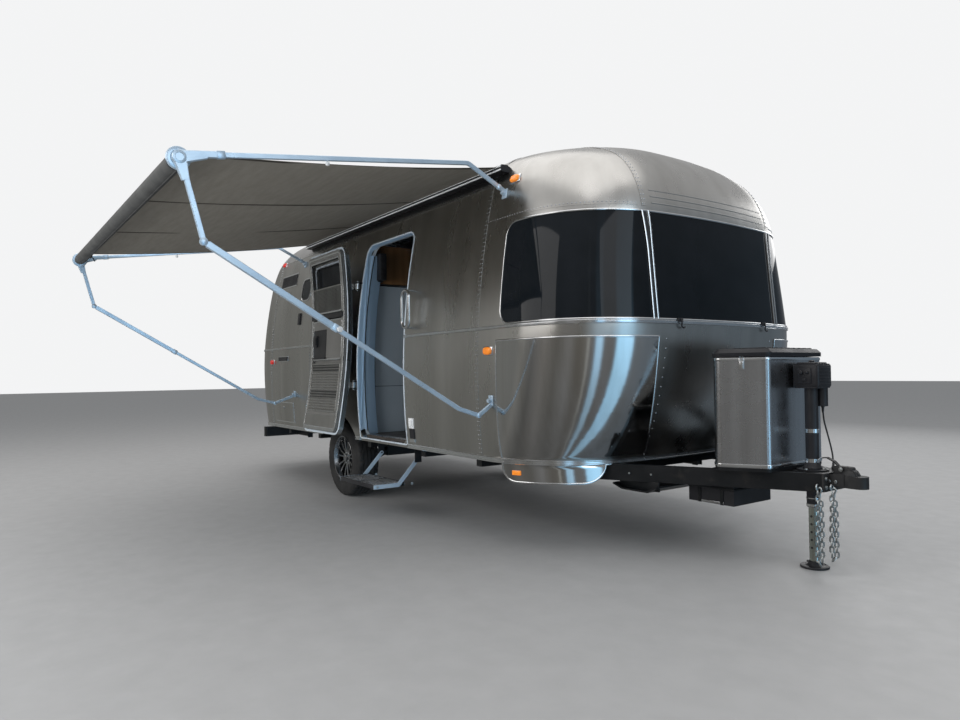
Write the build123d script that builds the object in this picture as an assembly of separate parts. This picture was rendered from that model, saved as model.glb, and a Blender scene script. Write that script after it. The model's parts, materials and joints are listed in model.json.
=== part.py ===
from build123d import *
import math
import os

# A single-axle travel caravan with a riveted, rounded shell, standing on its nose jack.
# X runs forwards to the coupler, Y to the left, Z up. Millimetres.
# The origin is on the ground under the middle of the jack foot.

# Shell: overall size and the arcs of its outline
BODY_HALF_WIDTH = 1220.0
BODY_LENGTH = 5990.0
BODY_FRONT_X = -560.0
BODY_REAR_X = BODY_FRONT_X - BODY_LENGTH
WALL_FOOT_Z = 560.0
ROOF_TOP_Z = 2780.0
WALL = 45.0
CORNER_RADIUS = 600.0
END_BOW_RADIUS = 5000.0
SIDE_BULGE_RADIUS = 5200.0
SIDE_BULGE_Z = 1150.0
SHOULDER_RADIUS = 400.0
CROWN_RADIUS = 3000.0
RIDGE_RADIUS = 35000.0
FRONT_UNDERCUT_RADIUS = 1260.0
REAR_UNDERCUT_RADIUS = 6000.0
NOSE_Z = 1450.0
GLASS_TOP_Z = 2121.0
FRONT_GLASS_LEAN = 60.0
REAR_GLASS_LEAN = 50.0
SKIRT_Z = 445.0
SKIRT_TOP_Z = 590.0
FLOOR_Z = 560.0
FLOOR_THICKNESS = 50.0
FLOOR_TOP_Z = FLOOR_Z + FLOOR_THICKNESS
FRONT_SEAM_X = BODY_FRONT_X - 1080.0
REAR_SEAM_X = BODY_REAR_X + 800.0
ROOF_SEAM_Z = ROOF_TOP_Z - 340.0
# Heights of the shell's sections: fixed ones up to the glass, then shares of the roof's rise
WALL_SECTIONS = (SKIRT_Z, SKIRT_TOP_Z, 775.0, 960.0, 1200.0, NOSE_Z, 1680.0, 1900.0, GLASS_TOP_Z)
ROOF_SHARES = (0.16, 0.31, 0.45, 0.57, 0.68, 0.78, 0.87, 0.94, 0.985)
# How fast the corners grow into one dome above the glass
DOME_POWER = 4.4
DOME_SHARE = 0.97

# Glass and mullions
SILL_Z = 1458.0
PANE_FRONT_SIDE_X = BODY_FRONT_X - 830.0
PANE_CORNER_RADIUS = 90.0
SIDE_PANE_CORNER_RADIUS = 70.0
REAR_PANE_CORNER_RADIUS = 80.0
PANE_DEPTH = 3.0
PANE_THICKNESS = 6.0
MULLION_Y = 630.0
MULLION_WIDTH = 44.0
MULLION_REAR_X = BODY_FRONT_X - 590.0
# Side panes: low x, high x, low z, high z, side of the body
SIDE_PANES = (
    (BODY_FRONT_X - 2620.0, BODY_FRONT_X - 1720.0, 1478.0, 2060.0, 1),
    (REAR_SEAM_X + 300.0, REAR_SEAM_X + 900.0, 1478.0, 2060.0, 1),
    (REAR_SEAM_X + 780.0, REAR_SEAM_X + 1030.0, 1930.0, 2165.0, -1),
)
REAR_PANE_Y = (-470.0, 470.0)
REAR_PANE_Z = (1500.0, 2080.0)
REAR_PANE_X = (BODY_REAR_X - 1000.0, BODY_REAR_X + 550.0)

# Belt trim, rub rail and stone guards
BELT_Z = 1441.0
BELT_HEIGHT = 22.0
TRIM_PROUD = 9.0
RUB_RAIL_HEIGHT = 34.0
TRIM_DOOR_GAP = 30.0
GUARD_REAR_X = BODY_FRONT_X - 860.0
GUARD_LENGTH = 1600.0
GUARD_PROUD = 5.0
GUARD_TOP_Z = 1352.0
GUARD_EDGE_Y = MULLION_Y - 22.0
GUARD_EDGE_Z = 1300.0
GUARD_EDGE_RADIUS = 1361.0
GUARD_CORNER_RADIUS = 90.0

# Door opening, leaf and hinges
DOOR_WIDTH = 830.0
DOOR_FRONT_X = BODY_FRONT_X - 2085.0
DOOR_REAR_X = DOOR_FRONT_X - DOOR_WIDTH
DOOR_SILL_Z = WALL_FOOT_Z + 25.0
DOOR_TOP_Z = DOOR_SILL_Z + 1705.0
DOOR_CORNER_RADIUS = 90.0
DOOR_GAP = 14.0
DOOR_LEAF = 38.0
DOOR_PANE_BORDER = 125.0
DOOR_PANE_Z = (1560.0, 2160.0)
DOOR_PANE_CORNER_RADIUS = 60.0
DOOR_PANE_DEPTH = (6.0, 12.0)
DOOR_OPEN_ANGLE = 180.0
HINGE_X = DOOR_REAR_X - 14.0
HINGE_Y = -(BODY_HALF_WIDTH + 30.4)
HINGE_Z = 1050.0
HINGE_LEAN = 2.93
HINGE_HEIGHTS = (1050.0, 1930.0)
HINGE_PIN_RADIUS = 6.0
HINGE_PLAY = 0.1
HINGE_HALF = 26.0
HINGE_SLACK = 2.0
HINGE_EAR = 10.0
BARREL_RADIUS = 12.0
STRAP = 8.0
STRAP_X = (38.0, 118.0)
EAR_REACH = 100.0
HANDLE_WIDTH = 80.0
HANDLE_FROM_EDGE = 30.0
HANDLE_Z = (1150.0, 1320.0)
HANDLE_PROUD = 30.0
SCREEN_GAP = 6.0
SCREEN_LEAF = 22.0
SCREEN_INSET = 26.0
SCREEN_BORDER = 50.0
SCREEN_CORNER_RADIUS = 30.0
SCREEN_OPENINGS = ((1215.0, 1560.0), (1640.0, 2190.0))
CATCHES = (900.0, 1600.0)
CATCH_FROM_EDGE = 60.0
CATCH_HALF = 12.0
FRAME_BORDER = 35.0
FRAME_DEPTH = 30.0

# Wheels and axle
TYRE_RADIUS = 356.0
TYRE_WIDTH = 225.0
TYRE_SHOULDER_RADIUS = 34.0
ARCH_RADIUS = TYRE_RADIUS + 74.0
AXLE_X = DOOR_REAR_X - ARCH_RADIUS - 46.0
WHEEL_OUTER_Y = BODY_HALF_WIDTH - 60.0
WHEEL_Y = WHEEL_OUTER_Y - TYRE_WIDTH / 2
ARCH_INNER_Y = WHEEL_OUTER_Y - 310.0
ARCH_LINER = 6.0
ARCH_SET_IN = 5.0
ARCH_PLAY = 1.0
ARM_Y = (WHEEL_OUTER_Y - 380.0, WHEEL_OUTER_Y - 334.0)
SPINDLE_END_Y = WHEEL_OUTER_Y - 80.0
SPINDLE_RADIUS = 22.0
SPINDLE_PLAY = 0.05
SPINDLE_END_PLAY = 4.0
AXLE_BEAM = 90.0
AXLE_BEAM_DX = 150.0
ARM_RADII = (38.0, 32.0)
RIM_RADIUS = 206.0
RIM_SEAT = RIM_RADIUS - 10.0
RIM_BARREL = RIM_SEAT - 9.0
RIM_HALF_WIDTH = 104.0
FLANGE = 8.0
RIM_FACE_Y = (WHEEL_OUTER_Y - 64.0, WHEEL_OUTER_Y - 42.0)
DRUM_RADIUS = 140.0
DRUM_Y = (WHEEL_OUTER_Y - 298.0, WHEEL_OUTER_Y - 210.0)
HUB_RADIUS = 58.0
CAP_RADIUS = 34.0
CAP_HEIGHT = 14.0
SPOKE_HOLES = 10
SPOKE_HOLE_RADIUS = 26.0
SPOKE_HOLE_CIRCLE = 128.0

# Chassis and drawbar
RAIL_Y = 690.0
RAIL_WIDTH = 50.0
RAIL_HEIGHT = 102.0
RAIL_BOTTOM_Z = FLOOR_Z - RAIL_HEIGHT
RAIL_IN_Y = RAIL_Y - RAIL_WIDTH / 2
RAIL_OUT_Y = RAIL_Y + RAIL_WIDTH / 2
RAIL_REAR_X = BODY_REAR_X - 10.0
RAIL_FRONT_X = BODY_FRONT_X - 450.0
GUARD_SKIRT_INNER_Y = RAIL_Y + 15.0
DRAWBAR_TIP_X = 110.0
DRAWBAR_TIP_Y = 88.0
WEB_REAR_X = -75.0
WEB_HALF_WIDTH = DRAWBAR_TIP_Y + 10.0
WEB_THICKNESS = 8.0
CROSS_WIDTH = 60.0
CROSS_LIFT = 25.0
OUTRIGGER_HEIGHT = 60.0
OUTRIGGER_REACH = BODY_HALF_WIDTH - 90.0
OUTRIGGER_SET_IN = 20.0
# Cross members: x, reach of the outriggers from the middle (0 for none)
CROSS_TABLE = (
    (BODY_REAR_X + 250.0, BODY_HALF_WIDTH - 200.0),
    (BODY_REAR_X + 1150.0, OUTRIGGER_REACH),
    (AXLE_X - ARCH_RADIUS - 179.0, OUTRIGGER_REACH),
    (AXLE_X, 0.0),
    (AXLE_X + ARCH_RADIUS + 91.0, OUTRIGGER_REACH),
    (FRONT_SEAM_X - 860.0, OUTRIGGER_REACH),
    (FRONT_SEAM_X - 110.0, OUTRIGGER_REACH),
    (RAIL_FRONT_X - 70.0, BODY_HALF_WIDTH - 320.0),
)
BUMPER_DEPTH = 90.0
BUMPER_HALF_WIDTH = BODY_HALF_WIDTH - 200.0
BUMPER_Z = (RAIL_BOTTOM_Z - 83.0, RAIL_BOTTOM_Z + 37.0)
BUMPER_EDGE_RADIUS = 25.0

# Coupler: a nose over the tow ball, open below
COUPLER_X = 262.0
COUPLER_HALF_WIDTH = 48.0
COUPLER_Z = (486.0, 552.0)
COUPLER_PLATE = 12.0
COUPLER_PLATE_HALF_WIDTH = 110.0
BALL_SOCKET_RADIUS = 29.8
BALL_SOCKET_DEPTH = 40.0
HUMP_HALF_WIDTH = 24.0
HUMP_PROFILE = (
    (128.0, 552.0),
    (150.0, 588.0),
    (175.0, 597.0),
    (215.0, 597.0),
    (246.0, 578.0),
    (262.0, 552.0),
)

# Nose jack
JACK_LEG_RADIUS = 27.0
JACK_PLAY = 0.3
JACK_TUBE_RADIUS = JACK_LEG_RADIUS + JACK_PLAY + 8.7
JACK_TUBE_LOW_Z = 350.0
JACK_BORE_TOP_Z = 975.0
JACK_LEG_TOP_Z = 620.0
JACK_HEAD_X = (-75.0, 76.0)
JACK_HEAD_Y = (-62.0, 84.0)
JACK_HEAD_Z = (1035.0, 1175.0)
JACK_HEAD_EDGE_RADIUS = 24.0
JACK_FOOT_RADIUS = 76.0
JACK_FOOT_THICKNESS = 10.0
MOTOR_X = 38.0
MOTOR_Y = 54.0
MOTOR_Z = (930.0, 1055.0)
MOTOR_RADIUS = 28.0
CABLE_DIAMETER = 9.0
CABLE_BEND_SHARE = 0.45
CABLE_ROUTE = (
    (MOTOR_X, MOTOR_Y, MOTOR_Z[0]),
    (MOTOR_X, MOTOR_Y, 862.0),
    (52.0, 68.0, 780.0),
    (66.0, 84.0, 690.0),
    (72.0, 92.0, 632.0),
    (72.0, 92.0, 572.0),
)

# Gas cover and what stands in it: corners of half its plan, as (x, y)
COVER_PLAN = ((-405.0, 355.0), (-345.0, 425.0), (-92.0, 280.0))
COVER_TRAY = 20.0
COVER_LOW_Z = FLOOR_Z + COVER_TRAY
COVER_TOP_Z = 1217.0
COVER_SHEET = 4.0
COVER_EDGE_RADIUS = 40.0
LID_HEIGHT = 45.0
LID_GAP = 5.0
LID_OVERHANG = 8.0
LID_CHAMFER = 20.0
LID_LOW_Z = COVER_TOP_Z + LID_GAP
LID_HINGE_YS = (-250.0, 250.0)
BOTTLE_X = -250.0
BOTTLE_Y = 190.0
BOTTLE_RADIUS = 145.0
BOTTLE_HEIGHT = 520.0
BOTTLE_EDGE_RADIUS = 60.0
BATTERY_X = (-640.0, -320.0)
BATTERY_Y = (-300.0, 80.0)
BATTERY_DEPTH = 123.0

# Hinges of the lids: their ears, pins and gaps
EAR_RADIUS = 8.0
LID_PIN_RADIUS = 4.0
LUG_HALF = 20.0
LUG_PLATE = 2.0
LUG_GAP = 2.0
EAR_THICKNESS = 10.0
LID_PIN_BACK = 14.0
EAR_REACH_DOWN = 40.0
EAR_FOOT = 26.0

# Awning: rail on the wall, and a roller that stands further out at its rear end
AWNING_FRONT_X = BODY_FRONT_X - 990.0
AWNING_REAR_X = BODY_REAR_X + 1600.0
AWNING_RAIL_Z = (ROOF_TOP_Z - 280.0, ROOF_TOP_Z - 232.0)
AWNING_RAIL_PROUD = 82.0
AWNING_RAIL_SUNK = 6.0
ROLLER_FRONT = (-(BODY_HALF_WIDTH + 1904.0), ROOF_TOP_Z - 544.0)
ROLLER_REAR = (-(BODY_HALF_WIDTH + 1994.0), ROOF_TOP_Z - 572.0)
ROLLER_OVERHANG = 40.0
ROLLER_RADIUS = 45.0
END_CAP_RADIUS = 60.0
END_CAP = 20.0
CLOTH_THICKNESS = 6.0
CLOTH_SAG = 32.0
CLOTH_BELOW_RAIL_TOP = 14.0
CLOTH_OVER_ROLLER = 0.3
CLOTH_EDGE_GAP = 10.0
AWNING_BAR_WIDTH = 28.0
AWNING_BAR_DEPTH = 18.0
# Bends of the arms in their upright planes, as (y, z); their outer ends are set from the roller
RAFTER_WALL_END = (
    (-(BODY_HALF_WIDTH - 170.0), ROOF_TOP_Z - 442.0),
    (-(BODY_HALF_WIDTH - 87.0), ROOF_TOP_Z - 403.0),
    (-(BODY_HALF_WIDTH + 160.0), ROOF_TOP_Z - 284.0),
)
RAFTER_TO_ROLLER = (30.0, 20.0)
SUPPORT_TO_ROLLER = ((20.0, -50.0), (115.0, -410.0))
SUPPORT_WALL_FRONT = (
    (-(BODY_HALF_WIDTH + 250.0), 920.0),
    (-(BODY_HALF_WIDTH + 100.0), 872.0),
    (-(BODY_HALF_WIDTH - 45.0), 965.0),
)
SUPPORT_WALL_REAR = (
    (-(BODY_HALF_WIDTH + 391.0), 903.0),
    (-(BODY_HALF_WIDTH + 212.0), 855.0),
    (-(BODY_HALF_WIDTH - 38.0), 943.0),
)

# Grab handle: an oval hoop on two pegs beside the doorway
GRAB_X = BODY_FRONT_X - 1965.0
GRAB_Y = -(BODY_HALF_WIDTH + 42.0)
GRAB_Z = 1647.0
GRAB_HALF_WIDTH = 55.0
GRAB_HALF_STRAIGHT = 90.0
GRAB_BAR_RADIUS = 11.0
GRAB_PEG_RADIUS = 8.0

# Entry step
STEP_X = (DOOR_REAR_X + 185.0, DOOR_FRONT_X - 35.0)
STEP_PIVOT_Y = -(BODY_HALF_WIDTH - 140.0)
STEP_PIVOT_Z = RAIL_BOTTOM_Z + 2.0
STEP_OUTER_Y = -(BODY_HALF_WIDTH + 250.0)
STEP_INNER_Y = -(BODY_HALF_WIDTH - 20.0)
STEP_KNEE_Y = -(BODY_HALF_WIDTH + 35.0)
STEP_TREAD_Z = 282.0
STEP_TREAD_DEPTH = 20.0
STEP_ARM_PLATE = 6.0
STEP_ARM_HALF = 16.0
STEP_PIN_RADIUS = 8.0
STEP_CLEAR = 5.0
HANGER_HALF = 30.0
HANGER_DROP = 25.0

# Stabiliser legs: one under each rail end, folded up flat beneath it
LEG_LENGTH = 380.0
LEG_WIDTH = 34.0
LEG_PIVOT_Z = RAIL_BOTTOM_Z - 40.0
LEG_PIN_RADIUS = 7.0
LEG_CLEAR = 5.0
LEG_PLATE = 8.0
LEG_PLATE_HALF = 25.0
LEG_PLATE_DROP = 20.0
PAD_HALF = 30.0
# Legs: name, pivot x, way the folded leg points
LEG_TABLE = (("rear", BODY_REAR_X + 250.0, 1), ("front", BODY_FRONT_X - 770.0, -1))

# Roof gear
AIRCON_HALF_LENGTH = 430.0
AIRCON_HALF_WIDTH = 340.0
AIRCON_Z = (ROOF_TOP_Z - 80.0, ROOF_TOP_Z + 195.0)
AIRCON_EDGE_RADIUS = 90.0
VENT_X = REAR_SEAM_X + 600.0
VENT_HOLE_HALF = 180.0
VENT_FRAME_OUTER = 205.0
VENT_FRAME_INNER = 170.0
VENT_FRAME_Z = (ROOF_TOP_Z - 80.0, ROOF_TOP_Z + 10.0)
VENT_LID_HALF = 215.0
VENT_LID_HEIGHT = 45.0
VENT_LID_GAP = 5.0
VENT_LID_EDGE_RADIUS = 40.0
VENT_PIN_Z = VENT_FRAME_Z[1] + 20.0
VENT_HINGE_YS = (-120.0, 120.0)

# Access hatch in the left wall, hinged along its top edge
HATCH_X = (REAR_SEAM_X + 190.0, REAR_SEAM_X + 750.0)
HATCH_Z = (720.0, 1100.0)
HATCH_CORNER_RADIUS = 40.0
HATCH_GAP = 10.0
HATCH_LEAF = 30.0
HATCH_HINGE_OUT = 14.0
HATCH_HINGE_UP = 6.0
HATCH_HINGE_FROM_END = 120.0
HATCH_LUG_DROP = (60.0, 26.0)
HATCH_EAR_Z = (4.0, 16.0)

# Lamps: x, z, colour; each is a small block that follows the shell
LAMP_PROUD = 22.0
LAMP_HALF_LENGTH = 36.0
LAMP_HALF_HEIGHT = 20.0
LAMP_HIGH_Z = ROOF_TOP_Z - 359.0
LAMP_TABLE = (
    (BODY_FRONT_X - 947.0, 1289.0, "amber"),
    (BODY_FRONT_X - 832.0, LAMP_HIGH_Z, "amber"),
    (BODY_REAR_X + 850.0, 1295.0, "red"),
    (BODY_REAR_X + 850.0, LAMP_HIGH_Z, "red"),
)
LAMP_INNER_Y = BODY_HALF_WIDTH - 520.0
TAIL_LAMP_Y = (BODY_HALF_WIDTH - 400.0, BODY_HALF_WIDTH - 240.0)
TAIL_LAMP_Z = (760.0, 1060.0)

# Fittings seen through the doorway and the windows
WARDROBE_X = (DOOR_REAR_X - 1225.0, DOOR_REAR_X - 90.0)
WARDROBE_INNER_Y = -(BODY_HALF_WIDTH - 600.0)
WARDROBE_TOP_Z = 1967.0
LOCKER_INNER_Y = -(BODY_HALF_WIDTH - 520.0)
LOCKER_TOP_Z = 2330.0
GALLEY_X = (DOOR_REAR_X - 875.0, DOOR_FRONT_X + 95.0)
GALLEY_INNER_Y = BODY_HALF_WIDTH - 660.0
GALLEY_TOP_Z = 1440.0
BED_REAR_X = DOOR_FRONT_X + 295.0
BED_TOP_Z = 1020.0

FAR = 10000.0
SIDES = (("right", -1), ("left", 1))


def arc_drop(radius, rise):
    """How far an arc of this radius falls back at this height from its widest point."""
    return radius - math.sqrt(max(radius * radius - rise * rise, 0.0))


def shoulder(side_x, side_z, side_r, crown_z, crown_r, r):
    """Centre of the arc of radius r that joins a side arc to a crown arc on the middle plane."""
    gap = math.hypot(side_x, crown_z - side_z)
    near, far = side_r - r, crown_r - r
    along = (near * near - far * far + gap * gap) / (2 * gap)
    across = math.sqrt(max(near * near - along * along, 0.0))
    ux, uz = -side_x / gap, (crown_z - side_z) / gap
    return side_x + along * ux - across * uz, side_z + along * uz + across * ux


def half_width(z, inset):
    """Half width of the shell at a height, on a surface set in by inset."""
    side_x = BODY_HALF_WIDTH - SIDE_BULGE_RADIUS
    crown_z = ROOF_TOP_Z - CROWN_RADIUS
    cx, cz = shoulder(side_x, SIDE_BULGE_Z, SIDE_BULGE_RADIUS, crown_z, CROWN_RADIUS, SHOULDER_RADIUS)
    arc = SHOULDER_RADIUS - inset
    low = cz + (cz - SIDE_BULGE_Z) / math.hypot(cx - side_x, cz - SIDE_BULGE_Z) * arc
    high = cz + (cz - crown_z) / math.hypot(cx, cz - crown_z) * arc
    if z < low:
        return side_x + math.sqrt((SIDE_BULGE_RADIUS - inset) ** 2 - (z - SIDE_BULGE_Z) ** 2)
    if z < high:
        return cx + math.sqrt(arc ** 2 - (z - cz) ** 2)
    return math.sqrt(max((CROWN_RADIUS - inset) ** 2 - (z - crown_z) ** 2, 0.0))


def end_reach(z, inset, lean, undercut):
    """Distance of an end from the middle of the body at a height; it is furthest at the belt."""
    reach = BODY_LENGTH / 2
    if z < NOSE_Z:
        return reach - arc_drop(undercut, max(z, SKIRT_TOP_Z) - NOSE_Z) - inset
    run = GLASS_TOP_Z - NOSE_Z
    slope = math.atan2(lean, run)
    px, pz = reach - lean, GLASS_TOP_Z
    nx, nz = math.cos(slope), math.sin(slope)
    kz = ROOF_TOP_Z - RIDGE_RADIUS
    dot = nx * px + nz * (pz - kz)
    r = (RIDGE_RADIUS ** 2 - px ** 2 - (pz - kz) ** 2) / (2 * (RIDGE_RADIUS - dot))
    cx, cz = px - r * nx, pz - r * nz
    if z < cz + (r - inset) * nz:
        return reach - lean * (z - NOSE_Z) / run - inset / nx
    crown = cz + (cz - kz) / math.hypot(cx, cz - kz) * (r - inset)
    if z < crown:
        return cx + math.sqrt((r - inset) ** 2 - (z - cz) ** 2)
    return math.sqrt(max((RIDGE_RADIUS - inset) ** 2 - (z - kz) ** 2, 0.0))


def plan_face(z, inset):
    """Section of the shell at a height: two straight sides, four corners and two bowed ends."""
    middle = BODY_FRONT_X - BODY_LENGTH / 2
    w = half_width(z, inset)
    front = middle + end_reach(z, inset, FRONT_GLASS_LEAN, FRONT_UNDERCUT_RADIUS)
    rear = middle - end_reach(z, inset, REAR_GLASS_LEAN, REAR_UNDERCUT_RADIUS)
    blend = max(0.0, (z - GLASS_TOP_Z) / (ROOF_TOP_Z - GLASS_TOP_Z)) ** DOME_POWER
    corner = min((CORNER_RADIUS - inset) * (1 - blend) + w * blend, DOME_SHARE * w)
    run = math.sqrt((END_BOW_RADIUS - corner) ** 2 - (w - corner) ** 2)
    turn = math.atan2(w - corner, run)
    fx, rx = front - END_BOW_RADIUS + run, rear + END_BOW_RADIUS - run
    tx, ty = corner * math.cos(turn), corner * math.sin(turn)
    half_turn = (turn + math.pi / 2) / 2
    hx, hy = corner * math.cos(half_turn), corner * math.sin(half_turn)
    y = w - corner
    edges = [
        Line((rx, -w), (fx, -w)),
        ThreePointArc((fx, -w), (fx + hx, -y - hy), (fx + tx, -y - ty)),
        ThreePointArc((fx + tx, -y - ty), (front, 0), (fx + tx, y + ty)),
        ThreePointArc((fx + tx, y + ty), (fx + hx, y + hy), (fx, w)),
        Line((fx, w), (rx, w)),
        ThreePointArc((rx, w), (rx - hx, y + hy), (rx - tx, y + ty)),
        ThreePointArc((rx - tx, y + ty), (rear, 0), (rx - tx, -y - ty)),
        ThreePointArc((rx - tx, -y - ty), (rx - hx, -y - hy), (rx, -w)),
    ]
    return Pos(0, 0, z) * make_face(edges)


def hull(inset):
    """The whole solid form of the shell, set in by inset from its outer face."""
    top = ROOF_TOP_Z - inset
    heights = list(WALL_SECTIONS) + [GLASS_TOP_Z + (top - GLASS_TOP_Z) * share for share in ROOF_SHARES]
    return loft([plan_face(z, inset) for z in heights], ruled=True)


def block(x, y, z):
    """A box from its (low, high) pairs."""
    size = [high - low for low, high in (x, y, z)]
    return Pos(*[(low + high) / 2 for low, high in (x, y, z)]) * Box(*size)


def slab(z):
    """Everything between two heights."""
    return block((-FAR, FAR), (-FAR, FAR), z)


def rod(start, end, radius):
    """A round bar between two points."""
    a, b = Vector(*start), Vector(*end)
    return Plane(origin=(a + b) / 2, z_dir=b - a) * Cylinder(radius, (b - a).length)


def cross_bar(x, y, z, radius, length):
    """A round bar along Y about a middle point."""
    return Pos(x, y, z) * Rot(90, 0, 0) * Cylinder(radius, length)


def bent_bar(points, width, depth):
    """A flat-sided bar along a bent line that lies in an upright plane across the body."""
    path = Polyline(*points)
    start = Plane(origin=path @ 0, x_dir=(1, 0, 0), z_dir=path % 0)
    return sweep(start * Rectangle(width, depth), path=path, transition=Transition.RIGHT)


def window(x, z, corner, y):
    """An upright cutter with rounded corners that passes through the shell from side to side."""
    outline = RectangleRounded(x[1] - x[0], z[1] - z[0], corner)
    face = Plane.XZ * Pos((x[0] + x[1]) / 2, (z[0] + z[1]) / 2) * outline
    return extrude(Pos(0, (y[0] + y[1]) / 2, 0) * face, amount=(y[1] - y[0]) / 2, both=True)


def end_window(y, z, corner, x):
    """The same cutter for a pane in the front or rear end."""
    outline = RectangleRounded(y[1] - y[0], z[1] - z[0], corner)
    face = Plane.YZ * Pos((y[0] + y[1]) / 2, (z[0] + z[1]) / 2) * outline
    return extrude(Pos((x[0] + x[1]) / 2, 0, 0) * face, amount=(x[1] - x[0]) / 2, both=True)


def side_pair(s, low, high):
    """Distances from the middle plane as a (low, high) pair of y on one side."""
    return sorted((s * low, s * high))


OUTER = hull(0.0)
INNER = hull(WALL)
nodes = {}

# Shell panels, split where the real seams are
front_band = window((PANE_FRONT_SIDE_X, 0.0), (SILL_Z, GLASS_TOP_Z), PANE_CORNER_RADIUS, (-FAR, FAR))
mullions = Part() + [
    block(
        (MULLION_REAR_X, 0.0),
        (s * MULLION_Y - MULLION_WIDTH / 2, s * MULLION_Y + MULLION_WIDTH / 2),
        (0.0, FAR),
    )
    for _, s in SIDES
]
front_hole = front_band - mullions
side_holes = [
    window((x0, x1), (z0, z1), SIDE_PANE_CORNER_RADIUS, side_pair(s, 0.0, FAR))
    for x0, x1, z0, z1, s in SIDE_PANES
]
rear_hole = end_window(REAR_PANE_Y, REAR_PANE_Z, REAR_PANE_CORNER_RADIUS, REAR_PANE_X)
door_hole = window((DOOR_REAR_X, DOOR_FRONT_X), (DOOR_SILL_Z, DOOR_TOP_Z), DOOR_CORNER_RADIUS, (-FAR, 0.0))
arch_hole = cross_bar(AXLE_X, 0, TYRE_RADIUS, ARCH_RADIUS, 2 * FAR)
hatch_hole = window(HATCH_X, HATCH_Z, HATCH_CORNER_RADIUS, (0.0, FAR))
vent_hole = block(
    (VENT_X - VENT_HOLE_HALF, VENT_X + VENT_HOLE_HALF), (-VENT_HOLE_HALF, VENT_HOLE_HALF), (ROOF_SEAM_Z, FAR)
)

skin = (OUTER - INNER) & slab((WALL_FOOT_Z, FAR))
for hole in (front_hole, rear_hole, door_hole, arch_hole, hatch_hole, vent_hole, *side_holes):
    skin -= hole
middle_x = (REAR_SEAM_X, FRONT_SEAM_X)
nodes["front_cap"] = skin & block((FRONT_SEAM_X, FAR), (-FAR, FAR), (0.0, FAR))
nodes["rear_cap"] = skin & block((-FAR, REAR_SEAM_X), (-FAR, FAR), (0.0, FAR))
nodes["right_wall"] = skin & block(middle_x, (-FAR, 0.0), (0.0, ROOF_SEAM_Z))
nodes["left_wall"] = skin & block(middle_x, (0.0, FAR), (0.0, ROOF_SEAM_Z))
nodes["roof"] = skin & block(middle_x, (-FAR, FAR), (ROOF_SEAM_Z, FAR))

# Glass, set a little in from the outer face
pane_shell = hull(PANE_DEPTH) - hull(PANE_DEPTH + PANE_THICKNESS)
nodes["front_windows"] = pane_shell & front_hole
nodes["rear_window"] = pane_shell & rear_hole
nodes["side_windows"] = Part() + [pane_shell & hole for hole in side_holes]

# Trims and stone guards round the outside, cut from slightly larger forms of the same shape
proud = hull(-TRIM_PROUD) - OUTER
door_way = block((DOOR_REAR_X - TRIM_DOOR_GAP, DOOR_FRONT_X + TRIM_DOOR_GAP), (-FAR, 0.0), (0.0, FAR))
belt = slab((BELT_Z - BELT_HEIGHT / 2, BELT_Z + BELT_HEIGHT / 2))
nodes["belt_trim"] = (proud & belt) - door_way
guard_height = GUARD_TOP_Z - SKIRT_Z + GUARD_CORNER_RADIUS
guard_form = window(
    (GUARD_REAR_X, GUARD_REAR_X + GUARD_LENGTH),
    (SKIRT_Z, SKIRT_Z + guard_height),
    GUARD_CORNER_RADIUS,
    (-FAR, FAR),
)
guard_form &= slab((SKIRT_Z, GUARD_TOP_Z))
guard_sheet = (hull(-GUARD_PROUD) - OUTER) & guard_form
guards = Part()
for _, s in SIDES:
    above = block((-FAR, FAR), side_pair(s, 0.0, FAR), (WALL_FOOT_Z, FAR))
    arc_y = s * (GUARD_EDGE_Y - GUARD_EDGE_RADIUS)
    above -= rod((-FAR, arc_y, GUARD_EDGE_Z), (FAR, arc_y, GUARD_EDGE_Z), GUARD_EDGE_RADIUS)
    below = block((-FAR, FAR), side_pair(s, GUARD_SKIRT_INNER_Y, FAR), (0.0, WALL_FOOT_Z))
    guards += guard_sheet & (above + below)
nodes["stone_guards"] = guards
rub_rail = (proud & slab((WALL_FOOT_Z, WALL_FOOT_Z + RUB_RAIL_HEIGHT))) - arch_hole - door_way
nodes["rub_rail"] = rub_rail - guards

# Floor on the chassis, notched for the wheels
between_arches = block((-FAR, FAR), (-ARCH_INNER_Y, ARCH_INNER_Y), (0.0, FAR))
floor = INNER & slab((FLOOR_Z, FLOOR_TOP_Z))
nodes["floor_pan"] = floor - (arch_hole - between_arches)

# Wheel arch liners: a half drum over each wheel, closed on its inner side
drum_radius = ARCH_RADIUS - ARCH_PLAY
drum = cross_bar(AXLE_X, 0, TYRE_RADIUS, drum_radius, 2 * FAR) - between_arches
hollow = cross_bar(AXLE_X, 0, TYRE_RADIUS, drum_radius - ARCH_LINER, 2 * FAR)
hollow -= block((-FAR, FAR), (-ARCH_INNER_Y - ARCH_LINER, ARCH_INNER_Y + ARCH_LINER), (0.0, FAR))
nodes["wheel_arches"] = (drum - hollow) & slab((WALL_FOOT_Z, FAR)) & hull(ARCH_SET_IN)

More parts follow.
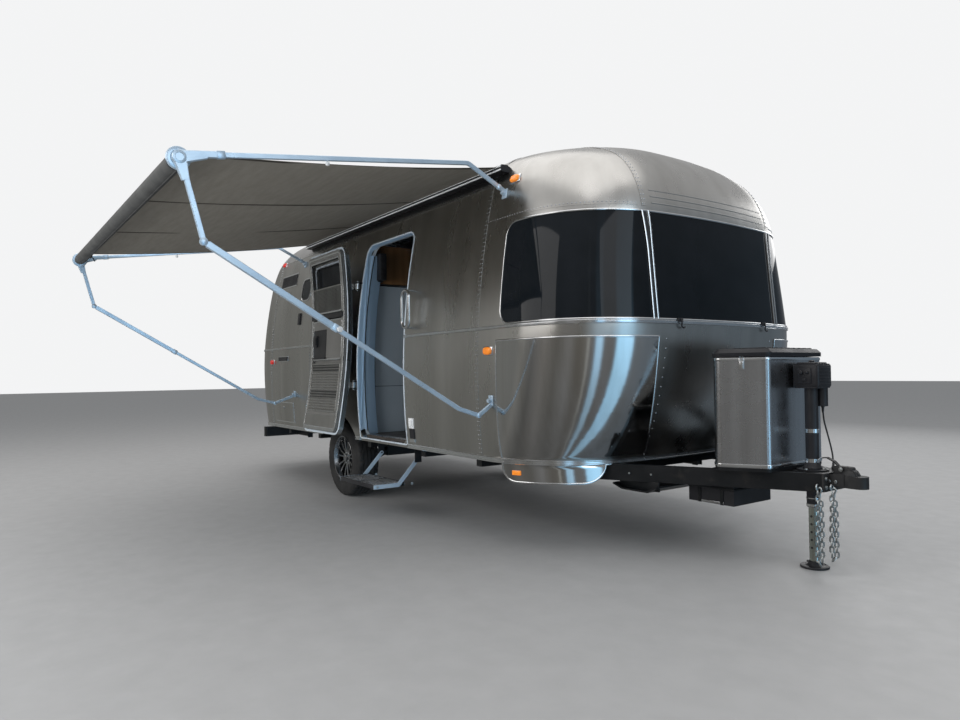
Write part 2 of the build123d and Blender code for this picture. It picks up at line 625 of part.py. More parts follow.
# Chassis: two rails, the cross members between them and the outriggers outside them
rails = Part()
for _, s in SIDES:
    rail_y = side_pair(s, RAIL_IN_Y, RAIL_OUT_Y)
    rails += block((RAIL_REAR_X, RAIL_FRONT_X), rail_y, (RAIL_BOTTOM_Z, FLOOR_Z))
nodes["chassis_rails"] = rails
crosses = Part()
for x, reach in CROSS_TABLE:
    xs = (x - CROSS_WIDTH / 2, x + CROSS_WIDTH / 2)
    crosses += block(xs, (-RAIL_IN_Y, RAIL_IN_Y), (RAIL_BOTTOM_Z + CROSS_LIFT, FLOOR_Z))
    if reach:
        for _, s in SIDES:
            crosses += block(xs, side_pair(s, RAIL_OUT_Y, reach), (FLOOR_Z - OUTRIGGER_HEIGHT, FLOOR_Z))
nodes["cross_members"] = crosses & hull(OUTRIGGER_SET_IN)

# Drawbar: two rails that narrow to the coupler, with web plates round the jack
drawbar = Part()
for _, s in SIDES:
    outline = Polyline(
        (RAIL_FRONT_X, s * RAIL_IN_Y),
        (RAIL_FRONT_X, s * RAIL_OUT_Y),
        (DRAWBAR_TIP_X, s * (DRAWBAR_TIP_Y + RAIL_WIDTH / 2)),
        (DRAWBAR_TIP_X, s * (DRAWBAR_TIP_Y - RAIL_WIDTH / 2)),
        close=True,
    )
    drawbar += extrude(Pos(0, 0, RAIL_BOTTOM_Z) * make_face(outline), amount=RAIL_HEIGHT)
for z in ((FLOOR_Z - WEB_THICKNESS, FLOOR_Z), (RAIL_BOTTOM_Z, RAIL_BOTTOM_Z + WEB_THICKNESS)):
    drawbar += block((WEB_REAR_X, DRAWBAR_TIP_X), (-WEB_HALF_WIDTH, WEB_HALF_WIDTH), z)
drawbar -= Pos(0, 0, FLOOR_Z) * Cylinder(JACK_TUBE_RADIUS, 4 * RAIL_HEIGHT)

# Coupler: its plate across the drawbar's tips, the nose over the ball and a hump on top
coupler_mid_z = (COUPLER_Z[0] + COUPLER_Z[1]) / 2
coupler = block((DRAWBAR_TIP_X, COUPLER_X), (-COUPLER_HALF_WIDTH, COUPLER_HALF_WIDTH), COUPLER_Z)
coupler += Pos(COUPLER_X, 0, coupler_mid_z) * Cylinder(COUPLER_HALF_WIDTH, COUPLER_Z[1] - COUPLER_Z[0])
coupler += block(
    (DRAWBAR_TIP_X, DRAWBAR_TIP_X + COUPLER_PLATE),
    (-COUPLER_PLATE_HALF_WIDTH, COUPLER_PLATE_HALF_WIDTH),
    (RAIL_BOTTOM_Z, FLOOR_Z),
)
hump = make_face(Polyline(*HUMP_PROFILE, close=True))
coupler += extrude(Plane.XZ * hump, amount=HUMP_HALF_WIDTH, both=True)
socket = Pos(COUPLER_X, 0, COUPLER_Z[0]) * Cylinder(BALL_SOCKET_RADIUS, 2 * BALL_SOCKET_DEPTH)
nodes["coupler"] = coupler - socket

# Nose jack: fixed tube and power head, sliding leg with its round foot
tube_height = JACK_HEAD_Z[0] - JACK_TUBE_LOW_Z
jack_tube = Pos(0, 0, JACK_TUBE_LOW_Z + tube_height / 2) * Cylinder(JACK_TUBE_RADIUS, tube_height)
bore_depth = JACK_BORE_TOP_Z - JACK_TUBE_LOW_Z
jack_tube -= Pos(0, 0, JACK_TUBE_LOW_Z) * Cylinder(JACK_LEG_RADIUS + JACK_PLAY, 2 * bore_depth)
head = fillet(block(JACK_HEAD_X, JACK_HEAD_Y, JACK_HEAD_Z).edges().filter_by(Axis.Z), JACK_HEAD_EDGE_RADIUS)
head += Pos(MOTOR_X, MOTOR_Y, sum(MOTOR_Z) / 2) * Cylinder(MOTOR_RADIUS, MOTOR_Z[1] - MOTOR_Z[0])
nodes["nose_jack"] = head + jack_tube
leg_height = JACK_LEG_TOP_Z - JACK_FOOT_THICKNESS
leg = Pos(0, 0, JACK_FOOT_THICKNESS + leg_height / 2) * Cylinder(JACK_LEG_RADIUS, leg_height)
foot = Cylinder(JACK_FOOT_RADIUS, JACK_FOOT_THICKNESS)
nodes["jack_leg"] = leg + Pos(0, 0, JACK_FOOT_THICKNESS / 2) * foot


# Gas cover: an open-bottomed sheet box on its tray, with a hinged lid
def cover_prism(grow, z):
    """The gas cover's plan, bigger all round by grow, between two heights, with rounded edges."""
    right = [(x, -y) for x, y in COVER_PLAN]
    left = list(reversed(COVER_PLAN))
    plan = make_face(Polyline(*right, *left, close=True))
    if grow:
        plan = offset(plan, amount=grow, kind=Kind.INTERSECTION)
    form = extrude(Pos(0, 0, z[0]) * plan, amount=z[1] - z[0])
    return fillet(form.edges().filter_by(Axis.Z), COVER_EDGE_RADIUS + grow)


cover = cover_prism(0.0, (COVER_LOW_Z, COVER_TOP_Z)) - cover_prism(-COVER_SHEET, (FLOOR_Z, LID_LOW_Z))
lid = cover_prism(LID_OVERHANG, (LID_LOW_Z, LID_LOW_Z + LID_HEIGHT))
lid = chamfer(lid.faces().sort_by(Axis.Z)[-1].edges(), LID_CHAMFER)
drawbar += cover_prism(0.0, (FLOOR_Z, COVER_LOW_Z))
bottles = Part()
for _, s in SIDES:
    bottle_at = Pos(BOTTLE_X, s * BOTTLE_Y, COVER_LOW_Z + BOTTLE_HEIGHT / 2)
    bottle = bottle_at * Cylinder(BOTTLE_RADIUS, BOTTLE_HEIGHT)
    bottles += fillet(bottle.edges(), BOTTLE_EDGE_RADIUS)
nodes["gas_bottles"] = bottles
nodes["battery_box"] = block(BATTERY_X, BATTERY_Y, (RAIL_BOTTOM_Z - BATTERY_DEPTH, RAIL_BOTTOM_Z))


# Jack cable: down from the motor and into a gland on the drawbar, on straight runs and tangent arcs
def cable_radii(points):
    """An arc for each corner, as large as its two runs allow."""
    radii = []
    for a, b, c in zip(points, points[1:], points[2:]):
        first, second = Vector(*b) - Vector(*a), Vector(*c) - Vector(*b)
        turn = math.radians(first.get_angle(second))
        radii.append(CABLE_BEND_SHARE * min(first.length, second.length) / math.tan(turn / 2))
    return radii


cable_path = FilletPolyline(*CABLE_ROUTE, radius=cable_radii(CABLE_ROUTE))
cable_start = Plane(origin=cable_path @ 0, z_dir=cable_path % 0)
nodes["jack_cable"] = sweep(cable_start * Circle(CABLE_DIAMETER / 2), path=cable_path)
gland_x, gland_y, gland_top_z = CABLE_ROUTE[-1]
gland_height = gland_top_z - FLOOR_Z
drawbar += Pos(gland_x, gland_y, FLOOR_Z + gland_height / 2) * Cylinder(CABLE_DIAMETER, gland_height)
nodes["drawbar"] = drawbar

# Axle: beam under the rails, trailing arms and spindles
half_beam = AXLE_BEAM / 2
beam_x = AXLE_X + AXLE_BEAM_DX
beam_z = RAIL_BOTTOM_Z - half_beam
beam_span_z = (RAIL_BOTTOM_Z - AXLE_BEAM, RAIL_BOTTOM_Z)
axle = block((beam_x - half_beam, beam_x + half_beam), (-ARM_Y[0], ARM_Y[0]), beam_span_z)
beam_end = (Pos(beam_x, beam_z) * Circle(ARM_RADII[0])).edges()
spindle_end = (Pos(AXLE_X, TYRE_RADIUS) * Circle(ARM_RADII[1])).edges()
arm_face = Plane.XZ * make_hull(beam_end + spindle_end)
for _, s in SIDES:
    arm = extrude(arm_face, amount=(ARM_Y[1] - ARM_Y[0]) / 2, both=True)
    axle += Pos(0, s * (ARM_Y[0] + ARM_Y[1]) / 2, 0) * arm
    spindle_y = s * (ARM_Y[1] + SPINDLE_END_Y) / 2
    axle += cross_bar(AXLE_X, spindle_y, TYRE_RADIUS, SPINDLE_RADIUS, SPINDLE_END_Y - ARM_Y[1])
nodes["axle"] = axle


# Wheels: brake drum and hub, cast rim, tyre
def ring(outer, inner, y):
    """A ring about the wheel's line between two y values; a disc where inner is 0."""
    mid, span = (y[0] + y[1]) / 2, y[1] - y[0]
    form = cross_bar(AXLE_X, mid, TYRE_RADIUS, outer, span)
    return form - cross_bar(AXLE_X, mid, TYRE_RADIUS, inner, 2 * span) if inner else form


wheel = ring(DRUM_RADIUS, 0, DRUM_Y) + ring(HUB_RADIUS, 0, (DRUM_Y[1], RIM_FACE_Y[0]))
wheel += ring(RIM_SEAT, RIM_BARREL, (WHEEL_Y - RIM_HALF_WIDTH, WHEEL_Y + RIM_HALF_WIDTH))
for edge in (-1, 1):
    flange_y = sorted((WHEEL_Y + edge * RIM_HALF_WIDTH, WHEEL_Y + edge * (RIM_HALF_WIDTH - FLANGE)))
    wheel += ring(RIM_RADIUS, RIM_BARREL, flange_y)
face = ring(RIM_BARREL, 0, RIM_FACE_Y)
for i in range(SPOKE_HOLES):
    angle = 2 * math.pi * i / SPOKE_HOLES
    x, z = AXLE_X + SPOKE_HOLE_CIRCLE * math.sin(angle), TYRE_RADIUS + SPOKE_HOLE_CIRCLE * math.cos(angle)
    face -= cross_bar(x, sum(RIM_FACE_Y) / 2, z, SPOKE_HOLE_RADIUS, 2 * RIM_HALF_WIDTH)
wheel += face + ring(CAP_RADIUS, 0, (RIM_FACE_Y[1], RIM_FACE_Y[1] + CAP_HEIGHT))
wheel -= ring(SPINDLE_RADIUS + SPINDLE_PLAY, 0, (ARM_Y[1], SPINDLE_END_Y + SPINDLE_END_PLAY))
tyre = ring(TYRE_RADIUS, RIM_RADIUS, (WHEEL_Y - TYRE_WIDTH / 2, WHEEL_Y + TYRE_WIDTH / 2))
rings = tyre.edges().filter_by(GeomType.CIRCLE)
tread_edges = rings.filter_by(lambda e: e.radius > (RIM_RADIUS + TYRE_RADIUS) / 2)
tyre = fillet(tread_edges, TYRE_SHOULDER_RADIUS)
bead = RIM_HALF_WIDTH - FLANGE
tyre += ring(RIM_RADIUS, RIM_SEAT, (WHEEL_Y - bead, WHEEL_Y + bead))
for side, s in SIDES:
    for part_name, shape in (("wheel", wheel), ("tyre", tyre)):
        nodes[f"{side}_{part_name}"] = shape if s > 0 else shape.mirror(Plane.XZ)


# Entry door, modelled shut and then swung open about its leaning hinge line
def leaf_form(gap, outer, inner):
    """A panel that follows the shell between two depths and fills the doorway less a gap."""
    opening = window(
        (DOOR_REAR_X + gap, DOOR_FRONT_X - gap),
        (DOOR_SILL_Z + gap, DOOR_TOP_Z - gap),
        DOOR_CORNER_RADIUS - gap,
        (-FAR, 0.0),
    )
    return (hull(outer) - hull(inner)) & opening


def on_hinge(z):
    """Place on the hinge line at a height, upright along that line."""
    y = HINGE_Y + (z - HINGE_Z) * math.tan(math.radians(HINGE_LEAN))
    return Pos(HINGE_X, y, z) * Rot(-HINGE_LEAN, 0, 0)


door_pane = window(
    (DOOR_REAR_X + DOOR_PANE_BORDER, DOOR_FRONT_X - DOOR_PANE_BORDER),
    DOOR_PANE_Z,
    DOOR_PANE_CORNER_RADIUS,
    (-FAR, 0.0),
)
pane_x = (DOOR_REAR_X + DOOR_FRONT_X) / 2
arc_y = SIDE_BULGE_RADIUS - BODY_HALF_WIDTH
arcs = [
    Pos(pane_x, arc_y, SIDE_BULGE_Z) * Rot(0, 90, 0) * Cylinder(SIDE_BULGE_RADIUS - depth, 2 * DOOR_WIDTH)
    for depth in DOOR_PANE_DEPTH
]
pane = (arcs[0] - arcs[1]) & door_pane
leaf = leaf_form(DOOR_GAP, 0.0, DOOR_LEAF) - door_pane
screen_low = DOOR_LEAF + SCREEN_GAP
screen_gap = DOOR_GAP + SCREEN_INSET
screen = leaf_form(screen_gap, screen_low, screen_low + SCREEN_LEAF)
screen_border = screen_gap + SCREEN_BORDER
for z in SCREEN_OPENINGS:
    screen_x = (DOOR_REAR_X + screen_border, DOOR_FRONT_X - screen_border)
    screen -= window(screen_x, z, SCREEN_CORNER_RADIUS, (-FAR, 0.0))
catch_shell = hull(DOOR_LEAF) - hull(screen_low)
for z in CATCHES:
    for x in (DOOR_REAR_X + CATCH_FROM_EDGE, DOOR_FRONT_X - CATCH_FROM_EDGE):
        catch = block((x - CATCH_HALF, x + CATCH_HALF), (-FAR, 0.0), (z - CATCH_HALF, z + CATCH_HALF))
        screen += catch & catch_shell
barrels = Part()
bores = Part()
ears = Part()
pin_half = HINGE_HALF + HINGE_SLACK + HINGE_EAR
barrel_z = (-HINGE_HALF, HINGE_HALF)
for z in HINGE_HEIGHTS:
    at = on_hinge(z)
    barrels += at * Cylinder(BARREL_RADIUS, 2 * HINGE_HALF)
    barrels += at * block((0.0, STRAP_X[1]), (-BARREL_RADIUS, STRAP - BARREL_RADIUS), barrel_z)
    barrels += (at * block(STRAP_X, (-BARREL_RADIUS, EAR_REACH), barrel_z)) - OUTER
    bores += at * Cylinder(HINGE_PIN_RADIUS + HINGE_PLAY, 2 * pin_half)
    ears += at * Cylinder(HINGE_PIN_RADIUS, 2 * pin_half)
    for t in (-1, 1):
        ear_z = sorted((t * (HINGE_HALF + HINGE_SLACK), t * pin_half))
        ear = at * block((-BARREL_RADIUS, BARREL_RADIUS), (-BARREL_RADIUS, EAR_REACH), ear_z)
        ears += ear - OUTER
handle_high_x = DOOR_FRONT_X - DOOR_GAP - HANDLE_FROM_EDGE
handle = block((handle_high_x - HANDLE_WIDTH, handle_high_x), (-FAR, 0.0), HANDLE_Z)
handle = (handle & hull(-HANDLE_PROUD)) - OUTER
swing = {
    "entry_door": leaf + (barrels - bores) + handle,
    "entry_door_window": pane,
    "screen_door": screen,
}
lean = math.radians(HINGE_LEAN)
hinge_line = Axis((HINGE_X, HINGE_Y, HINGE_Z), (0, math.sin(lean), math.cos(lean)))
for name, shape in swing.items():
    nodes[name] = shape.rotate(hinge_line, -DOOR_OPEN_ANGLE)
frame_form = window(
    (DOOR_REAR_X - FRAME_BORDER, DOOR_FRONT_X + FRAME_BORDER),
    (DOOR_SILL_Z, DOOR_TOP_Z + FRAME_BORDER),
    DOOR_CORNER_RADIUS + FRAME_BORDER,
    (-FAR, 0.0),
)
frame = ((INNER - hull(WALL + FRAME_DEPTH)) & frame_form) - door_hole
nodes["door_frame"] = frame & slab((FLOOR_TOP_Z, FAR))

# Grab handle: two straight bars, two half rings and the pegs that hold them to the wall
grab_at = Pos(GRAB_X, GRAB_Y, GRAB_Z)
grab = Part()
for t in (-1, 1):
    half_space = block((-FAR, FAR), (-FAR, FAR), sorted((0.0, t * FAR)))
    bend = (Rot(90, 0, 0) * Torus(GRAB_HALF_WIDTH, GRAB_BAR_RADIUS)) & half_space
    grab += grab_at * Pos(0, 0, t * GRAB_HALF_STRAIGHT) * bend
    grab += grab_at * Pos(t * GRAB_HALF_WIDTH, 0, 0) * Cylinder(GRAB_BAR_RADIUS, 2 * GRAB_HALF_STRAIGHT)
    peg_z = GRAB_Z + t * (GRAB_HALF_STRAIGHT + GRAB_HALF_WIDTH)
    peg = rod((GRAB_X, GRAB_Y, peg_z), (GRAB_X, GRAB_Y + EAR_REACH, peg_z), GRAB_PEG_RADIUS)
    grab += peg - OUTER
nodes["grab_handle"] = grab


# Awning: rail on the wall, cloth, roller, and at each end a rafter and a support arm
def roller_at(x):
    """The roller's middle at a place along it, as (y, z)."""
    share = (x - AWNING_REAR_X) / (AWNING_FRONT_X - AWNING_REAR_X)
    return tuple(rear + (front - rear) * share for rear, front in zip(ROLLER_REAR, ROLLER_FRONT))


def cloth_profile(x):
    """Section of the cloth at a place along the awning: a shallow sagging arc."""
    roller_y, roller_z = roller_at(x)
    wall_end = (awning_rail_y[0], AWNING_RAIL_Z[1] - CLOTH_BELOW_RAIL_TOP)
    out_end = (roller_y, roller_z + ROLLER_RADIUS + CLOTH_OVER_ROLLER)
    middle = ((wall_end[0] + out_end[0]) / 2, (wall_end[1] + out_end[1]) / 2 - CLOTH_SAG)
    under = [wall_end, middle, out_end]
    over = [(y, z + CLOTH_THICKNESS) for y, z in reversed(under)]
    edges = [ThreePointArc(*under), Line(out_end, over[0]), ThreePointArc(*over), Line(over[-1], wall_end)]
    return Plane(origin=(x, 0, 0), x_dir=(0, 1, 0), z_dir=(1, 0, 0)) * make_face(edges)


rail_half_width = half_width(sum(AWNING_RAIL_Z) / 2, 0.0)
awning_rail_y = (-rail_half_width - AWNING_RAIL_PROUD, -rail_half_width + AWNING_RAIL_SUNK)
roller_x = (AWNING_REAR_X - ROLLER_OVERHANG, AWNING_FRONT_X + ROLLER_OVERHANG)
nodes["awning_rail"] = block(roller_x, awning_rail_y, AWNING_RAIL_Z) - OUTER
cloth_xs = (AWNING_REAR_X + CLOTH_EDGE_GAP, AWNING_FRONT_X - CLOTH_EDGE_GAP)
nodes["awning_cloth"] = loft([cloth_profile(x) for x in cloth_xs], ruled=True)
roller = rod((roller_x[0], *roller_at(roller_x[0])), (roller_x[1], *roller_at(roller_x[1])), ROLLER_RADIUS)
arms = Part()
for x, outward, wall_points in ((roller_x[0], -1, SUPPORT_WALL_REAR), (roller_x[1], 1, SUPPORT_WALL_FRONT)):
    roller_y, roller_z = roller_at(x)
    cap_at = Pos(x + outward * END_CAP / 2, roller_y, roller_z) * Rot(0, 90, 0)
    roller += cap_at * Cylinder(END_CAP_RADIUS, END_CAP)
    arm_x = x + outward * (END_CAP + AWNING_BAR_DEPTH / 2)
    rafter_end = (roller_y + RAFTER_TO_ROLLER[0], roller_z + RAFTER_TO_ROLLER[1])
    support_ends = [(roller_y + dy, roller_z + dz) for dy, dz in SUPPORT_TO_ROLLER]
    for line in ((*RAFTER_WALL_END, rafter_end), (*support_ends, *wall_points)):
        arms += bent_bar([(arm_x, y, z) for y, z in line], AWNING_BAR_DEPTH, AWNING_BAR_WIDTH) - OUTER
nodes["awning_roller"] = roller
nodes["awning_arms"] = arms

# Entry step: hangers with pins under the floor, and the fold-down step
hangers = Part()
tread_z = (STEP_TREAD_Z - STEP_TREAD_DEPTH, STEP_TREAD_Z)
tread_mid_z = sum(tread_z) / 2
step = block(STEP_X, (STEP_OUTER_Y, STEP_INNER_Y), tread_z)
for x, outward in ((STEP_X[0], -1), (STEP_X[1], 1)):
    arm_x = x + outward * STEP_ARM_PLATE / 2
    line = [
        (arm_x, STEP_OUTER_Y, tread_mid_z),
        (arm_x, STEP_KNEE_Y, tread_mid_z),
        (arm_x, STEP_PIVOT_Y, STEP_PIVOT_Z),
    ]
    step += bent_bar(line, STEP_ARM_PLATE, 2 * STEP_ARM_HALF)
    pivot = (x, STEP_PIVOT_Y, STEP_PIVOT_Z)
    step += rod(pivot, (x + outward * STEP_ARM_PLATE, *pivot[1:]), STEP_ARM_HALF)
    plate_near = x + outward * (STEP_ARM_PLATE + STEP_CLEAR)
    plate_far = plate_near + outward * STEP_ARM_PLATE
    hangers += block(
        sorted((plate_near, plate_far)),
        (STEP_PIVOT_Y - HANGER_HALF, STEP_PIVOT_Y + HANGER_HALF),
        (STEP_PIVOT_Z - HANGER_DROP, FLOOR_Z),
    )
    hangers += rod(pivot, (plate_far, *pivot[1:]), STEP_PIN_RADIUS)
step_bore = [(x, STEP_PIVOT_Y, STEP_PIVOT_Z) for x in (STEP_X[0] - HANGER_HALF, STEP_X[1] + HANGER_HALF)]
nodes["entry_step"] = step - rod(*step_bore, STEP_PIN_RADIUS + HINGE_PLAY)

# Stabiliser legs, each between two plates with a pin
leg_hangers = Part()
half = LEG_WIDTH / 2
for end_name, pivot_x, way in LEG_TABLE:
    for side, s in SIDES:
        y = s * RAIL_Y
        tip_x = pivot_x + way * LEG_LENGTH
        leg = block(
            sorted((pivot_x - way * half, tip_x)),
            (y - half, y + half),
            (LEG_PIVOT_Z - half, LEG_PIVOT_Z + half),
        )
        leg += block(
            sorted((tip_x, tip_x + way * LEG_PLATE)),
            (y - PAD_HALF, y + PAD_HALF),
            (LEG_PIVOT_Z - PAD_HALF, LEG_PIVOT_Z + PAD_HALF),
        )
        leg -= cross_bar(pivot_x, y, LEG_PIVOT_Z, LEG_PIN_RADIUS + HINGE_PLAY, 2 * LEG_WIDTH)
        nodes[f"{end_name}_{side}_stabiliser"] = leg
        plate_xs = (pivot_x - LEG_PLATE_HALF, pivot_x + LEG_PLATE_HALF)
        for t in (-1, 1):
            plate_y = sorted((y + t * (half + LEG_CLEAR), y + t * (half + LEG_CLEAR + LEG_PLATE)))
            leg_hangers += block(plate_xs, plate_y, (LEG_PIVOT_Z - LEG_PLATE_DROP, RAIL_BOTTOM_Z))
        leg_hangers += cross_bar(pivot_x, y, LEG_PIVOT_Z, LEG_PIN_RADIUS, 2 * (half + LEG_CLEAR) + LEG_PLATE)
nodes["underfloor_hangers"] = leg_hangers + hangers

# Rear bumper
bumper = block((RAIL_REAR_X - BUMPER_DEPTH, RAIL_REAR_X), (-BUMPER_HALF_WIDTH, BUMPER_HALF_WIDTH), BUMPER_Z)
nodes["rear_bumper"] = fillet(bumper.edges().filter_by(Axis.Z), BUMPER_EDGE_RADIUS)


# Lids hinged along their rear edges: the gas cover's and the roof vent's
def edge_hinge(pin_x, pin_z, ys, lid_x, base_x):
    """Fixed ears with their pins, and the lugs of a lid that turns about them; the pins run along Y."""
    fixed, moving, bores = Part(), Part(), Part()
    pin_reach = LUG_HALF + LUG_GAP + EAR_THICKNESS
    for y in ys:
        moving += cross_bar(pin_x, y, pin_z, EAR_RADIUS, 2 * LUG_HALF)
        lug_z = (pin_z - LUG_PLATE, pin_z + EAR_RADIUS)
        moving += block((pin_x, lid_x), (y - LUG_HALF, y + LUG_HALF), lug_z)
        bores += cross_bar(pin_x, y, pin_z, LID_PIN_RADIUS + HINGE_PLAY, 2 * (LUG_HALF + LUG_GAP))
        fixed += cross_bar(pin_x, y, pin_z, LID_PIN_RADIUS, 2 * pin_reach)
        foot_z = pin_z - EAR_REACH_DOWN
        for t in (-1, 1):
            ear_y = sorted((y + t * (LUG_HALF + LUG_GAP), y + t * pin_reach))
            fixed += block((pin_x - EAR_RADIUS, pin_x + EAR_RADIUS), ear_y, (foot_z, pin_z + EAR_RADIUS))
            fixed += block((pin_x - EAR_RADIUS, base_x), ear_y, (foot_z - EAR_FOOT, foot_z))
    return fixed, moving - bores


cover_rear_x = COVER_PLAN[0][0]
lid_rear_x = cover_rear_x - LID_OVERHANG
ears_fixed, lugs = edge_hinge(
    lid_rear_x - LID_PIN_BACK, LID_LOW_Z + 1.5 * EAR_RADIUS, LID_HINGE_YS, lid_rear_x, cover_rear_x
)
nodes["gas_cover"] = cover + ears_fixed
nodes["gas_cover_lid"] = lid + lugs
vent_frame = block(
    (VENT_X - VENT_FRAME_OUTER, VENT_X + VENT_FRAME_OUTER),
    (-VENT_FRAME_OUTER, VENT_FRAME_OUTER),
    VENT_FRAME_Z,
)
vent_frame -= block(
    (VENT_X - VENT_FRAME_INNER, VENT_X + VENT_FRAME_INNER),
    (-VENT_FRAME_INNER, VENT_FRAME_INNER),
    (ROOF_SEAM_Z, FAR),
)
vent_lid_z = VENT_FRAME_Z[1] + VENT_LID_GAP
vent_lid = block(
    (VENT_X - VENT_LID_HALF, VENT_X + VENT_LID_HALF),
    (-VENT_LID_HALF, VENT_LID_HALF),
    (vent_lid_z, vent_lid_z + VENT_LID_HEIGHT),
)
vent_lid = fillet(vent_lid.edges().filter_by(Axis.Z), VENT_LID_EDGE_RADIUS)
vent_lid_rear_x = VENT_X - VENT_LID_HALF
ears_fixed, lugs = edge_hinge(
    vent_lid_rear_x - LID_PIN_BACK, VENT_PIN_Z, VENT_HINGE_YS, vent_lid_rear_x, VENT_X - VENT_FRAME_OUTER
)
nodes["vent_frame"] = (vent_frame + ears_fixed) - OUTER
nodes["vent_lid"] = vent_lid + lugs

# Air conditioner on the roof
aircon = block(
    (AXLE_X - AIRCON_HALF_LENGTH, AXLE_X + AIRCON_HALF_LENGTH),
    (-AIRCON_HALF_WIDTH, AIRCON_HALF_WIDTH),
    AIRCON_Z,
)
nodes["air_conditioner"] = fillet((aircon - OUTER).edges().filter_by(Axis.Z), AIRCON_EDGE_RADIUS)

# Access hatch, with its hinges outside the wall above it
hatch_cut = window(
    (HATCH_X[0] + HATCH_GAP, HATCH_X[1] - HATCH_GAP),
    (HATCH_Z[0] + HATCH_GAP, HATCH_Z[1] - HATCH_GAP),
    HATCH_CORNER_RADIUS - HATCH_GAP,
    (0.0, FAR),
)
hatch = (OUTER - hull(HATCH_LEAF)) & hatch_cut
pin_y = half_width(HATCH_Z[1], 0.0) + HATCH_HINGE_OUT
pin_z = HATCH_Z[1] + HATCH_HINGE_UP
lug_inner_y = BODY_HALF_WIDTH - 2 * WALL
lugs = Part()
for x in (HATCH_X[0] + HATCH_HINGE_FROM_END, HATCH_X[1] - HATCH_HINGE_FROM_END):
    lug_x = (x - LUG_HALF, x + LUG_HALF)
    pin_reach = LUG_HALF + LUG_GAP + EAR_THICKNESS
    lug = rod((lug_x[0], pin_y, pin_z), (lug_x[1], pin_y, pin_z), EAR_RADIUS)
    lug += block(lug_x, (pin_y - LUG_PLATE, pin_y + EAR_RADIUS), (pin_z - HATCH_LUG_DROP[0], pin_z))
    lug += block(lug_x, (lug_inner_y, pin_y), (pin_z - HATCH_LUG_DROP[0], pin_z - HATCH_LUG_DROP[1])) - OUTER
    bore_x = (lug_x[0] - HINGE_SLACK, lug_x[1] + HINGE_SLACK)
    lugs += lug - rod((bore_x[0], pin_y, pin_z), (bore_x[1], pin_y, pin_z), LID_PIN_RADIUS + HINGE_PLAY)
    ears += rod((x - pin_reach, pin_y, pin_z), (x + pin_reach, pin_y, pin_z), LID_PIN_RADIUS)
    for t in (-1, 1):
        ear_x = sorted((x + t * (LUG_HALF + LUG_GAP), x + t * pin_reach))
        ear_z = (pin_z - HATCH_EAR_Z[0], pin_z + HATCH_EAR_Z[1])
        ears += block(ear_x, (lug_inner_y, pin_y + EAR_RADIUS), ear_z) - OUTER
nodes["hinge_ears"] = ears
nodes["access_hatch"] = hatch + lugs

# Lamps
lamp_shell = hull(-LAMP_PROUD) - OUTER
lamps = {"amber": Part(), "red": Part()}
for x, z, tint in LAMP_TABLE:
    for _, s in SIDES:
        lamps[tint] += lamp_shell & block(
            (x - LAMP_HALF_LENGTH, x + LAMP_HALF_LENGTH),
            side_pair(s, LAMP_INNER_Y, FAR),
            (z - LAMP_HALF_HEIGHT, z + LAMP_HALF_HEIGHT),
        )
for _, s in SIDES:
    lamps["red"] += lamp_shell & block(REAR_PANE_X, side_pair(s, *TAIL_LAMP_Y), TAIL_LAMP_Z)
for tint, shape in lamps.items():
    nodes[f"{tint}_lamps"] = shape

# Cabinets: wardrobe, galley and bed base; a locker over the wardrobe
above_floor = INNER & slab((FLOOR_TOP_Z, FAR))
wardrobe = block(WARDROBE_X, (-FAR, WARDROBE_INNER_Y), (0.0, WARDROBE_TOP_Z))
galley = block(GALLEY_X, (GALLEY_INNER_Y, FAR), (0.0, GALLEY_TOP_Z))
bed = block((BED_REAR_X, FAR), (-FAR, FAR), (0.0, BED_TOP_Z))
nodes["cabinets"] = ((wardrobe + galley + bed) & above_floor) - drum
locker = block(WARDROBE_X, (-FAR, LOCKER_INNER_Y), (WARDROBE_TOP_Z, LOCKER_TOP_Z))
nodes["roof_locker"] = locker & above_floor

os.makedirs("parts", exist_ok=True)
for name, shape in nodes.items():
    export_step(shape, f"parts/{name}.step")
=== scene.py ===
import functools
import json
import math
import random
import bmesh
import bpy
from mathutils import Matrix, Vector

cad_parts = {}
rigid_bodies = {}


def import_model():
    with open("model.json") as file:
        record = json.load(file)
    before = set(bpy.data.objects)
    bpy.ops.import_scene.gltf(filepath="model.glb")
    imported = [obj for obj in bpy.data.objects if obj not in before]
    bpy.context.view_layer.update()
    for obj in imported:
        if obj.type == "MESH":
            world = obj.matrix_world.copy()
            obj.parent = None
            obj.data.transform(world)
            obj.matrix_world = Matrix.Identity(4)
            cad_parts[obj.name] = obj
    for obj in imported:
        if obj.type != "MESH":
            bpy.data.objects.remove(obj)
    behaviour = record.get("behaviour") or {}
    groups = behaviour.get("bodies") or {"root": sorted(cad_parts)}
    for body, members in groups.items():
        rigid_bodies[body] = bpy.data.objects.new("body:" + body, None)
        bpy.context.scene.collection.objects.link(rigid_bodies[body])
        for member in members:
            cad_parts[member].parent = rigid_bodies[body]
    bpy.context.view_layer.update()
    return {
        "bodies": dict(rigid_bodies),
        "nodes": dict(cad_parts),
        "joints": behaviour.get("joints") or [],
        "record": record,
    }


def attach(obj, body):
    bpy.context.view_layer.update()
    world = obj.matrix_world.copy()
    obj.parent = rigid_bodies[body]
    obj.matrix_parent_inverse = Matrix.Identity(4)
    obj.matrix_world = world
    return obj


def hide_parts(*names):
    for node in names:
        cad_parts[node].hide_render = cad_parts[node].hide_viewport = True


# A travel caravan: the looks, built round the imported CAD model. Metres; X forwards, Y left, Z up.
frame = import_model()
NODES = frame["nodes"]
RIGHT, LEFT = -1, 1
SIDES = ((RIGHT, "right"), (LEFT, "left"))

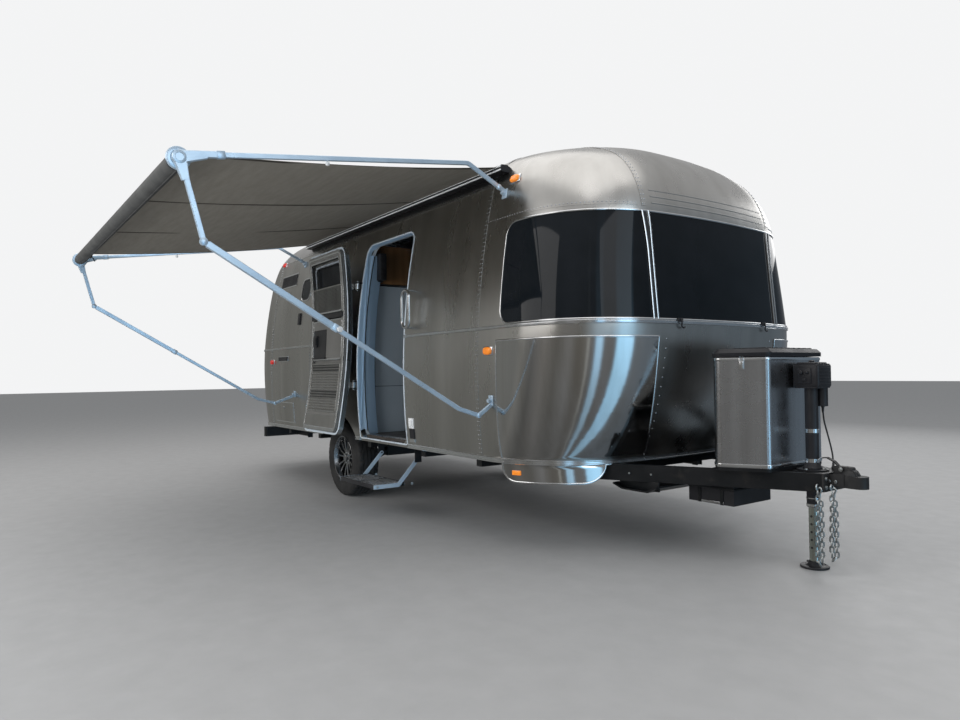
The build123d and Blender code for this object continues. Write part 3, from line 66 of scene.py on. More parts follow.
# Camera: place, view direction and lens found from the photograph
CAMERA_AT = (2.169, -3.903, 1.147)
CAMERA_YAW, CAMERA_PITCH, CAMERA_ROLL = (math.radians(a) for a in (35.46, 1.05, -0.70))
FOCAL_MM = 26.01


def make_camera():
    data = bpy.data.cameras.new("camera")
    data.lens = FOCAL_MM
    data.sensor_width = 36.0
    data.clip_start = 0.05
    data.clip_end = 200.0
    cam = bpy.data.objects.new("camera", data)
    bpy.context.scene.collection.objects.link(cam)
    forward = Vector((
        -math.cos(CAMERA_YAW) * math.cos(CAMERA_PITCH),
        math.sin(CAMERA_YAW) * math.cos(CAMERA_PITCH),
        math.sin(CAMERA_PITCH),
    ))
    right = forward.cross(Vector((0, 0, 1))).normalized()
    up = right.cross(forward)
    c, s = math.cos(CAMERA_ROLL), math.sin(CAMERA_ROLL)
    right, up = c * right + s * up, c * up - s * right
    turn = Matrix((right, up, -forward)).transposed().to_4x4()
    cam.matrix_world = Matrix.Translation(CAMERA_AT) @ turn
    bpy.context.scene.camera = cam


make_camera()

# The shell's form, with the CAD model's sizes and arcs
HALF_WIDTH, LENGTH, FRONT_X = 1.220, 5.990, -0.560
REAR_X, MIDDLE_X = FRONT_X - LENGTH, FRONT_X - LENGTH / 2
WALL_FOOT, ROOF_TOP, WALL = 0.560, 2.780, 0.045
CORNER, BOW = 0.600, 5.000
BULGE, BULGE_Z, SHOULDER, CROWN, RIDGE = 5.200, 1.150, 0.400, 3.000, 35.0
FRONT_UNDERCUT, REAR_UNDERCUT = 1.260, 6.000
NOSE_Z, GLASS_TOP, FRONT_LEAN, REAR_LEAN = 1.450, 2.121, 0.060, 0.050
SKIRT_TOP = 0.590
DOME_POWER, DOME_SHARE = 4.4, 0.97
FRONT_SEAM, REAR_SEAM, ROOF_SEAM = FRONT_X - 1.080, REAR_X + 0.800, ROOF_TOP - 0.340
SIDE_X, CROWN_Z = HALF_WIDTH - BULGE, ROOF_TOP - CROWN


def shoulder_centre():
    gap = math.hypot(SIDE_X, CROWN_Z - BULGE_Z)
    near, far = BULGE - SHOULDER, CROWN - SHOULDER
    along = (near * near - far * far + gap * gap) / (2 * gap)
    across = math.sqrt(near * near - along * along)
    ux, uz = -SIDE_X / gap, (CROWN_Z - BULGE_Z) / gap
    return SIDE_X + along * ux - across * uz, BULGE_Z + along * uz + across * ux


SHOULDER_X, SHOULDER_Z = shoulder_centre()
LOW_SHARE = (SHOULDER_Z - BULGE_Z) / math.hypot(SHOULDER_X - SIDE_X, SHOULDER_Z - BULGE_Z)
HIGH_SHARE = (SHOULDER_Z - CROWN_Z) / math.hypot(SHOULDER_X, SHOULDER_Z - CROWN_Z)


def half_width(z, inset=0.0):
    """Half width of the shell at a height, set in by inset."""
    arc = SHOULDER - inset
    if z < SHOULDER_Z + LOW_SHARE * arc:
        return SIDE_X + math.sqrt((BULGE - inset) ** 2 - (z - BULGE_Z) ** 2)
    if z < SHOULDER_Z + HIGH_SHARE * arc:
        return SHOULDER_X + math.sqrt(arc * arc - (z - SHOULDER_Z) ** 2)
    return math.sqrt(max((CROWN - inset) ** 2 - (z - CROWN_Z) ** 2, 1e-8))


def end_reach(z, inset, lean, undercut):
    """Distance of an end from the middle of the body at a height."""
    reach = LENGTH / 2
    if z < NOSE_Z:
        rise = max(z, SKIRT_TOP) - NOSE_Z
        return reach - undercut + math.sqrt(undercut * undercut - rise * rise) - inset
    slope = math.atan2(lean, GLASS_TOP - NOSE_Z)
    px, pz = reach - lean, GLASS_TOP
    nx, nz = math.cos(slope), math.sin(slope)
    kz = ROOF_TOP - RIDGE
    r = (RIDGE ** 2 - px ** 2 - (pz - kz) ** 2) / (2 * (RIDGE - nx * px - nz * (pz - kz)))
    cx, cz = px - r * nx, pz - r * nz
    if z < cz + (r - inset) * nz:
        return reach - lean * (z - NOSE_Z) / (GLASS_TOP - NOSE_Z) - inset / nx
    if z < cz + (cz - kz) / math.hypot(cx, cz - kz) * (r - inset):
        return cx + math.sqrt((r - inset) ** 2 - (z - cz) ** 2)
    return math.sqrt(max((RIDGE - inset) ** 2 - (z - kz) ** 2, 1e-8))


@functools.lru_cache(maxsize=None)
def plan(z, inset=0.0):
    """The section at a height: half width, corner radius, bow angle, end places and corner places."""
    w = half_width(z, inset)
    front = MIDDLE_X + end_reach(z, inset, FRONT_LEAN, FRONT_UNDERCUT)
    rear = MIDDLE_X - end_reach(z, inset, REAR_LEAN, REAR_UNDERCUT)
    blend = max(0.0, (z - GLASS_TOP) / (ROOF_TOP - GLASS_TOP)) ** DOME_POWER
    corner = min((CORNER - inset) * (1 - blend) + w * blend, DOME_SHARE * w)
    run = math.sqrt((BOW - corner) ** 2 - (w - corner) ** 2)
    return w, corner, math.atan2(w - corner, run), front, rear, front - BOW + run, rear + BOW - run


def outline(q, z, out=0.0):
    """Point of the shell's outline. q runs 0 to 10 from the middle of the front over the right side
    and the rear: front bow to 1, corner to 2, side to 3, corner to 4, rear bow to 5, and back."""
    w, corner, turn, front, rear, fx, rx = plan(round(z, 6), round(-out, 6))
    q %= 10
    s, m = (RIGHT, q) if q <= 5 else (LEFT, 10 - q)
    if m <= 1:
        x, y = front - BOW + BOW * math.cos(m * turn), BOW * math.sin(m * turn)
    elif m <= 2:
        a = turn + (m - 1) * (math.pi / 2 - turn)
        x, y = fx + corner * math.cos(a), w - corner + corner * math.sin(a)
    elif m <= 3:
        x, y = fx + (m - 2) * (rx - fx), w
    elif m <= 4:
        a = math.pi / 2 - (m - 3) * (math.pi / 2 - turn)
        x, y = rx - corner * math.cos(a), w - corner + corner * math.sin(a)
    else:
        a = (5 - m) * turn
        x, y = rear + BOW - BOW * math.cos(a), BOW * math.sin(a)
    return Vector((x, s * y, z))


def q_side(x, z, s=RIGHT):
    """The outline's q where a side passes x."""
    _, _, _, _, _, fx, rx = plan(round(z, 6))
    m = 2 + (fx - x) / (fx - rx)
    return m if s == RIGHT else 10 - m


def q_front(y, z):
    """The outline's q where the front bow passes y."""
    turn = plan(round(z, 6))[2]
    m = math.asin(abs(y) / BOW) / turn
    return m if y <= 0 else 10 - m


def end_point(y, z, end):
    """Point of the outline at y on the front (end 1) or the rear (end -1)."""
    w, corner, turn, front, rear, fx, rx = plan(round(z, 6))
    if abs(y) <= BOW * math.sin(turn):
        run = BOW - math.sqrt(BOW ** 2 - y * y)
        x = front - run if end > 0 else rear + run
    else:
        run = math.sqrt(max(corner ** 2 - (abs(y) - w + corner) ** 2, 0.0))
        x = fx + run if end > 0 else rx - run
    return Vector((x, y, z))


def field(x, y, z, inset=0.0):
    """Distance of a point outside the section at its own height."""
    w, corner, turn, front, rear, fx, rx = plan(z, inset)
    y = abs(y)
    if rx <= x <= fx:
        return y - w
    cx, bow_x = (fx, front - BOW) if x > fx else (rx, rear + BOW)
    dx, dy = abs(x - cx), y - (w - corner)
    if dy >= 0 and math.atan2(dy, dx) >= turn:
        return math.hypot(dx, dy) - corner
    return math.hypot(x - bow_x, y) - BOW


def slope_at(p, inset=0.0):
    """The field and its gradient at a point near the shell's form."""
    h = 2e-4
    x, y, z = p[0], p[1], min(p[2], ROOF_TOP - inset - 2 * h)
    return field(x, y, z, inset), Vector((
        field(x + h, y, z, inset) - field(x - h, y, z, inset),
        field(x, y + h, z, inset) - field(x, y - h, z, inset),
        field(x, y, z + h, inset) - field(x, y, z - h, inset),
    )) / (2 * h)


def normal_at(p, inset=0.0):
    """Outward normal of the shell's form at a point near it."""
    return slope_at(p, inset)[1].normalized()


def to_shell(p, out=0.0):
    """The point of the outer face nearest to p, moved out along its normal."""
    p = Vector(p)
    for _ in range(12):
        out_by, g = slope_at(p)
        step = g * (out_by / g.length_squared)
        if step.length > 0.04:
            step *= 0.04 / step.length
        p -= step
        if step.length < 1e-5:
            break
    return p + normal_at(p) * out


def fillet_path(points, radius, steps=6):
    """A bent line with its corners rounded by arcs."""
    points = [Vector(p) for p in points]
    out = [points[0]]
    for a, b, c in zip(points, points[1:], points[2:]):
        u, v = (a - b).normalized(), (c - b).normalized()
        half = u.angle(v) / 2
        reach = min(radius / math.tan(half), 0.49 * (a - b).length, 0.49 * (c - b).length)
        r = reach * math.tan(half)
        centre = b + (u + v).normalized() * (r / math.sin(half))
        start, end = b + u * reach - centre, b + v * reach - centre
        sweep = start.angle(end)
        for i in range(steps + 1):
            t = i / steps
            k = math.sin(sweep)
            if k < 1e-6:
                out.append(b.copy())
                break
            out.append(centre + start * (math.sin((1 - t) * sweep) / k) + end * (math.sin(t * sweep) / k))
    return out + [points[-1]]


class Form:
    """Collects faces of one piece."""

    def __init__(self):
        self.verts, self.faces, self.mats = [], [], []

    def add(self, verts, faces, mat=0):
        base = len(self.verts)
        self.verts += [tuple(v) for v in verts]
        self.faces += [tuple(base + i for i in f) for f in faces]
        self.mats += [mat] * len(faces)
        return self

    def grid(self, rows, mat=0, wrap=False, ring=False, caps=False):
        """Quads over rows of points; wrap closes each row on itself, ring joins the last row to the first."""
        n = len(rows[0])
        faces = []
        for i in range(len(rows) if ring else len(rows) - 1):
            a, b = i * n, ((i + 1) % len(rows)) * n
            for j in range(n if wrap else n - 1):
                k = (j + 1) % n
                faces.append((a + j, a + k, b + k, b + j))
        if caps:
            faces.append(tuple(range(n - 1, -1, -1)))
            faces.append(tuple((len(rows) - 1) * n + j for j in range(n)))
        return self.add([p for row in rows for p in row], faces, mat)

    def box(self, x, y, z, bevel=0.0, mat=0, at=None, steps=2):
        """A box from its (low, high) pairs with rounded edges, placed by a matrix."""
        bm = bmesh.new()
        bmesh.ops.create_cube(bm, size=1.0)
        scale = Vector([high - low for low, high in (x, y, z)])
        mid = Vector([(low + high) / 2 for low, high in (x, y, z)])
        for v in bm.verts:
            v.co = Vector([c * k for c, k in zip(v.co, scale)]) + mid
        if bevel:
            bmesh.ops.bevel(bm, geom=bm.edges[:], offset=min(bevel, 0.49 * min(scale)), segments=steps,
                            affect="EDGES", profile=0.5)
        if at is not None:
            bm.transform(at)
        bm.verts.index_update()
        self.add([v.co for v in bm.verts], [[v.index for v in f.verts] for f in bm.faces], mat)
        bm.free()
        return self

    def tube(self, points, radius, sides=12, mat=0, wrap=False, caps=True, flat=1.0, up=None):
        """A round bar along a path; radius may be a list; flat squashes it across up."""
        points = [Vector(p) for p in points]
        n = len(points)
        radii = radius if isinstance(radius, (list, tuple)) else [radius] * n
        rows, side = [], None
        for i, p in enumerate(points):
            a = points[i - 1] if i or wrap else points[0]
            b = points[(i + 1) % n] if i < n - 1 or wrap else points[-1]
            t = (b - a).normalized()
            if up is not None:
                side = t.cross(Vector(up)).normalized()
            elif side is None:
                side = t.orthogonal().normalized()
            else:
                side = (side - t * side.dot(t)).normalized()
            lift = side.cross(t)
            rows.append([
                p + (side * math.cos(k) + lift * (math.sin(k) * flat)) * radii[i]
                for k in (2 * math.pi * j / sides for j in range(sides))
            ])
        return self.grid(rows, mat, wrap=True, ring=wrap, caps=caps and not wrap)

    def sweep(self, points, profile, normals, mat=0, closed=False, caps=True, open_profile=False):
        """A profile of (across, out) points carried along a path whose outward normals are given."""
        n = len(points)
        rows = []
        for i, p in enumerate(points):
            a = points[i - 1] if i or closed else points[0]
            b = points[(i + 1) % n] if i < n - 1 or closed else points[-1]
            t = (Vector(b) - Vector(a)).normalized()
            up = Vector(normals[i])
            side = t.cross(up).normalized()
            up = side.cross(t)
            rows.append([Vector(p) + side * u + up * v for u, v in profile])
        return self.grid(rows, mat, wrap=not open_profile, ring=closed,
                         caps=caps and not closed and not open_profile)

    def lathe(self, profile, origin, axis, steps=32, mat=0, caps=True, start=None):
        """A profile of (radius, along) points turned about an axis."""
        axis = Vector(axis).normalized()
        side = Vector(start) if start else axis.orthogonal().normalized()
        other = axis.cross(side)
        rows = []
        for r, h in profile:
            rows.append([
                Vector(origin) + axis * h + (side * math.cos(k) + other * math.sin(k)) * max(r, 1e-5)
                for k in (2 * math.pi * j / steps for j in range(steps))
            ])
        return self.grid(rows, mat, wrap=True, caps=caps)

    def make(self, name, materials, body="body", slot=None, replaces=(), sharp=40.0, flip=False):
        """The finished piece: its mesh, materials, body and the nodes it stands for; slot is not used."""
        mesh = bpy.data.meshes.new(name)
        mesh.from_pydata(self.verts, [], self.faces)
        for m in materials if isinstance(materials, (list, tuple)) else [materials]:
            mesh.materials.append(m)
        mesh.polygons.foreach_set("material_index", self.mats)
        mesh.polygons.foreach_set("use_smooth", [True] * len(mesh.polygons))
        bm = bmesh.new()
        bm.from_mesh(mesh)
        bmesh.ops.remove_doubles(bm, verts=bm.verts, dist=2e-6)
        bmesh.ops.recalc_face_normals(bm, faces=bm.faces)
        if flip:
            bmesh.ops.reverse_faces(bm, faces=bm.faces)
        bm.to_mesh(mesh)
        bm.free()
        mesh.set_sharp_from_angle(angle=math.radians(sharp))
        return place(bpy.data.objects.new(name, mesh), body, replaces)


def place(obj, body="body", replaces=()):
    """Links a piece, rides it on its body and hides the nodes it stands for."""
    if not obj.users_collection:
        bpy.context.scene.collection.objects.link(obj)
    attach(obj, body)
    if replaces:
        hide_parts(*replaces)
    return obj


# Materials
def node(tree, kind, inputs=None, **settings):
    """A shader node with its settings and input values."""
    n = tree.nodes.new(kind)
    for key, value in settings.items():
        setattr(n, key, value)
    for key, value in (inputs or {}).items():
        if isinstance(value, bpy.types.NodeSocket):
            tree.links.new(value, n.inputs[key])
        else:
            n.inputs[key].default_value = value
    return n


def noise(tree, coords, scale, detail=4.0, rough=0.55, stretch=(1, 1, 1)):
    """Noise at a scale per metre, stretched along the axes."""
    mapped = node(tree, "ShaderNodeMapping", {"Vector": coords, "Scale": stretch}).outputs[0]
    return node(tree, "ShaderNodeTexNoise", {"Vector": mapped, "Scale": scale, "Detail": detail,
                                             "Roughness": rough}).outputs[0]


def finish(name, colours, rough, metal=0.0, bumps=(), colour_noise=(6.0, (1, 1, 1)),
           rough_noise=(9.0, (1, 1, 1)), dirt=None, **sockets):
    """A material: colour between two tones by noise, roughness between two values by noise, bumps of
    (scale, stretch, distance in metres, strength), and constant sockets of the shader."""
    mat = bpy.data.materials.new(name)
    mat.use_nodes = True
    tree = mat.node_tree
    shader = tree.nodes["Principled BSDF"]
    coords = node(tree, "ShaderNodeTexCoord").outputs["Object"]
    tone = noise(tree, coords, colour_noise[0], stretch=colour_noise[1])
    ramp = node(tree, "ShaderNodeMapRange", {"Value": tone, "From Min": 0.3, "From Max": 0.7}).outputs[0]
    mix = node(tree, "ShaderNodeMix", {"Factor": ramp}, data_type="RGBA")
    mix.inputs["A"].default_value = (*colours[0], 1)
    mix.inputs["B"].default_value = (*colours[1], 1)
    colour = mix.outputs["Result"]
    if dirt:
        grime, scale, low, high = dirt
        spot = noise(tree, coords, scale, 6.0, 0.65)
        mask = node(tree, "ShaderNodeMapRange",
                    {"Value": spot, "From Min": low, "From Max": high}).outputs[0]
        layer = node(tree, "ShaderNodeMix", {"Factor": mask, "A": colour}, data_type="RGBA")
        layer.inputs["B"].default_value = (*grime, 1)
        tree.links.new(colour, layer.inputs["A"])
        colour = layer.outputs["Result"]
    tree.links.new(colour, shader.inputs["Base Color"])
    patch = noise(tree, coords, rough_noise[0], stretch=rough_noise[1])
    r = node(tree, "ShaderNodeMapRange",
             {"Value": patch, "From Min": 0.3, "From Max": 0.7, "To Min": rough[0],
                                          "To Max": rough[1]}).outputs[0]
    tree.links.new(r, shader.inputs["Roughness"])
    shader.inputs["Metallic"].default_value = metal
    previous = None
    for scale, stretch, distance, strength in bumps:
        height = noise(tree, coords, scale, stretch=stretch)
        bump = node(tree, "ShaderNodeBump", {"Strength": strength, "Distance": distance, "Height": height})
        if previous:
            tree.links.new(previous, bump.inputs["Normal"])
        previous = bump.outputs[0]
    if previous:
        tree.links.new(previous, shader.inputs["Normal"])
    for key, value in sockets.items():
        shader.inputs[key.replace("_", " ")].default_value = value
    return mat


ALUMINIUM = finish("satin_aluminium", ((0.42, 0.41, 0.39), (0.54, 0.53, 0.51)), (0.24, 0.36), metal=1.0,
                   colour_noise=(4.0, (1, 1, 0.12)), rough_noise=(5.0, (1, 1, 0.3)),
                   bumps=((1.6, (1, 1, 0.45), 0.004, 0.35), (6.0, (1, 1, 0.12), 0.0008, 0.30)))
DOME = finish("dome_aluminium", ((0.52, 0.51, 0.50), (0.60, 0.59, 0.58)), (0.28, 0.38), metal=1.0,
              colour_noise=(3.0, (1, 1, 0.4)), rough_noise=(5.0, (1, 1, 1)),
              bumps=((2.2, (1, 1, 1), 0.003, 0.25),))
LINING = finish("lining", ((0.36, 0.38, 0.41), (0.40, 0.42, 0.46)), (0.5, 0.6),
                bumps=((300, (1, 1, 1), 0.0002, 0.2),))
POLISHED = finish("polished_stainless", ((0.50, 0.49, 0.47), (0.62, 0.62, 0.62)), (0.08, 0.14), metal=1.0,
                  colour_noise=(9.0, (1, 1, 0.03)), rough_noise=(6.0, (1, 1, 0.05)),
                  bumps=((1.6, (1, 1, 0.1), 0.003, 0.25), (9.0, (1, 1, 0.03), 0.0006, 0.25)))
BRIGHT = finish("bright_trim", ((0.68, 0.69, 0.70), (0.76, 0.77, 0.78)), (0.14, 0.22), metal=1.0,
                bumps=((40, (1, 1, 1), 0.0002, 0.2),))
BRUSHED = finish("brushed_aluminium", ((0.42, 0.42, 0.43), (0.56, 0.57, 0.59)), (0.22, 0.32), metal=1.0,
                 colour_noise=(14.0, (1, 1, 0.03)), bumps=((2.0, (1, 1, 0.2), 0.002, 0.12),))
DOOR_GREY = finish("door_lining_grey", ((0.155, 0.150, 0.140), (0.185, 0.180, 0.170)), (0.32, 0.45),
                   metal=0.3,
                   colour_noise=(5.0, (1, 1, 0.2)), bumps=((4.0, (1, 1, 0.4), 0.001, 0.2),))
LOUVRE = finish("louvre_aluminium", ((0.30, 0.295, 0.28), (0.38, 0.375, 0.36)), (0.28, 0.40), metal=0.9,
                colour_noise=(9.0, (1, 1, 0.4)), bumps=((30.0, (1, 1, 1), 0.0004, 0.2),))
GLASS = finish("tinted_glass", ((0.006, 0.008, 0.010), (0.009, 0.011, 0.014)), (0.03, 0.06),
               bumps=((1.5, (1, 1, 1), 0.0008, 0.2),), IOR=1.45, Specular_IOR_Level=0.22)
GASKET = finish("black_rubber", ((0.010, 0.010, 0.011), (0.022, 0.022, 0.024)), (0.5, 0.7),
                bumps=((160, (1, 1, 1), 0.0002, 0.25),))
BLACK = finish("black_plastic", ((0.012, 0.012, 0.014), (0.024, 0.024, 0.027)), (0.34, 0.48),
               bumps=((420, (1, 1, 1), 0.00012, 0.35),), Specular_IOR_Level=0.3)
CHASSIS = finish("chassis_paint", ((0.006, 0.007, 0.008), (0.013, 0.013, 0.014)), (0.35, 0.50),
                 dirt=((0.040, 0.036, 0.031), 7.0, 0.60, 0.85), bumps=((60, (1, 1, 1), 0.0003, 0.35),),
                 Specular_IOR_Level=0.25)
IRON = finish("cast_iron", ((0.016, 0.016, 0.017), (0.035, 0.034, 0.034)), (0.42, 0.6),
              dirt=((0.07, 0.065, 0.06), 14.0, 0.62, 0.85), bumps=((150, (1, 1, 1), 0.0006, 0.5),),
              Specular_IOR_Level=0.3)
ZINC = finish("zinc_steel", ((0.42, 0.44, 0.44), (0.58, 0.60, 0.60)), (0.24, 0.40), metal=1.0,
              colour_noise=(30, (1, 1, 1)), bumps=((90, (1, 1, 1), 0.0003, 0.35),))
LEG_STEEL = finish("leg_steel", ((0.40, 0.43, 0.40), (0.52, 0.55, 0.50)), (0.18, 0.30), metal=1.0,
                   colour_noise=(14, (1, 1, 0.5)), bumps=((90, (1, 1, 0.2), 0.0002, 0.3),))
RUBBER = finish("tyre_rubber", ((0.014, 0.014, 0.015), (0.030, 0.029, 0.028)), (0.6, 0.8),
                dirt=((0.06, 0.055, 0.05), 9.0, 0.60, 0.85), bumps=((140, (1, 1, 1), 0.0005, 0.4),),
                Specular_IOR_Level=0.3)
ALLOY = finish("wheel_alloy", ((0.26, 0.265, 0.275), (0.34, 0.345, 0.355)), (0.20, 0.32), metal=1.0,
               dirt=((0.08, 0.07, 0.06), 11.0, 0.66, 0.9), bumps=((120, (1, 1, 1), 0.0002, 0.25),))
DARK_STEEL = finish("brake_steel", ((0.05, 0.045, 0.04), (0.10, 0.09, 0.08)), (0.45, 0.65), metal=0.6,
                    bumps=((120, (1, 1, 1), 0.0006, 0.5),))
ARM = finish("arm_aluminium", ((0.42, 0.53, 0.64), (0.52, 0.63, 0.73)), (0.26, 0.36), metal=0.5,
             bumps=((40, (1, 0.2, 0.2), 0.0001, 0.2),))
PALE = finish("pale_trim", ((0.60, 0.67, 0.74), (0.68, 0.75, 0.81)), (0.25, 0.35), metal=0.3,
              bumps=((40, (1, 1, 1), 0.0002, 0.2),))
# The jambs' pale blue is painted: a reflection of daylight, and light that makes up for the doorway's shade
SKY_TINTED_JAMB = finish("jamb_painted_daylight", ((0.38, 0.57, 0.77), (0.48, 0.67, 0.87)), (0.30, 0.42), metal=0.2,
              colour_noise=(6.0, (1, 1, 0.1)), bumps=((12, (1, 1, 0.1), 0.0004, 0.2),))
CLOTH = finish("awning_cloth", ((0.240, 0.222, 0.190), (0.285, 0.265, 0.228)), (0.8, 0.95),
               colour_noise=(26, (0.15, 1, 1)), rough_noise=(30, (1, 1, 1)),
               bumps=((900, (1, 0.25, 0.25), 0.0002, 0.5), (900, (0.25, 1, 1), 0.0002, 0.5),
                      (3.2, (1, 0.4, 0.4), 0.004, 0.4)))
ROLLER = finish("roller_cloth", ((0.055, 0.055, 0.054), (0.080, 0.080, 0.078)), (0.50, 0.68),
                bumps=((500, (0.2, 1, 1), 0.0002, 0.4), (6, (0.3, 1, 1), 0.002, 0.3)))
SEAM = finish("cloth_seam", ((0.048, 0.039, 0.031), (0.062, 0.051, 0.041)), (0.8, 0.9),
              bumps=((700, (1, 1, 1), 0.0002, 0.5),))
WOOD = finish("cabinet_wood", ((0.160, 0.084, 0.036), (0.230, 0.125, 0.058)), (0.30, 0.42),
              colour_noise=(18, (1, 1, 0.08)), bumps=((60, (1, 1, 0.08), 0.0002, 0.3),))
PANEL = finish("cabinet_panel", ((0.38, 0.44, 0.49), (0.44, 0.50, 0.55)), (0.32, 0.45),
               colour_noise=(2.2, (1, 1, 0.6)), bumps=((5, (1, 1, 1), 0.0006, 0.2),))
FLOORING = finish("flooring", ((0.035, 0.030, 0.027), (0.060, 0.050, 0.043)), (0.35, 0.5),
                  colour_noise=(24, (0.1, 1, 1)), bumps=((60, (0.1, 1, 1), 0.0003, 0.3),))
WHITE = finish("white_plastic", ((0.66, 0.67, 0.68), (0.74, 0.75, 0.75)), (0.30, 0.42),
               bumps=((260, (1, 1, 1), 0.0001, 0.3),))
STEP_ALUMINIUM = finish("step_aluminium", ((0.46, 0.57, 0.68), (0.56, 0.67, 0.77)), (0.28, 0.42), metal=0.4,
                        bumps=((60, (1, 1, 1), 0.0003, 0.3),))
# A faint emission gives the amber and red lenses a painted glow, the guards' reflectors too
AMBER = finish("amber_lens", ((0.80, 0.20, 0.015), (0.95, 0.30, 0.03)), (0.12, 0.2),
               bumps=((60, (1, 1, 1), 0.001, 0.3),),
               Coat_Weight=0.6, Emission_Color=(1.0, 0.30, 0.02, 1.0), Emission_Strength=0.12)
RED = finish("red_lens", ((0.45, 0.010, 0.008), (0.62, 0.020, 0.014)), (0.12, 0.2),
             bumps=((60, (1, 1, 1), 0.001, 0.3),),
             Coat_Weight=0.6, Emission_Color=(1.0, 0.03, 0.02, 1.0), Emission_Strength=0.12)
BOTTLE = finish("bottle_paint", ((0.60, 0.61, 0.60), (0.70, 0.71, 0.70)), (0.32, 0.45),
                bumps=((120, (1, 1, 1), 0.0002, 0.3),))
LINER = finish("arch_liner", ((0.012, 0.012, 0.012), (0.022, 0.021, 0.020)), (0.7, 0.9),
               dirt=((0.06, 0.05, 0.04), 8.0, 0.55, 0.8), bumps=((80, (1, 1, 1), 0.001, 0.5),))
# Black for dark parts, and painted shade: the sheet behind the screen door's louvres and the discs that stand
# for the jack leg's holes
BLACK_AND_PAINTED_SHADE = finish("black_and_painted_shade", ((0.010, 0.010, 0.011), (0.018, 0.018, 0.020)), (0.4, 0.5),
                       bumps=((80, (1, 1, 1), 0.0003, 0.3),))

# The camera's cord first: the jack's cable, from the gland of the motor into the drawbar
CABLE_ROUTE = (
    (0.038, 0.054, 0.930), (0.038, 0.054, 0.862), (0.052, 0.068, 0.780), (0.066, 0.084, 0.690),
    (0.072, 0.092, 0.632), (0.072, 0.092, 0.572),
)
CABLE_WIDTH = 0.009


def jack_cable():
    curve = bpy.data.curves.new("jack_cable_cord", "CURVE")
    curve.dimensions = "3D"
    curve.bevel_depth = CABLE_WIDTH / 2
    curve.bevel_resolution = 4
    curve.use_fill_caps = True
    line = curve.splines.new("NURBS")
    line.points.add(len(CABLE_ROUTE) - 1)
    for point, place_at in zip(line.points, CABLE_ROUTE):
        point.co = (*place_at, 1.0)
    line.order_u = 3
    line.use_endpoint_u = True
    line.resolution_u = 16
    curve.materials.append(GASKET)
    cord = bpy.data.objects.new("jack_cable_cord", curve)
    place(cord, "body", ("jack_cable",))
    relief = Form()
    relief.lathe([(0.0055, 0.004), (0.0105, 0.004), (0.0105, -0.004), (0.0080, -0.008), (0.0080, -0.012),
                  (0.0070, -0.016), (0.0070, -0.020), (0.0058, -0.034), (0.0048, -0.040)],
                 CABLE_ROUTE[0], (0, 0, 1), 20)
    relief.lathe([(0.0048, 0.030), (0.0060, 0.026), (0.0075, 0.008), (0.0110, 0.004), (0.0120, -0.004)],
                 CABLE_ROUTE[-1], (0, 0, 1), 20)
    relief = relief.make("jack_cable_relief", GASKET, "body", "cable_rubber")


jack_cable()

# Shell panels
FRONT_GLASS = 0.003     # the wrap of front glass lies this far in
MULLION_Y, MULLION_WIDTH, BELT_Z, SILL_Z = 0.630, 0.044, 1.441, 1.458
PANE_REAR = FRONT_X - 0.830
SIDE_PANES = (
    (-3.180, -2.280, 1.478, 2.060, LEFT), (-5.450, -4.850, 1.478, 2.060, LEFT),
    (-4.970, -4.720, 1.930, 2.165, RIGHT),
)
REAR_PANE = (0.470, 1.500, 2.080)
DOOR = (-3.475, -2.645, 0.585, 2.290)
HATCH = (-5.560, -5.000, 0.720, 1.100)
AXLE_X, ARCH, VENT_X, VENT = -3.951, 0.430, -5.150, 0.205


def prism(loop, axis, low, high):
    """A solid between two planes across an axis: loop gives the other two coordinates."""
    def at(p, k):
        return {"X": (k, p[0], p[1]), "Y": (p[0], k, p[1]), "Z": (p[0], p[1], k)}[axis]
    n = len(loop)
    verts = [at(p, low) for p in loop] + [at(p, high) for p in loop]
    faces = [tuple(range(n))[::-1], tuple(range(n, 2 * n))]
    faces += [(i, (i + 1) % n, n + (i + 1) % n, n + i) for i in range(n)]
    return verts, faces


def rounded(x0, x1, z0, z1, r, steps=8):
    """Corners of a rounded rectangle, anticlockwise from the lower right; r may be four radii."""
    radii = r if isinstance(r, (list, tuple)) else (r,) * 4
    loop = []
    centres = ((x1, z0, 1, 1, -90), (x1, z1, 1, -1, 0), (x0, z1, -1, -1, 90), (x0, z0, -1, 1, 180))
    for (x, z, sx, sz, a0), rad in zip(centres, radii):
        cx, cz = x - sx * rad, z + sz * rad
        if rad < 1e-6:
            loop.append((x, z))
            continue
        for i in range(steps + 1):
            a = math.radians(a0 + 90 * i / steps)
            loop.append((cx + rad * math.cos(a), cz + rad * math.sin(a)))
    return loop


def mesh_object(name, parts):
    """An unlinked-to-body helper solid for the booleans."""
    form = Form()
    for verts, faces in parts:
        form.add(verts, faces)
    mesh = bpy.data.meshes.new(name)
    mesh.from_pydata(form.verts, [], form.faces)
    bm = bmesh.new()
    bm.from_mesh(mesh)
    bmesh.ops.recalc_face_normals(bm, faces=bm.faces)
    bm.to_mesh(mesh)
    bm.free()
    obj = bpy.data.objects.new(name, mesh)
    bpy.context.scene.collection.objects.link(obj)
    return obj


def carve(obj, cutter, operation="DIFFERENCE"):
    """Applies one exact boolean and drops the cutter."""
    mod = obj.modifiers.new("cut", "BOOLEAN")
    mod.operation = operation
    mod.solver = "EXACT"
    mod.use_self = False
    mod.object = cutter
    graph = bpy.context.evaluated_depsgraph_get()
    mesh = bpy.data.meshes.new_from_object(obj.evaluated_get(graph))
    obj.modifiers.clear()
    old = obj.data
    obj.data = mesh
    bpy.data.meshes.remove(old)
    data = cutter.data
    bpy.data.objects.remove(cutter)
    bpy.data.meshes.remove(data)


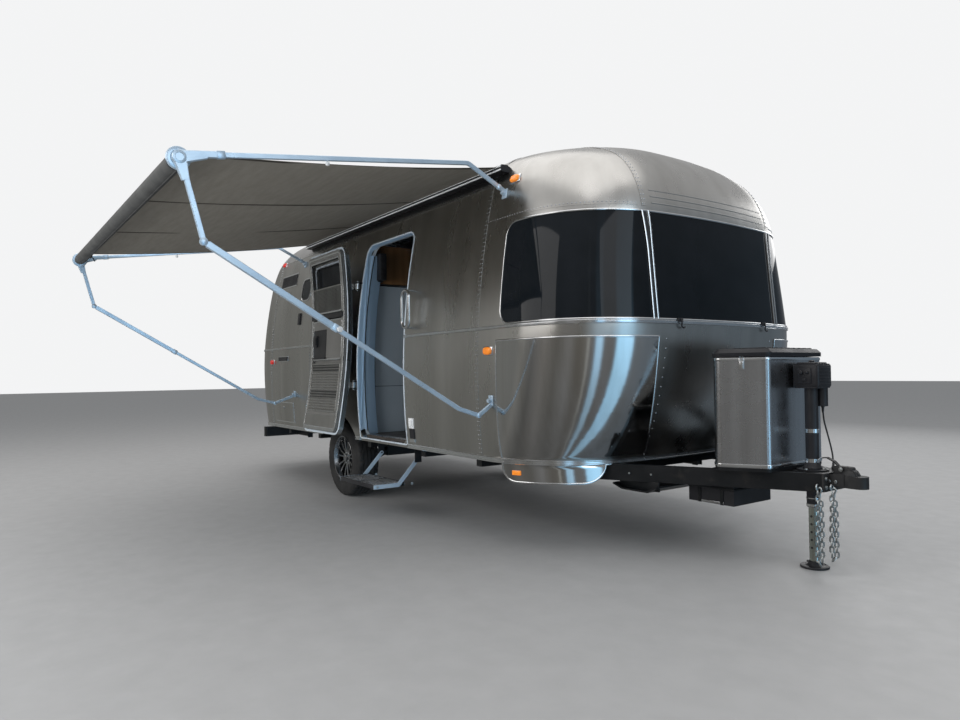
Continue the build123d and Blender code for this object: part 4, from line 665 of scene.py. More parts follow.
def window_cutters():
    """Solids through every window: the front band either side of the mullions, the side and rear panes."""
    parts = []
    edge = MULLION_Y - MULLION_WIDTH / 2
    parts.append(prism(rounded(-edge, edge, SILL_Z, GLASS_TOP, 0.012), "X", -1.150, 0.0))
    outer = MULLION_Y + MULLION_WIDTH / 2
    for s in (RIGHT, LEFT):
        loop = rounded(PANE_REAR, 0.0, SILL_Z, GLASS_TOP, (0.0, 0.0, 0.090, 0.090))
        lo, hi = sorted((s * outer, s * 1.5))
        parts.append(prism(loop, "Y", lo, hi))
    for x0, x1, z0, z1, s in SIDE_PANES:
        lo, hi = sorted((s * 0.9, s * 1.5))
        parts.append(prism(rounded(x0, x1, z0, z1, 0.070), "Y", lo, hi))
    y, z0, z1 = REAR_PANE
    parts.append(prism(rounded(-y, y, z0, z1, 0.080), "X", REAR_X - 0.2, REAR_X + 0.4))
    return parts


def other_cutters():
    """Solids through the doorway, the wheel arches, the hatch and the roof vent."""
    x0, x1, z0, z1 = DOOR
    parts = [prism(rounded(x0, x1, z0, z1, 0.090), "Y", -1.5, -0.9)]
    arch = [(AXLE_X + ARCH * math.cos(a), max(0.356 + ARCH * math.sin(a), 0.5))
            for a in (math.pi * i / 40 for i in range(41))]
    arch = [(AXLE_X + ARCH, 0.45)] + arch + [(AXLE_X - ARCH, 0.45)]
    parts.append(prism(arch, "Y", -1.5, -0.905))
    parts.append(prism(arch, "Y", 0.905, 1.5))
    x0, x1, z0, z1 = HATCH
    parts.append(prism(rounded(x0 - 0.006, x1 + 0.006, z0 - 0.006, z1 + 0.006, 0.046), "Y", 1.0, 1.5))
    parts.append(prism(rounded(VENT_X - VENT, VENT_X + VENT, -VENT, VENT, 0.02), "Z", 2.6, 2.9))
    return parts


def shell_heights(inset):
    """Heights of the rings: even steps on the walls, finer on the shoulder, even half widths on the crown."""
    zs = [0.560 + 0.0593 * i for i in range(16)]
    zs += [1.4492 + 0.06106 * i for i in range(1, 12)]
    zs += [2.121 + 0.036 * i for i in range(1, 14)]
    crown = CROWN - inset
    w0 = half_width(zs[-1], inset)
    width = w0
    out = [z for z in zs]
    while width > 0.035:
        width -= 0.045 if width > 0.9 else 0.055
        width = max(width, 0.03)
        z = CROWN_Z + math.sqrt(crown * crown - width * width)
        if z > out[-1] + 0.002:
            out.append(z)
    return out


SAMPLES = (
    [i / 10 for i in range(10)] + [1 + i / 20 for i in range(20)] + [2 + i / 14 for i in range(14)]
    + [3 + i / 20 for i in range(20)] + [4 + i / 8 for i in range(8)]
)
SAMPLES = SAMPLES + [5.0] + [10 - q for q in reversed(SAMPLES[1:])]


def shell_surface(form, inset, low=0.560, mat=0):
    """Adds one closed-topped skin of the shell; returns the index of its bottom ring."""
    zs = [z for z in shell_heights(inset) if z > low + 1e-4]
    zs = [low] + zs
    base = len(form.verts)
    rows = [[outline(q, z, -inset) for q in SAMPLES] for z in zs]
    form.grid(rows, mat, wrap=True)
    top = base + (len(rows) - 1) * len(SAMPLES)
    last = rows[-1]
    middle = sum(last, Vector()) / len(last)
    middle.z = ROOF_TOP - inset
    form.add([middle], [], mat)
    hub = len(form.verts) - 1
    n = len(SAMPLES)
    for j in range(n):
        form.faces.append((top + j, top + (j + 1) % n, hub))
        form.mats.append(mat)
    return base


def smooth_normals(mesh, kinds, outer):
    """Sets the corner normals of both skins' faces from the shell's form; cut edges keep their own."""
    custom = [Vector(n.vector) for n in mesh.corner_normals]
    cache = {}
    for poly in mesh.polygons:
        kind = kinds[poly.index]
        if kind is None:
            continue
        for li in poly.loop_indices:
            vi = mesh.loops[li].vertex_index
            key = (vi, kind)
            if key not in cache:
                p = mesh.vertices[vi].co
                n = normal_at(p, max(kind, 0.0))
                cache[key] = n if kind == outer else -n
            custom[li] = cache[key]
    mesh.normals_split_custom_set(custom)


def classify(mesh, depths, tolerance):
    """For each face, the depth of the skin it lies on, or None for a cut edge."""
    off = {}
    for d in depths:
        off[d] = []
        for v in mesh.vertices:
            out_by, g = slope_at(v.co, max(d, 0.0))
            off[d].append(abs(out_by + min(d, 0.0)) / g.length if v.co.z < ROOF_TOP - max(d,
                                                                                          0.0) - 1e-4
                                                                                          else 0.0)
    kinds = []
    for poly in mesh.polygons:
        kind = None
        for d in depths:
            if all(off[d][v] < tolerance for v in poly.vertices):
                n = normal_at(poly.center, max(d, 0.0))
                if abs(n.dot(poly.normal)) > 0.8:
                    kind = d
                    break
        kinds.append(kind)
    return kinds


def keep_side(obj, planes):
    """Keeps the part of a mesh in front of every (point, normal) plane and closes the cuts."""
    bm = bmesh.new()
    bm.from_mesh(obj.data)
    for point, normal in planes:
        geom = bm.verts[:] + bm.edges[:] + bm.faces[:]
        cut = bmesh.ops.bisect_plane(bm, geom=geom, plane_co=point, plane_no=normal, clear_inner=True,
                                     dist=1e-6)
        edges = [e for e in cut["geom_cut"] if isinstance(e, bmesh.types.BMEdge)]
        bmesh.ops.holes_fill(bm, edges=edges, sides=0)
    bm.to_mesh(obj.data)
    bm.free()


def copy_of(obj, name):
    other = bpy.data.objects.new(name, obj.data.copy())
    bpy.context.scene.collection.objects.link(other)
    return other


def shell():
    form = Form()
    shell_surface(form, 0.0)
    shell_surface(form, WALL)
    n = len(SAMPLES)
    outer_rows = len([z for z in shell_heights(0.0) if z > 0.5601]) + 1
    inner_base = outer_rows * n + 1
    for j in range(n):
        form.faces.append((j, (j + 1) % n, inner_base + (j + 1) % n, inner_base + j))
        form.mats.append(0)
    mesh = bpy.data.meshes.new("shell")
    mesh.from_pydata(form.verts, [], form.faces)
    bm = bmesh.new()
    bm.from_mesh(mesh)
    bmesh.ops.recalc_face_normals(bm, faces=bm.faces)
    bm.to_mesh(mesh)
    bm.free()
    whole = bpy.data.objects.new("shell", mesh)
    bpy.context.scene.collection.objects.link(whole)
    carve(whole, mesh_object("cut", window_cutters() + other_cutters()))
    pieces = (
        ("front_cap_skin", "front_cap", (((FRONT_SEAM, 0, 0), (1, 0, 0)),), DOME),
        ("rear_cap_skin", "rear_cap", (((REAR_SEAM, 0, 0), (-1, 0, 0)),), DOME),
        ("roof_skin", "roof", (((FRONT_SEAM, 0, 0), (-1, 0, 0)), ((REAR_SEAM, 0, 0), (1, 0, 0)),
                               ((0, 0, ROOF_SEAM), (0, 0, 1))), DOME),
        ("right_wall_skin", "right_wall", (((FRONT_SEAM, 0, 0), (-1, 0, 0)), ((REAR_SEAM, 0, 0), (1, 0, 0)),
                                           ((0, 0, ROOF_SEAM), (0, 0, -1)), ((0, 0, 0), (0, -1, 0))),
                                           ALUMINIUM),
        ("left_wall_skin", "left_wall", (((FRONT_SEAM, 0, 0), (-1, 0, 0)), ((REAR_SEAM, 0, 0), (1, 0, 0)),
                                         ((0, 0, ROOF_SEAM), (0, 0, -1)), ((0, 0, 0), (0, 1, 0))),
                                         ALUMINIUM),
    )
    for name, stands_for, planes, material in pieces:
        part = copy_of(whole, name)
        keep_side(part, planes)
        mesh = part.data
        kinds = classify(mesh, (0.0, WALL), 0.012)
        for m in (ALUMINIUM if "cap" in name else material, LINING, BRIGHT):
            mesh.materials.append(m)
        mesh.polygons.foreach_set("use_smooth", [k is not None for k in kinds])
        mesh.polygons.foreach_set("material_index",
                                  [0 if k == 0.0 else (1 if k == WALL else 2) for k in kinds])
        smooth_normals(mesh, kinds, 0.0)
        place(part, "body", (stands_for,))
    data = whole.data
    bpy.data.objects.remove(whole)
    bpy.data.meshes.remove(data)


shell()


def skin_piece(name, depth, thickness, cutters, materials, replaces, body="body", low=1.3, high=2.3,
               planes=()):
    """A thin skin of the shell's form between two depths, kept only inside the cutters."""
    form = Form()
    zs = [z for z in shell_heights(depth) if low < z < high]
    zs = [low] + [z for z in zs if z > low + 0.01] + [high]
    outer = [[outline(q, z, -depth) for q in SAMPLES] for z in zs]
    inner = [[outline(q, z, -depth - thickness) for q in SAMPLES] for z in zs]
    n, m = len(SAMPLES), len(zs)
    form.grid(outer, wrap=True)
    form.grid(inner, wrap=True)
    for row in (0, m - 1):
        for j in range(n):
            k = (j + 1) % n
            a = row * n
            b = (m + row) * n
            form.faces.append((a + j, a + k, b + k, b + j))
            form.mats.append(0)
    mesh = bpy.data.meshes.new(name)
    mesh.from_pydata(form.verts, [], form.faces)
    bm = bmesh.new()
    bm.from_mesh(mesh)
    bmesh.ops.recalc_face_normals(bm, faces=bm.faces)
    bm.to_mesh(mesh)
    bm.free()
    obj = bpy.data.objects.new(name, mesh)
    bpy.context.scene.collection.objects.link(obj)
    carve(obj, mesh_object("cut", cutters), "INTERSECT")
    if planes:
        keep_side(obj, planes)
    kinds = classify(obj.data, (depth, depth + thickness), 0.0028)
    for m_ in materials:
        obj.data.materials.append(m_)
    obj.data.polygons.foreach_set("use_smooth", [k is not None for k in kinds])
    obj.data.polygons.foreach_set("material_index",
                                  [0 if k == depth else (min(1, len(materials) - 1)) for k in kinds])
    smooth_normals(obj.data, kinds, depth)
    place(obj, body, replaces)
    return obj


def glass():
    cut = window_cutters()
    skin_piece("front_glass", FRONT_GLASS, 0.006, cut[:3], (GLASS, GASKET),
               ("front_windows",))
    skin_piece("side_glass", FRONT_GLASS, 0.006, cut[3:6], (GLASS, GASKET),
               ("side_windows",))
    skin_piece("rear_glass", FRONT_GLASS, 0.006, cut[6:], (GLASS, GASKET), ("rear_window",))


glass()


# Trims that run along the shell
TRIM_PROUD, BELT_HEIGHT = 0.009, 0.022
RUB_LOW, RUB_HEIGHT = 0.560, 0.034
GUARD_REAR, GUARD_TOP, GUARD_LOW, GUARD_R = FRONT_X - 0.860, 1.352, 0.445, 0.090
GUARD_PROUD, GUARD_SKIRT_INNER = 0.005, 0.705
GUARD_EDGE_Y, GUARD_EDGE_Z, GUARD_EDGE_R = MULLION_Y - 0.022, 1.300, 1.361


def q_run(q0, q1, z, step=0.035):
    """q values from q0 to q1 along a level of the outline, about step apart."""
    a = [outline(q0 + (q1 - q0) * i / 60, z) for i in range(61)]
    length = sum((p - o).length for o, p in zip(a, a[1:]))
    n = max(2, round(length / step))
    return [q0 + (q1 - q0) * i / n for i in range(n + 1)]


def bead(width, height, crown=0.0):
    """Profile of a flat strip with rounded outer edges, standing on the skin."""
    w, r = width / 2, min(0.3 * width, height) * 0.9
    return [(-w, -0.001), (-w, height - r), (-w + 0.3 * r, height - 0.3 * r), (-w + r, height),
            (0, height + crown), (w - r, height), (w - 0.3 * r, height - 0.3 * r), (w, height - r),
            (w, -0.001)]


def belt_profile():
    """The belt trim: two bright ribs with a shallow groove between them."""
    h = BELT_HEIGHT / 2
    t = TRIM_PROUD
    return [(-h, -0.002), (-h, t - 0.004), (-h + 0.003, t), (-h + 0.006, t), (-h + 0.0085, t - 0.003),
            (h - 0.0085, t - 0.003), (h - 0.006, t), (h - 0.003, t), (h, t - 0.004), (h, -0.002)]


def level_sweep(form, q0, q1, z, profile, out=0.0, closed=False, step=0.035, mat=0):
    """A profile swept along a level line of the shell."""
    qs = q_run(q0, q1, z, step)
    if closed:
        qs = qs[:-1]
    points = [outline(q, z, out) for q in qs]
    normals = []
    for q in qs:
        a, b = outline(q - 0.004, z), outline(q + 0.004, z)
        t = (b - a).normalized()
        n = t.cross(Vector((0, 0, 1)))
        c = outline(q, z)
        if n.dot(Vector((c.x - MIDDLE_X, c.y, 0))) < 0:
            n = -n
        normals.append(n)
    form.sweep(points, profile, normals, mat=mat, closed=closed)


def trims():
    door_rear, door_front = DOOR[0] - 0.030, DOOR[1] + 0.015
    form = Form()
    q0, q1 = q_side(door_rear, BELT_Z), q_side(door_front, BELT_Z)
    level_sweep(form, q0, q1 + 10, BELT_Z, belt_profile())
    form.make("belt_moulding", BRIGHT, "body", "bright_trim", ("belt_trim",), sharp=30)
    form = Form()
    middle = RUB_LOW + RUB_HEIGHT / 2
    h, t = RUB_HEIGHT / 2, TRIM_PROUD
    profile = [(-h, -0.002), (-h, t - 0.003), (-h + 0.003, t), (-h + 0.009, t), (-h + 0.012, t - 0.004),
               (h - 0.012, t - 0.004), (h - 0.009, t), (h - 0.003, t), (h, t - 0.003), (h, -0.002)]
    reach = math.sqrt(ARCH ** 2 - (0.356 - middle) ** 2) + 0.002
    q0, q1 = sorted((q_side(AXLE_X + reach, middle), q_side(DOOR[0] - 0.016, middle)))
    level_sweep(form, q0, q1, middle, profile)
    q0 = q_side(AXLE_X - reach, middle)
    q1 = q_side(AXLE_X - reach, middle, LEFT)
    level_sweep(form, q0, q1, middle, profile)
    q0 = q_side(AXLE_X + reach, middle, LEFT)
    q1 = q_side(DOOR[1] + 0.016, middle)
    level_sweep(form, q0, q1 + 10, middle, profile, out=GUARD_PROUD * 0.6)
    form.make("rub_moulding", BRIGHT, "body", "bright_trim", ("rub_rail",), sharp=30)


trims()


def guard_edge_loop(s):
    """The guard's outline as (q, z) points, anticlockwise seen from outside on the right side."""

    def q_at_x(x, z):
        w, corner, turn, front, rear, fx, rx = plan(round(z, 6))
        if x <= fx:
            m = 2 + (fx - x) / (fx - rx)
        else:
            a = math.acos(max(-1.0, min(1.0, (x - fx) / corner)))
            m = 1 + (a - turn) / (math.pi / 2 - turn)
        return m if s == RIGHT else 10 - m

    def q_edge(z):
        drop = GUARD_EDGE_R - math.sqrt(GUARD_EDGE_R ** 2 - (z - GUARD_EDGE_Z) ** 2)
        return q_front(s * (GUARD_EDGE_Y - drop), z)

    q0, q1 = q_edge(GUARD_TOP), q_at_x(GUARD_REAR, GUARD_TOP)
    loop = [(q0, GUARD_TOP)]
    for i in range(1, 40):
        loop.append((q0 + (q1 - q0) * i / 40, GUARD_TOP))
    for i in range(20):
        z = GUARD_TOP + (GUARD_LOW + GUARD_R - GUARD_TOP) * i / 20
        loop.append((q_at_x(GUARD_REAR, z), z))
    for i in range(9):
        a = math.pi / 2 * i / 8
        x = GUARD_REAR + GUARD_R - GUARD_R * math.cos(a)
        z = GUARD_LOW + GUARD_R - GUARD_R * math.sin(a)
        loop.append((q_at_x(x, z), z))
    q0 = loop[-1][0]
    zc = GUARD_LOW + 0.11
    corner_q = q_front(s * (GUARD_SKIRT_INNER + 0.11), GUARD_LOW)
    for i in range(1, 32):
        loop.append((q0 + (corner_q - q0) * i / 31, GUARD_LOW))
    for i in range(1, 9):
        a = math.pi / 2 * i / 8
        z = zc - 0.11 * math.cos(a)
        y = GUARD_SKIRT_INNER + 0.11 - 0.11 * math.sin(a)
        loop.append((q_front(s * y, z), z))
    edge_foot = WALL_FOOT + 0.004
    loop.append((q_front(s * GUARD_SKIRT_INNER, edge_foot - 0.007), edge_foot - 0.007))
    for i in range(24):
        z = edge_foot + (GUARD_TOP - edge_foot) * i / 24
        loop.append((q_edge(z), z))
    return loop


def guards():
    sheets, edges = Form(), Form()
    for s, _ in SIDES:
        loop = guard_edge_loop(s)
        # levels of the sheet: its rear and inner bounds at each height
        levels = sorted({round(z, 5) for _, z in loop})
        keep = [levels[0]]
        for z in levels[1:]:
            if z - keep[-1] > 0.006:
                keep.append(z)
        if keep[-1] < GUARD_TOP:
            keep[-1] = GUARD_TOP

        def bounds_at(z):
            qs = []
            for (qa, za), (qb, zb) in zip(loop, loop[1:] + loop[:1]):
                if abs(za - zb) < 1e-7:
                    if abs(za - z) < 1e-6:
                        qs += [qa, qb]
                elif min(za, zb) - 1e-7 <= z <= max(za, zb) + 1e-7:
                    qs.append(qa + (qb - qa) * (z - za) / (zb - za))
            return min(qs), max(qs)

        rows_out, rows_in = [], []
        for z in keep:
            a, b = bounds_at(z)
            qs = [a + (b - a) * i / 56 for i in range(57)]
            rows_out.append([outline(q, z, GUARD_PROUD) for q in qs])
            rows_in.append([outline(q, z, 0.0015) for q in qs])
        sheets.grid(rows_out)
        sheets.grid(rows_in)
        m = len(keep)
        n = 57
        base_in = len(sheets.verts) - m * n
        base_out = base_in - m * n
        ring = [(0, j) for j in range(n)] + [(i, n - 1) for i in range(1, m)]
        ring += [(m - 1, j) for j in range(n - 2, -1, -1)] + [(i, 0) for i in range(m - 2, 0, -1)]
        for (i0, j0), (i1, j1) in zip(ring, ring[1:] + ring[:1]):
            a, b = base_out + i0 * n + j0, base_out + i1 * n + j1
            c, d = base_in + i1 * n + j1, base_in + i0 * n + j0
            sheets.faces.append((a, b, c, d))
            sheets.mats.append(1)
        points = [outline(q, z, GUARD_PROUD) for q, z in loop]
        normals = [normal_at(outline(q, z)) for q, z in loop]
        edges.sweep(points, [(-0.006, -0.004), (-0.006, 0.0015), (-0.003, 0.0035), (0.003, 0.0035),
                             (0.006, 0.0015), (0.006, -0.004)], normals, closed=True)
    sheets.make("stone_guard_sheets", (POLISHED, BRIGHT), "body", "stainless", ("stone_guards",), sharp=60)
    edges.make("stone_guard_edges", BRIGHT, "body", "bright_trim", sharp=40)


guards()


RIVETS = []


def rivets(points, spacing=0.030, offset=0.0, out=0.0, radius=0.0046):
    """Notes rivets at even spacing along a line on the shell, set beside it by offset."""
    points = [Vector(p) for p in points]
    carry = spacing / 2
    for a, b in zip(points, points[1:]):
        length = (b - a).length
        if length < 1e-6:
            continue
        t = (b - a) / length
        d = carry
        while d < length:
            p = a + t * d
            n = normal_at(p)
            RIVETS.append((p + t.cross(n) * offset + n * out, n, radius))
            d += spacing
        carry = d - length


def upright(x, z0, z1, s, step=0.05):
    """Points up a side at one x."""
    n = max(2, round((z1 - z0) / step))
    return [outline(q_side(x, z0 + (z1 - z0) * i / n, s), z0 + (z1 - z0) * i / n) for i in range(n + 1)]


def section(x, z0, step=0.05):
    """Points over the roof at one x from height z0 on the right to z0 on the left."""
    def side(s):
        pts, z = [], z0
        while z < ROOF_TOP - 0.004:
            w, corner, turn, front, rear, fx, rx = plan(round(z, 6))
            if not rx <= x <= fx:
                cx = fx if x > fx else rx
                dx = abs(x - cx)
                if dx > corner * math.cos(turn):
                    break
                y = w - corner + math.sqrt(corner * corner - dx * dx)
            else:
                y = w
            pts.append(Vector((x, s * y, z)))
            z += max(0.0012, step * min(1.0, (ROOF_TOP - z) / 0.55) ** 1.1)
        return pts
    right = side(RIGHT)
    left = side(LEFT)
    bridge = []
    a, b = right[-1], left[-1]
    n = max(2, round((b - a).length / 0.06))
    for i in range(1, n):
        p = a.lerp(b, i / n)
        bridge.append(to_shell(Vector((p.x, p.y, p.z + 0.003))))
    return right + bridge + left[::-1]


SEAM_WIDTH, SEAM_HEIGHT = 0.034, 0.0016


def seams():
    """Lapped panel seams with rows of rivets."""
    flat = Form()
    band = [(-SEAM_WIDTH / 2, -0.001), (-SEAM_WIDTH / 2, SEAM_HEIGHT), (SEAM_WIDTH / 2, SEAM_HEIGHT),
            (SEAM_WIDTH / 2, -0.001)]
    thin = [(-0.011, -0.001), (-0.011, 0.0013), (0.011, 0.0013), (0.011, -0.001)]

    def lap(points, both=True, profile=band, spacing=0.032):
        on = [to_shell(p) for p in points]
        flat.sweep(on, profile, [normal_at(p) for p in on])
        edge = profile[2][0] * 0.55
        rivets(on, spacing, edge, SEAM_HEIGHT)
        if both:
            rivets(on, spacing, -edge, SEAM_HEIGHT)

    z_rub, z_belt = RUB_LOW + RUB_HEIGHT, BELT_Z - BELT_HEIGHT / 2
    top = ROOF_SEAM
    # the caps' seams round the whole section
    for x in (FRONT_SEAM, REAR_SEAM):
        lap(upright(x, z_rub, z_belt, RIGHT), spacing=0.030)
        lap(upright(x, z_rub, z_belt, LEFT), spacing=0.030)
        lap(section(x, BELT_Z + BELT_HEIGHT / 2), spacing=0.030)
    # the roof panel's long seams
    for s, _ in SIDES:
        lap([outline(q_side(REAR_SEAM + (FRONT_SEAM - REAR_SEAM) * i / 60, top, s),
                     top) for i in range(61)])
        low = 2.17
        if s == LEFT:
            lap([outline(q_side(FRONT_SEAM + (REAR_SEAM - FRONT_SEAM) * i / 20, low, s),
                         low) for i in range(21)],
                False, thin)
    # upright laps of the walls
    lap(upright(-4.60, z_rub, z_belt, RIGHT), False, thin)
    lap(upright(-4.60, BELT_Z + 0.02, 2.15, RIGHT), False, thin)
    for x in (-2.10, -3.35, -4.70):
        lap(upright(x, z_rub, z_belt, LEFT), False, thin)
    for x in (-3.35, -4.70):
        lap(upright(x, BELT_Z + 0.02, 2.15, LEFT), False, thin)
    # roof hoops
    for x in (-2.55, -3.45, -4.62):
        lap(section(x, ROOF_SEAM + 0.03), False, thin, 0.036)
    # the dome's segments: seams curve from the windows' upper corners to the roof
    for lean, far in ((FRONT_SEAM, 1), (REAR_SEAM, -1)):
        end_y = MULLION_Y if far > 0 else 0.60
        base_z = GLASS_TOP + 0.03 if far > 0 else GLASS_TOP
        for s, _ in SIDES:
            line = []
            for i in range(29):
                t = i / 28
                y = s * (end_y + 0.015 - 0.12 * t * t)
                z = base_z + (ROOF_TOP - base_z) * math.sin(t * math.pi / 2) * 0.985
                line.append(end_point(y, z, far))
            on = []
            for p in line:
                if far > 0 and p.x < FRONT_SEAM + 0.02 or far < 0 and p.x > REAR_SEAM - 0.02:
                    break
                on.append(p)
            lap(on, True, band, 0.030)
            # a level seam along the corner segment, just above the wrapped glass
            z = base_z + 0.012
            q0 = q_front(s * (end_y + 0.03), z)
            q1 = q_side(lean, z, s)
            if far > 0:
                lap([outline(q0 + (q1 - q0) * i / 24, z) for i in range(25)], False, thin, 0.026)
    # ridges pressed in the centre panel above the front window
    for k in range(3):
        z = GLASS_TOP + 0.055 + 0.042 * k
        points = [end_point((MULLION_Y - 0.045) * (i / 12 - 1), z, 1) for i in range(25)]
        flat.sweep(points, [(-0.006, -0.001), (-0.003, 0.0016), (0.003, 0.0016), (0.006, -0.001)],
                   [normal_at(p) for p in points])
    # a row of rivets inside each guard's front edge
    for s, _ in SIDES:
        rivets([end_point(s * (0.545 - 0.30 * max(0.0, 1.25 - z) ** 2), z, 1) for z in
                (0.66 + 0.69 * i / 20 for i in range(21))], 0.060)
    # rear cap: side laps and rear centre panel
    for s, _ in SIDES:
        pts = []
        for i in range(18):
            pts.append(end_point(s * 0.62, z_rub + (z_belt - z_rub) * i / 17, -1))
        lap(pts, True, thin, 0.030)
    flat.make("panel_laps", ALUMINIUM, "body", "shell", sharp=50)


seams()


def rivet_piece():
    form = Form()
    for p, n, r in RIVETS:
        side = n.orthogonal().normalized()
        other = n.cross(side)
        rows = []
        for radius, height in ((r, -0.0004), (0.82 * r, 0.45 * r)):
            rows.append([p + n * height + (side * math.cos(k) + other * math.sin(k)) * radius
                         for k in (math.pi * j / 3 for j in range(6))])
        base = len(form.verts)
        form.verts += [tuple(v) for row in rows for v in row] + [tuple(p + n * (0.62 * r))]
        for j in range(6):
            k = (j + 1) % 6
            form.faces += [(base + j, base + k, base + 6 + k, base + 6 + j),
                           (base + 6 + j, base + 6 + k, base + 12)]
            form.mats += [0, 0]
    mesh = bpy.data.meshes.new("rivets")
    mesh.from_pydata(form.verts, [], form.faces)
    mesh.materials.append(BRUSHED)
    mesh.polygons.foreach_set("use_smooth", [True] * len(mesh.polygons))
    place(bpy.data.objects.new("rivets", mesh), "body")


def side_loop(x0, x1, z0, z1, r, s, steps=8, step=0.07):
    """A rounded rectangle laid on a side wall: its points and normals."""
    flat = rounded(x0, x1, z0, z1, r, steps)
    dense = []
    for (xa, za), (xb, zb) in zip(flat, flat[1:] + flat[:1]):
        n = max(1, round(math.hypot(xb - xa, zb - za) / step))
        dense += [(xa + (xb - xa) * i / n, za + (zb - za) * i / n) for i in range(n)]
    points = [Vector((x, s * half_width(z), z)) for x, z in dense]
    return points, [normal_at(p) for p in points]


FRAME_PROFILE = [(-0.009, -0.004), (-0.009, 0.003), (-0.006, 0.006), (0.006, 0.006), (0.009, 0.003),
                 (0.009, -0.004)]


def offset_profile(profile, shift):
    return [(u + shift, v) for u, v in profile]


def window_trims():
    """Thin bright frames round every window, and the double bright lines of the mullions."""
    bright, seal = Form(), Form()
    # the wrapped front glass: one outline from the rear edge of one side to the other
    z0, z1, r = SILL_Z, GLASS_TOP, 0.090
    def band_q(x, z, s):
        w, corner, turn, front, rear, fx, rx = plan(round(z, 6))
        if x <= fx:
            m = 2 + (fx - x) / (fx - rx)
        else:
            m = 1 + (math.acos(min(1.0, (x - fx) / corner)) - turn) / (math.pi / 2 - turn)
        return m if s == RIGHT else 10 - m
    loop = []
    n_arc = 8
    def corner_arc(s, top):
        pts = []
        for i in range(n_arc + 1):
            a = math.pi / 2 * i / n_arc
            x = PANE_REAR + r - r * math.sin(a)
            z = (z1 - r + r * math.cos(a)) if top else (z0 + r - r * math.cos(a))
            pts.append((band_q(x, z, s), z))
        return pts
    right_top, right_low = corner_arc(RIGHT, True), corner_arc(RIGHT, False)
    left_top, left_low = corner_arc(LEFT, True), corner_arc(LEFT, False)
    top_q0, top_q1 = left_top[0][0] - 10, right_top[0][0]
    loop += [(top_q0 + (top_q1 - top_q0) * i / 100, z1) for i in range(100)]
    loop += right_top
    for i in range(1, 8):
        z = z1 - r + (z0 + r - z1 + r) * i / 8
        loop.append((band_q(PANE_REAR, z, RIGHT), z))
    loop += right_low[::-1]
    low_q0, low_q1 = right_low[0][0], left_low[0][0] - 10
    loop += [(low_q0 + (low_q1 - low_q0) * i / 100, z0) for i in range(1, 100)]
    loop += [(q - 10, z) for q, z in left_low]
    for i in range(1, 8):
        z = z0 + r + (z1 - z0 - 2 * r) * i / 8
        loop.append((band_q(PANE_REAR, z, LEFT) - 10, z))
    loop += [(q - 10, z) for q, z in left_top[::-1]][:-1]
    points = [outline(q, z) for q, z in loop]
    normals = [normal_at(p) for p in points]
    bright.sweep(points,
                 offset_profile([(-0.006, -0.003), (-0.006, 0.002), (-0.003, 0.0045), (0.003, 0.0045),
                                         (0.006, 0.002), (0.006, -0.003)], 0.0), normals, closed=True)
    # mullions: two bright beads with a dark groove between
    for s, _ in SIDES:
        for side in (-1, 1):
            y = s * (MULLION_Y + side * (MULLION_WIDTH / 2 - 0.006))
            line = [outline(q_front(y, z0 + (z1 - z0) * i / 14),
                            z0 + (z1 - z0) * i / 14) for i in range(15)]
            bright.sweep(line, bead(0.012, 0.007), [normal_at(p) for p in line])
        line = [outline(q_front(s * MULLION_Y, z0 + (z1 - z0) * i / 14),
                        z0 + (z1 - z0) * i / 14) for i in range(15)]
        seal.sweep(line, [(-0.011, -0.001), (-0.011, 0.002), (0.011, 0.002), (0.011, -0.001)],
                   [normal_at(p) for p in line])
    for x0, x1, za, zb, s in SIDE_PANES:
        points, normals = side_loop(x0, x1, za, zb, 0.070, s)
        bright.sweep(points, FRAME_PROFILE, normals, closed=True)
        points, normals = side_loop(x0 + 0.014, x1 - 0.014, za + 0.014, zb - 0.014, 0.058, s)
        seal.sweep(points, [(-0.010, -0.006), (-0.010, -0.0012), (0.010, -0.0012), (0.010, -0.006)],
                   normals,
                   closed=True)
        # the sliding pane's bar
        if x1 - x0 > 0.5:
            mid = x0 + 0.5 * (x1 - x0)
            line = upright(mid, za + 0.02, zb - 0.02, s, 0.08)
            seal.sweep(line, [(-0.011, -0.004), (-0.011, 0.0025), (0.011, 0.0025), (0.011, -0.004)],
                       [normal_at(p) for p in line])
    y, za, zb = REAR_PANE
    flat = rounded(-y, y, za, zb, 0.080)
    dense = []
    for (ya, zc), (yb, zd) in zip(flat, flat[1:] + flat[:1]):
        n = max(1, round(math.hypot(yb - ya, zd - zc) / 0.07))
        dense += [(ya + (yb - ya) * i / n, zc + (zd - zc) * i / n) for i in range(n)]
    points = []
    for yy, zz in dense:
        rear = plan(round(zz, 6))[4]
        points.append(Vector((rear + BOW - math.sqrt(BOW ** 2 - yy * yy), yy, zz)))
    normals = [normal_at(p) for p in points]
    bright.sweep(points, FRAME_PROFILE, normals, closed=True)
    bright.make("window_frames", BRIGHT, "body", "bright_trim", sharp=40)
    seal.make("window_seals", GASKET, "body", "black_plastic", sharp=40)


window_trims()


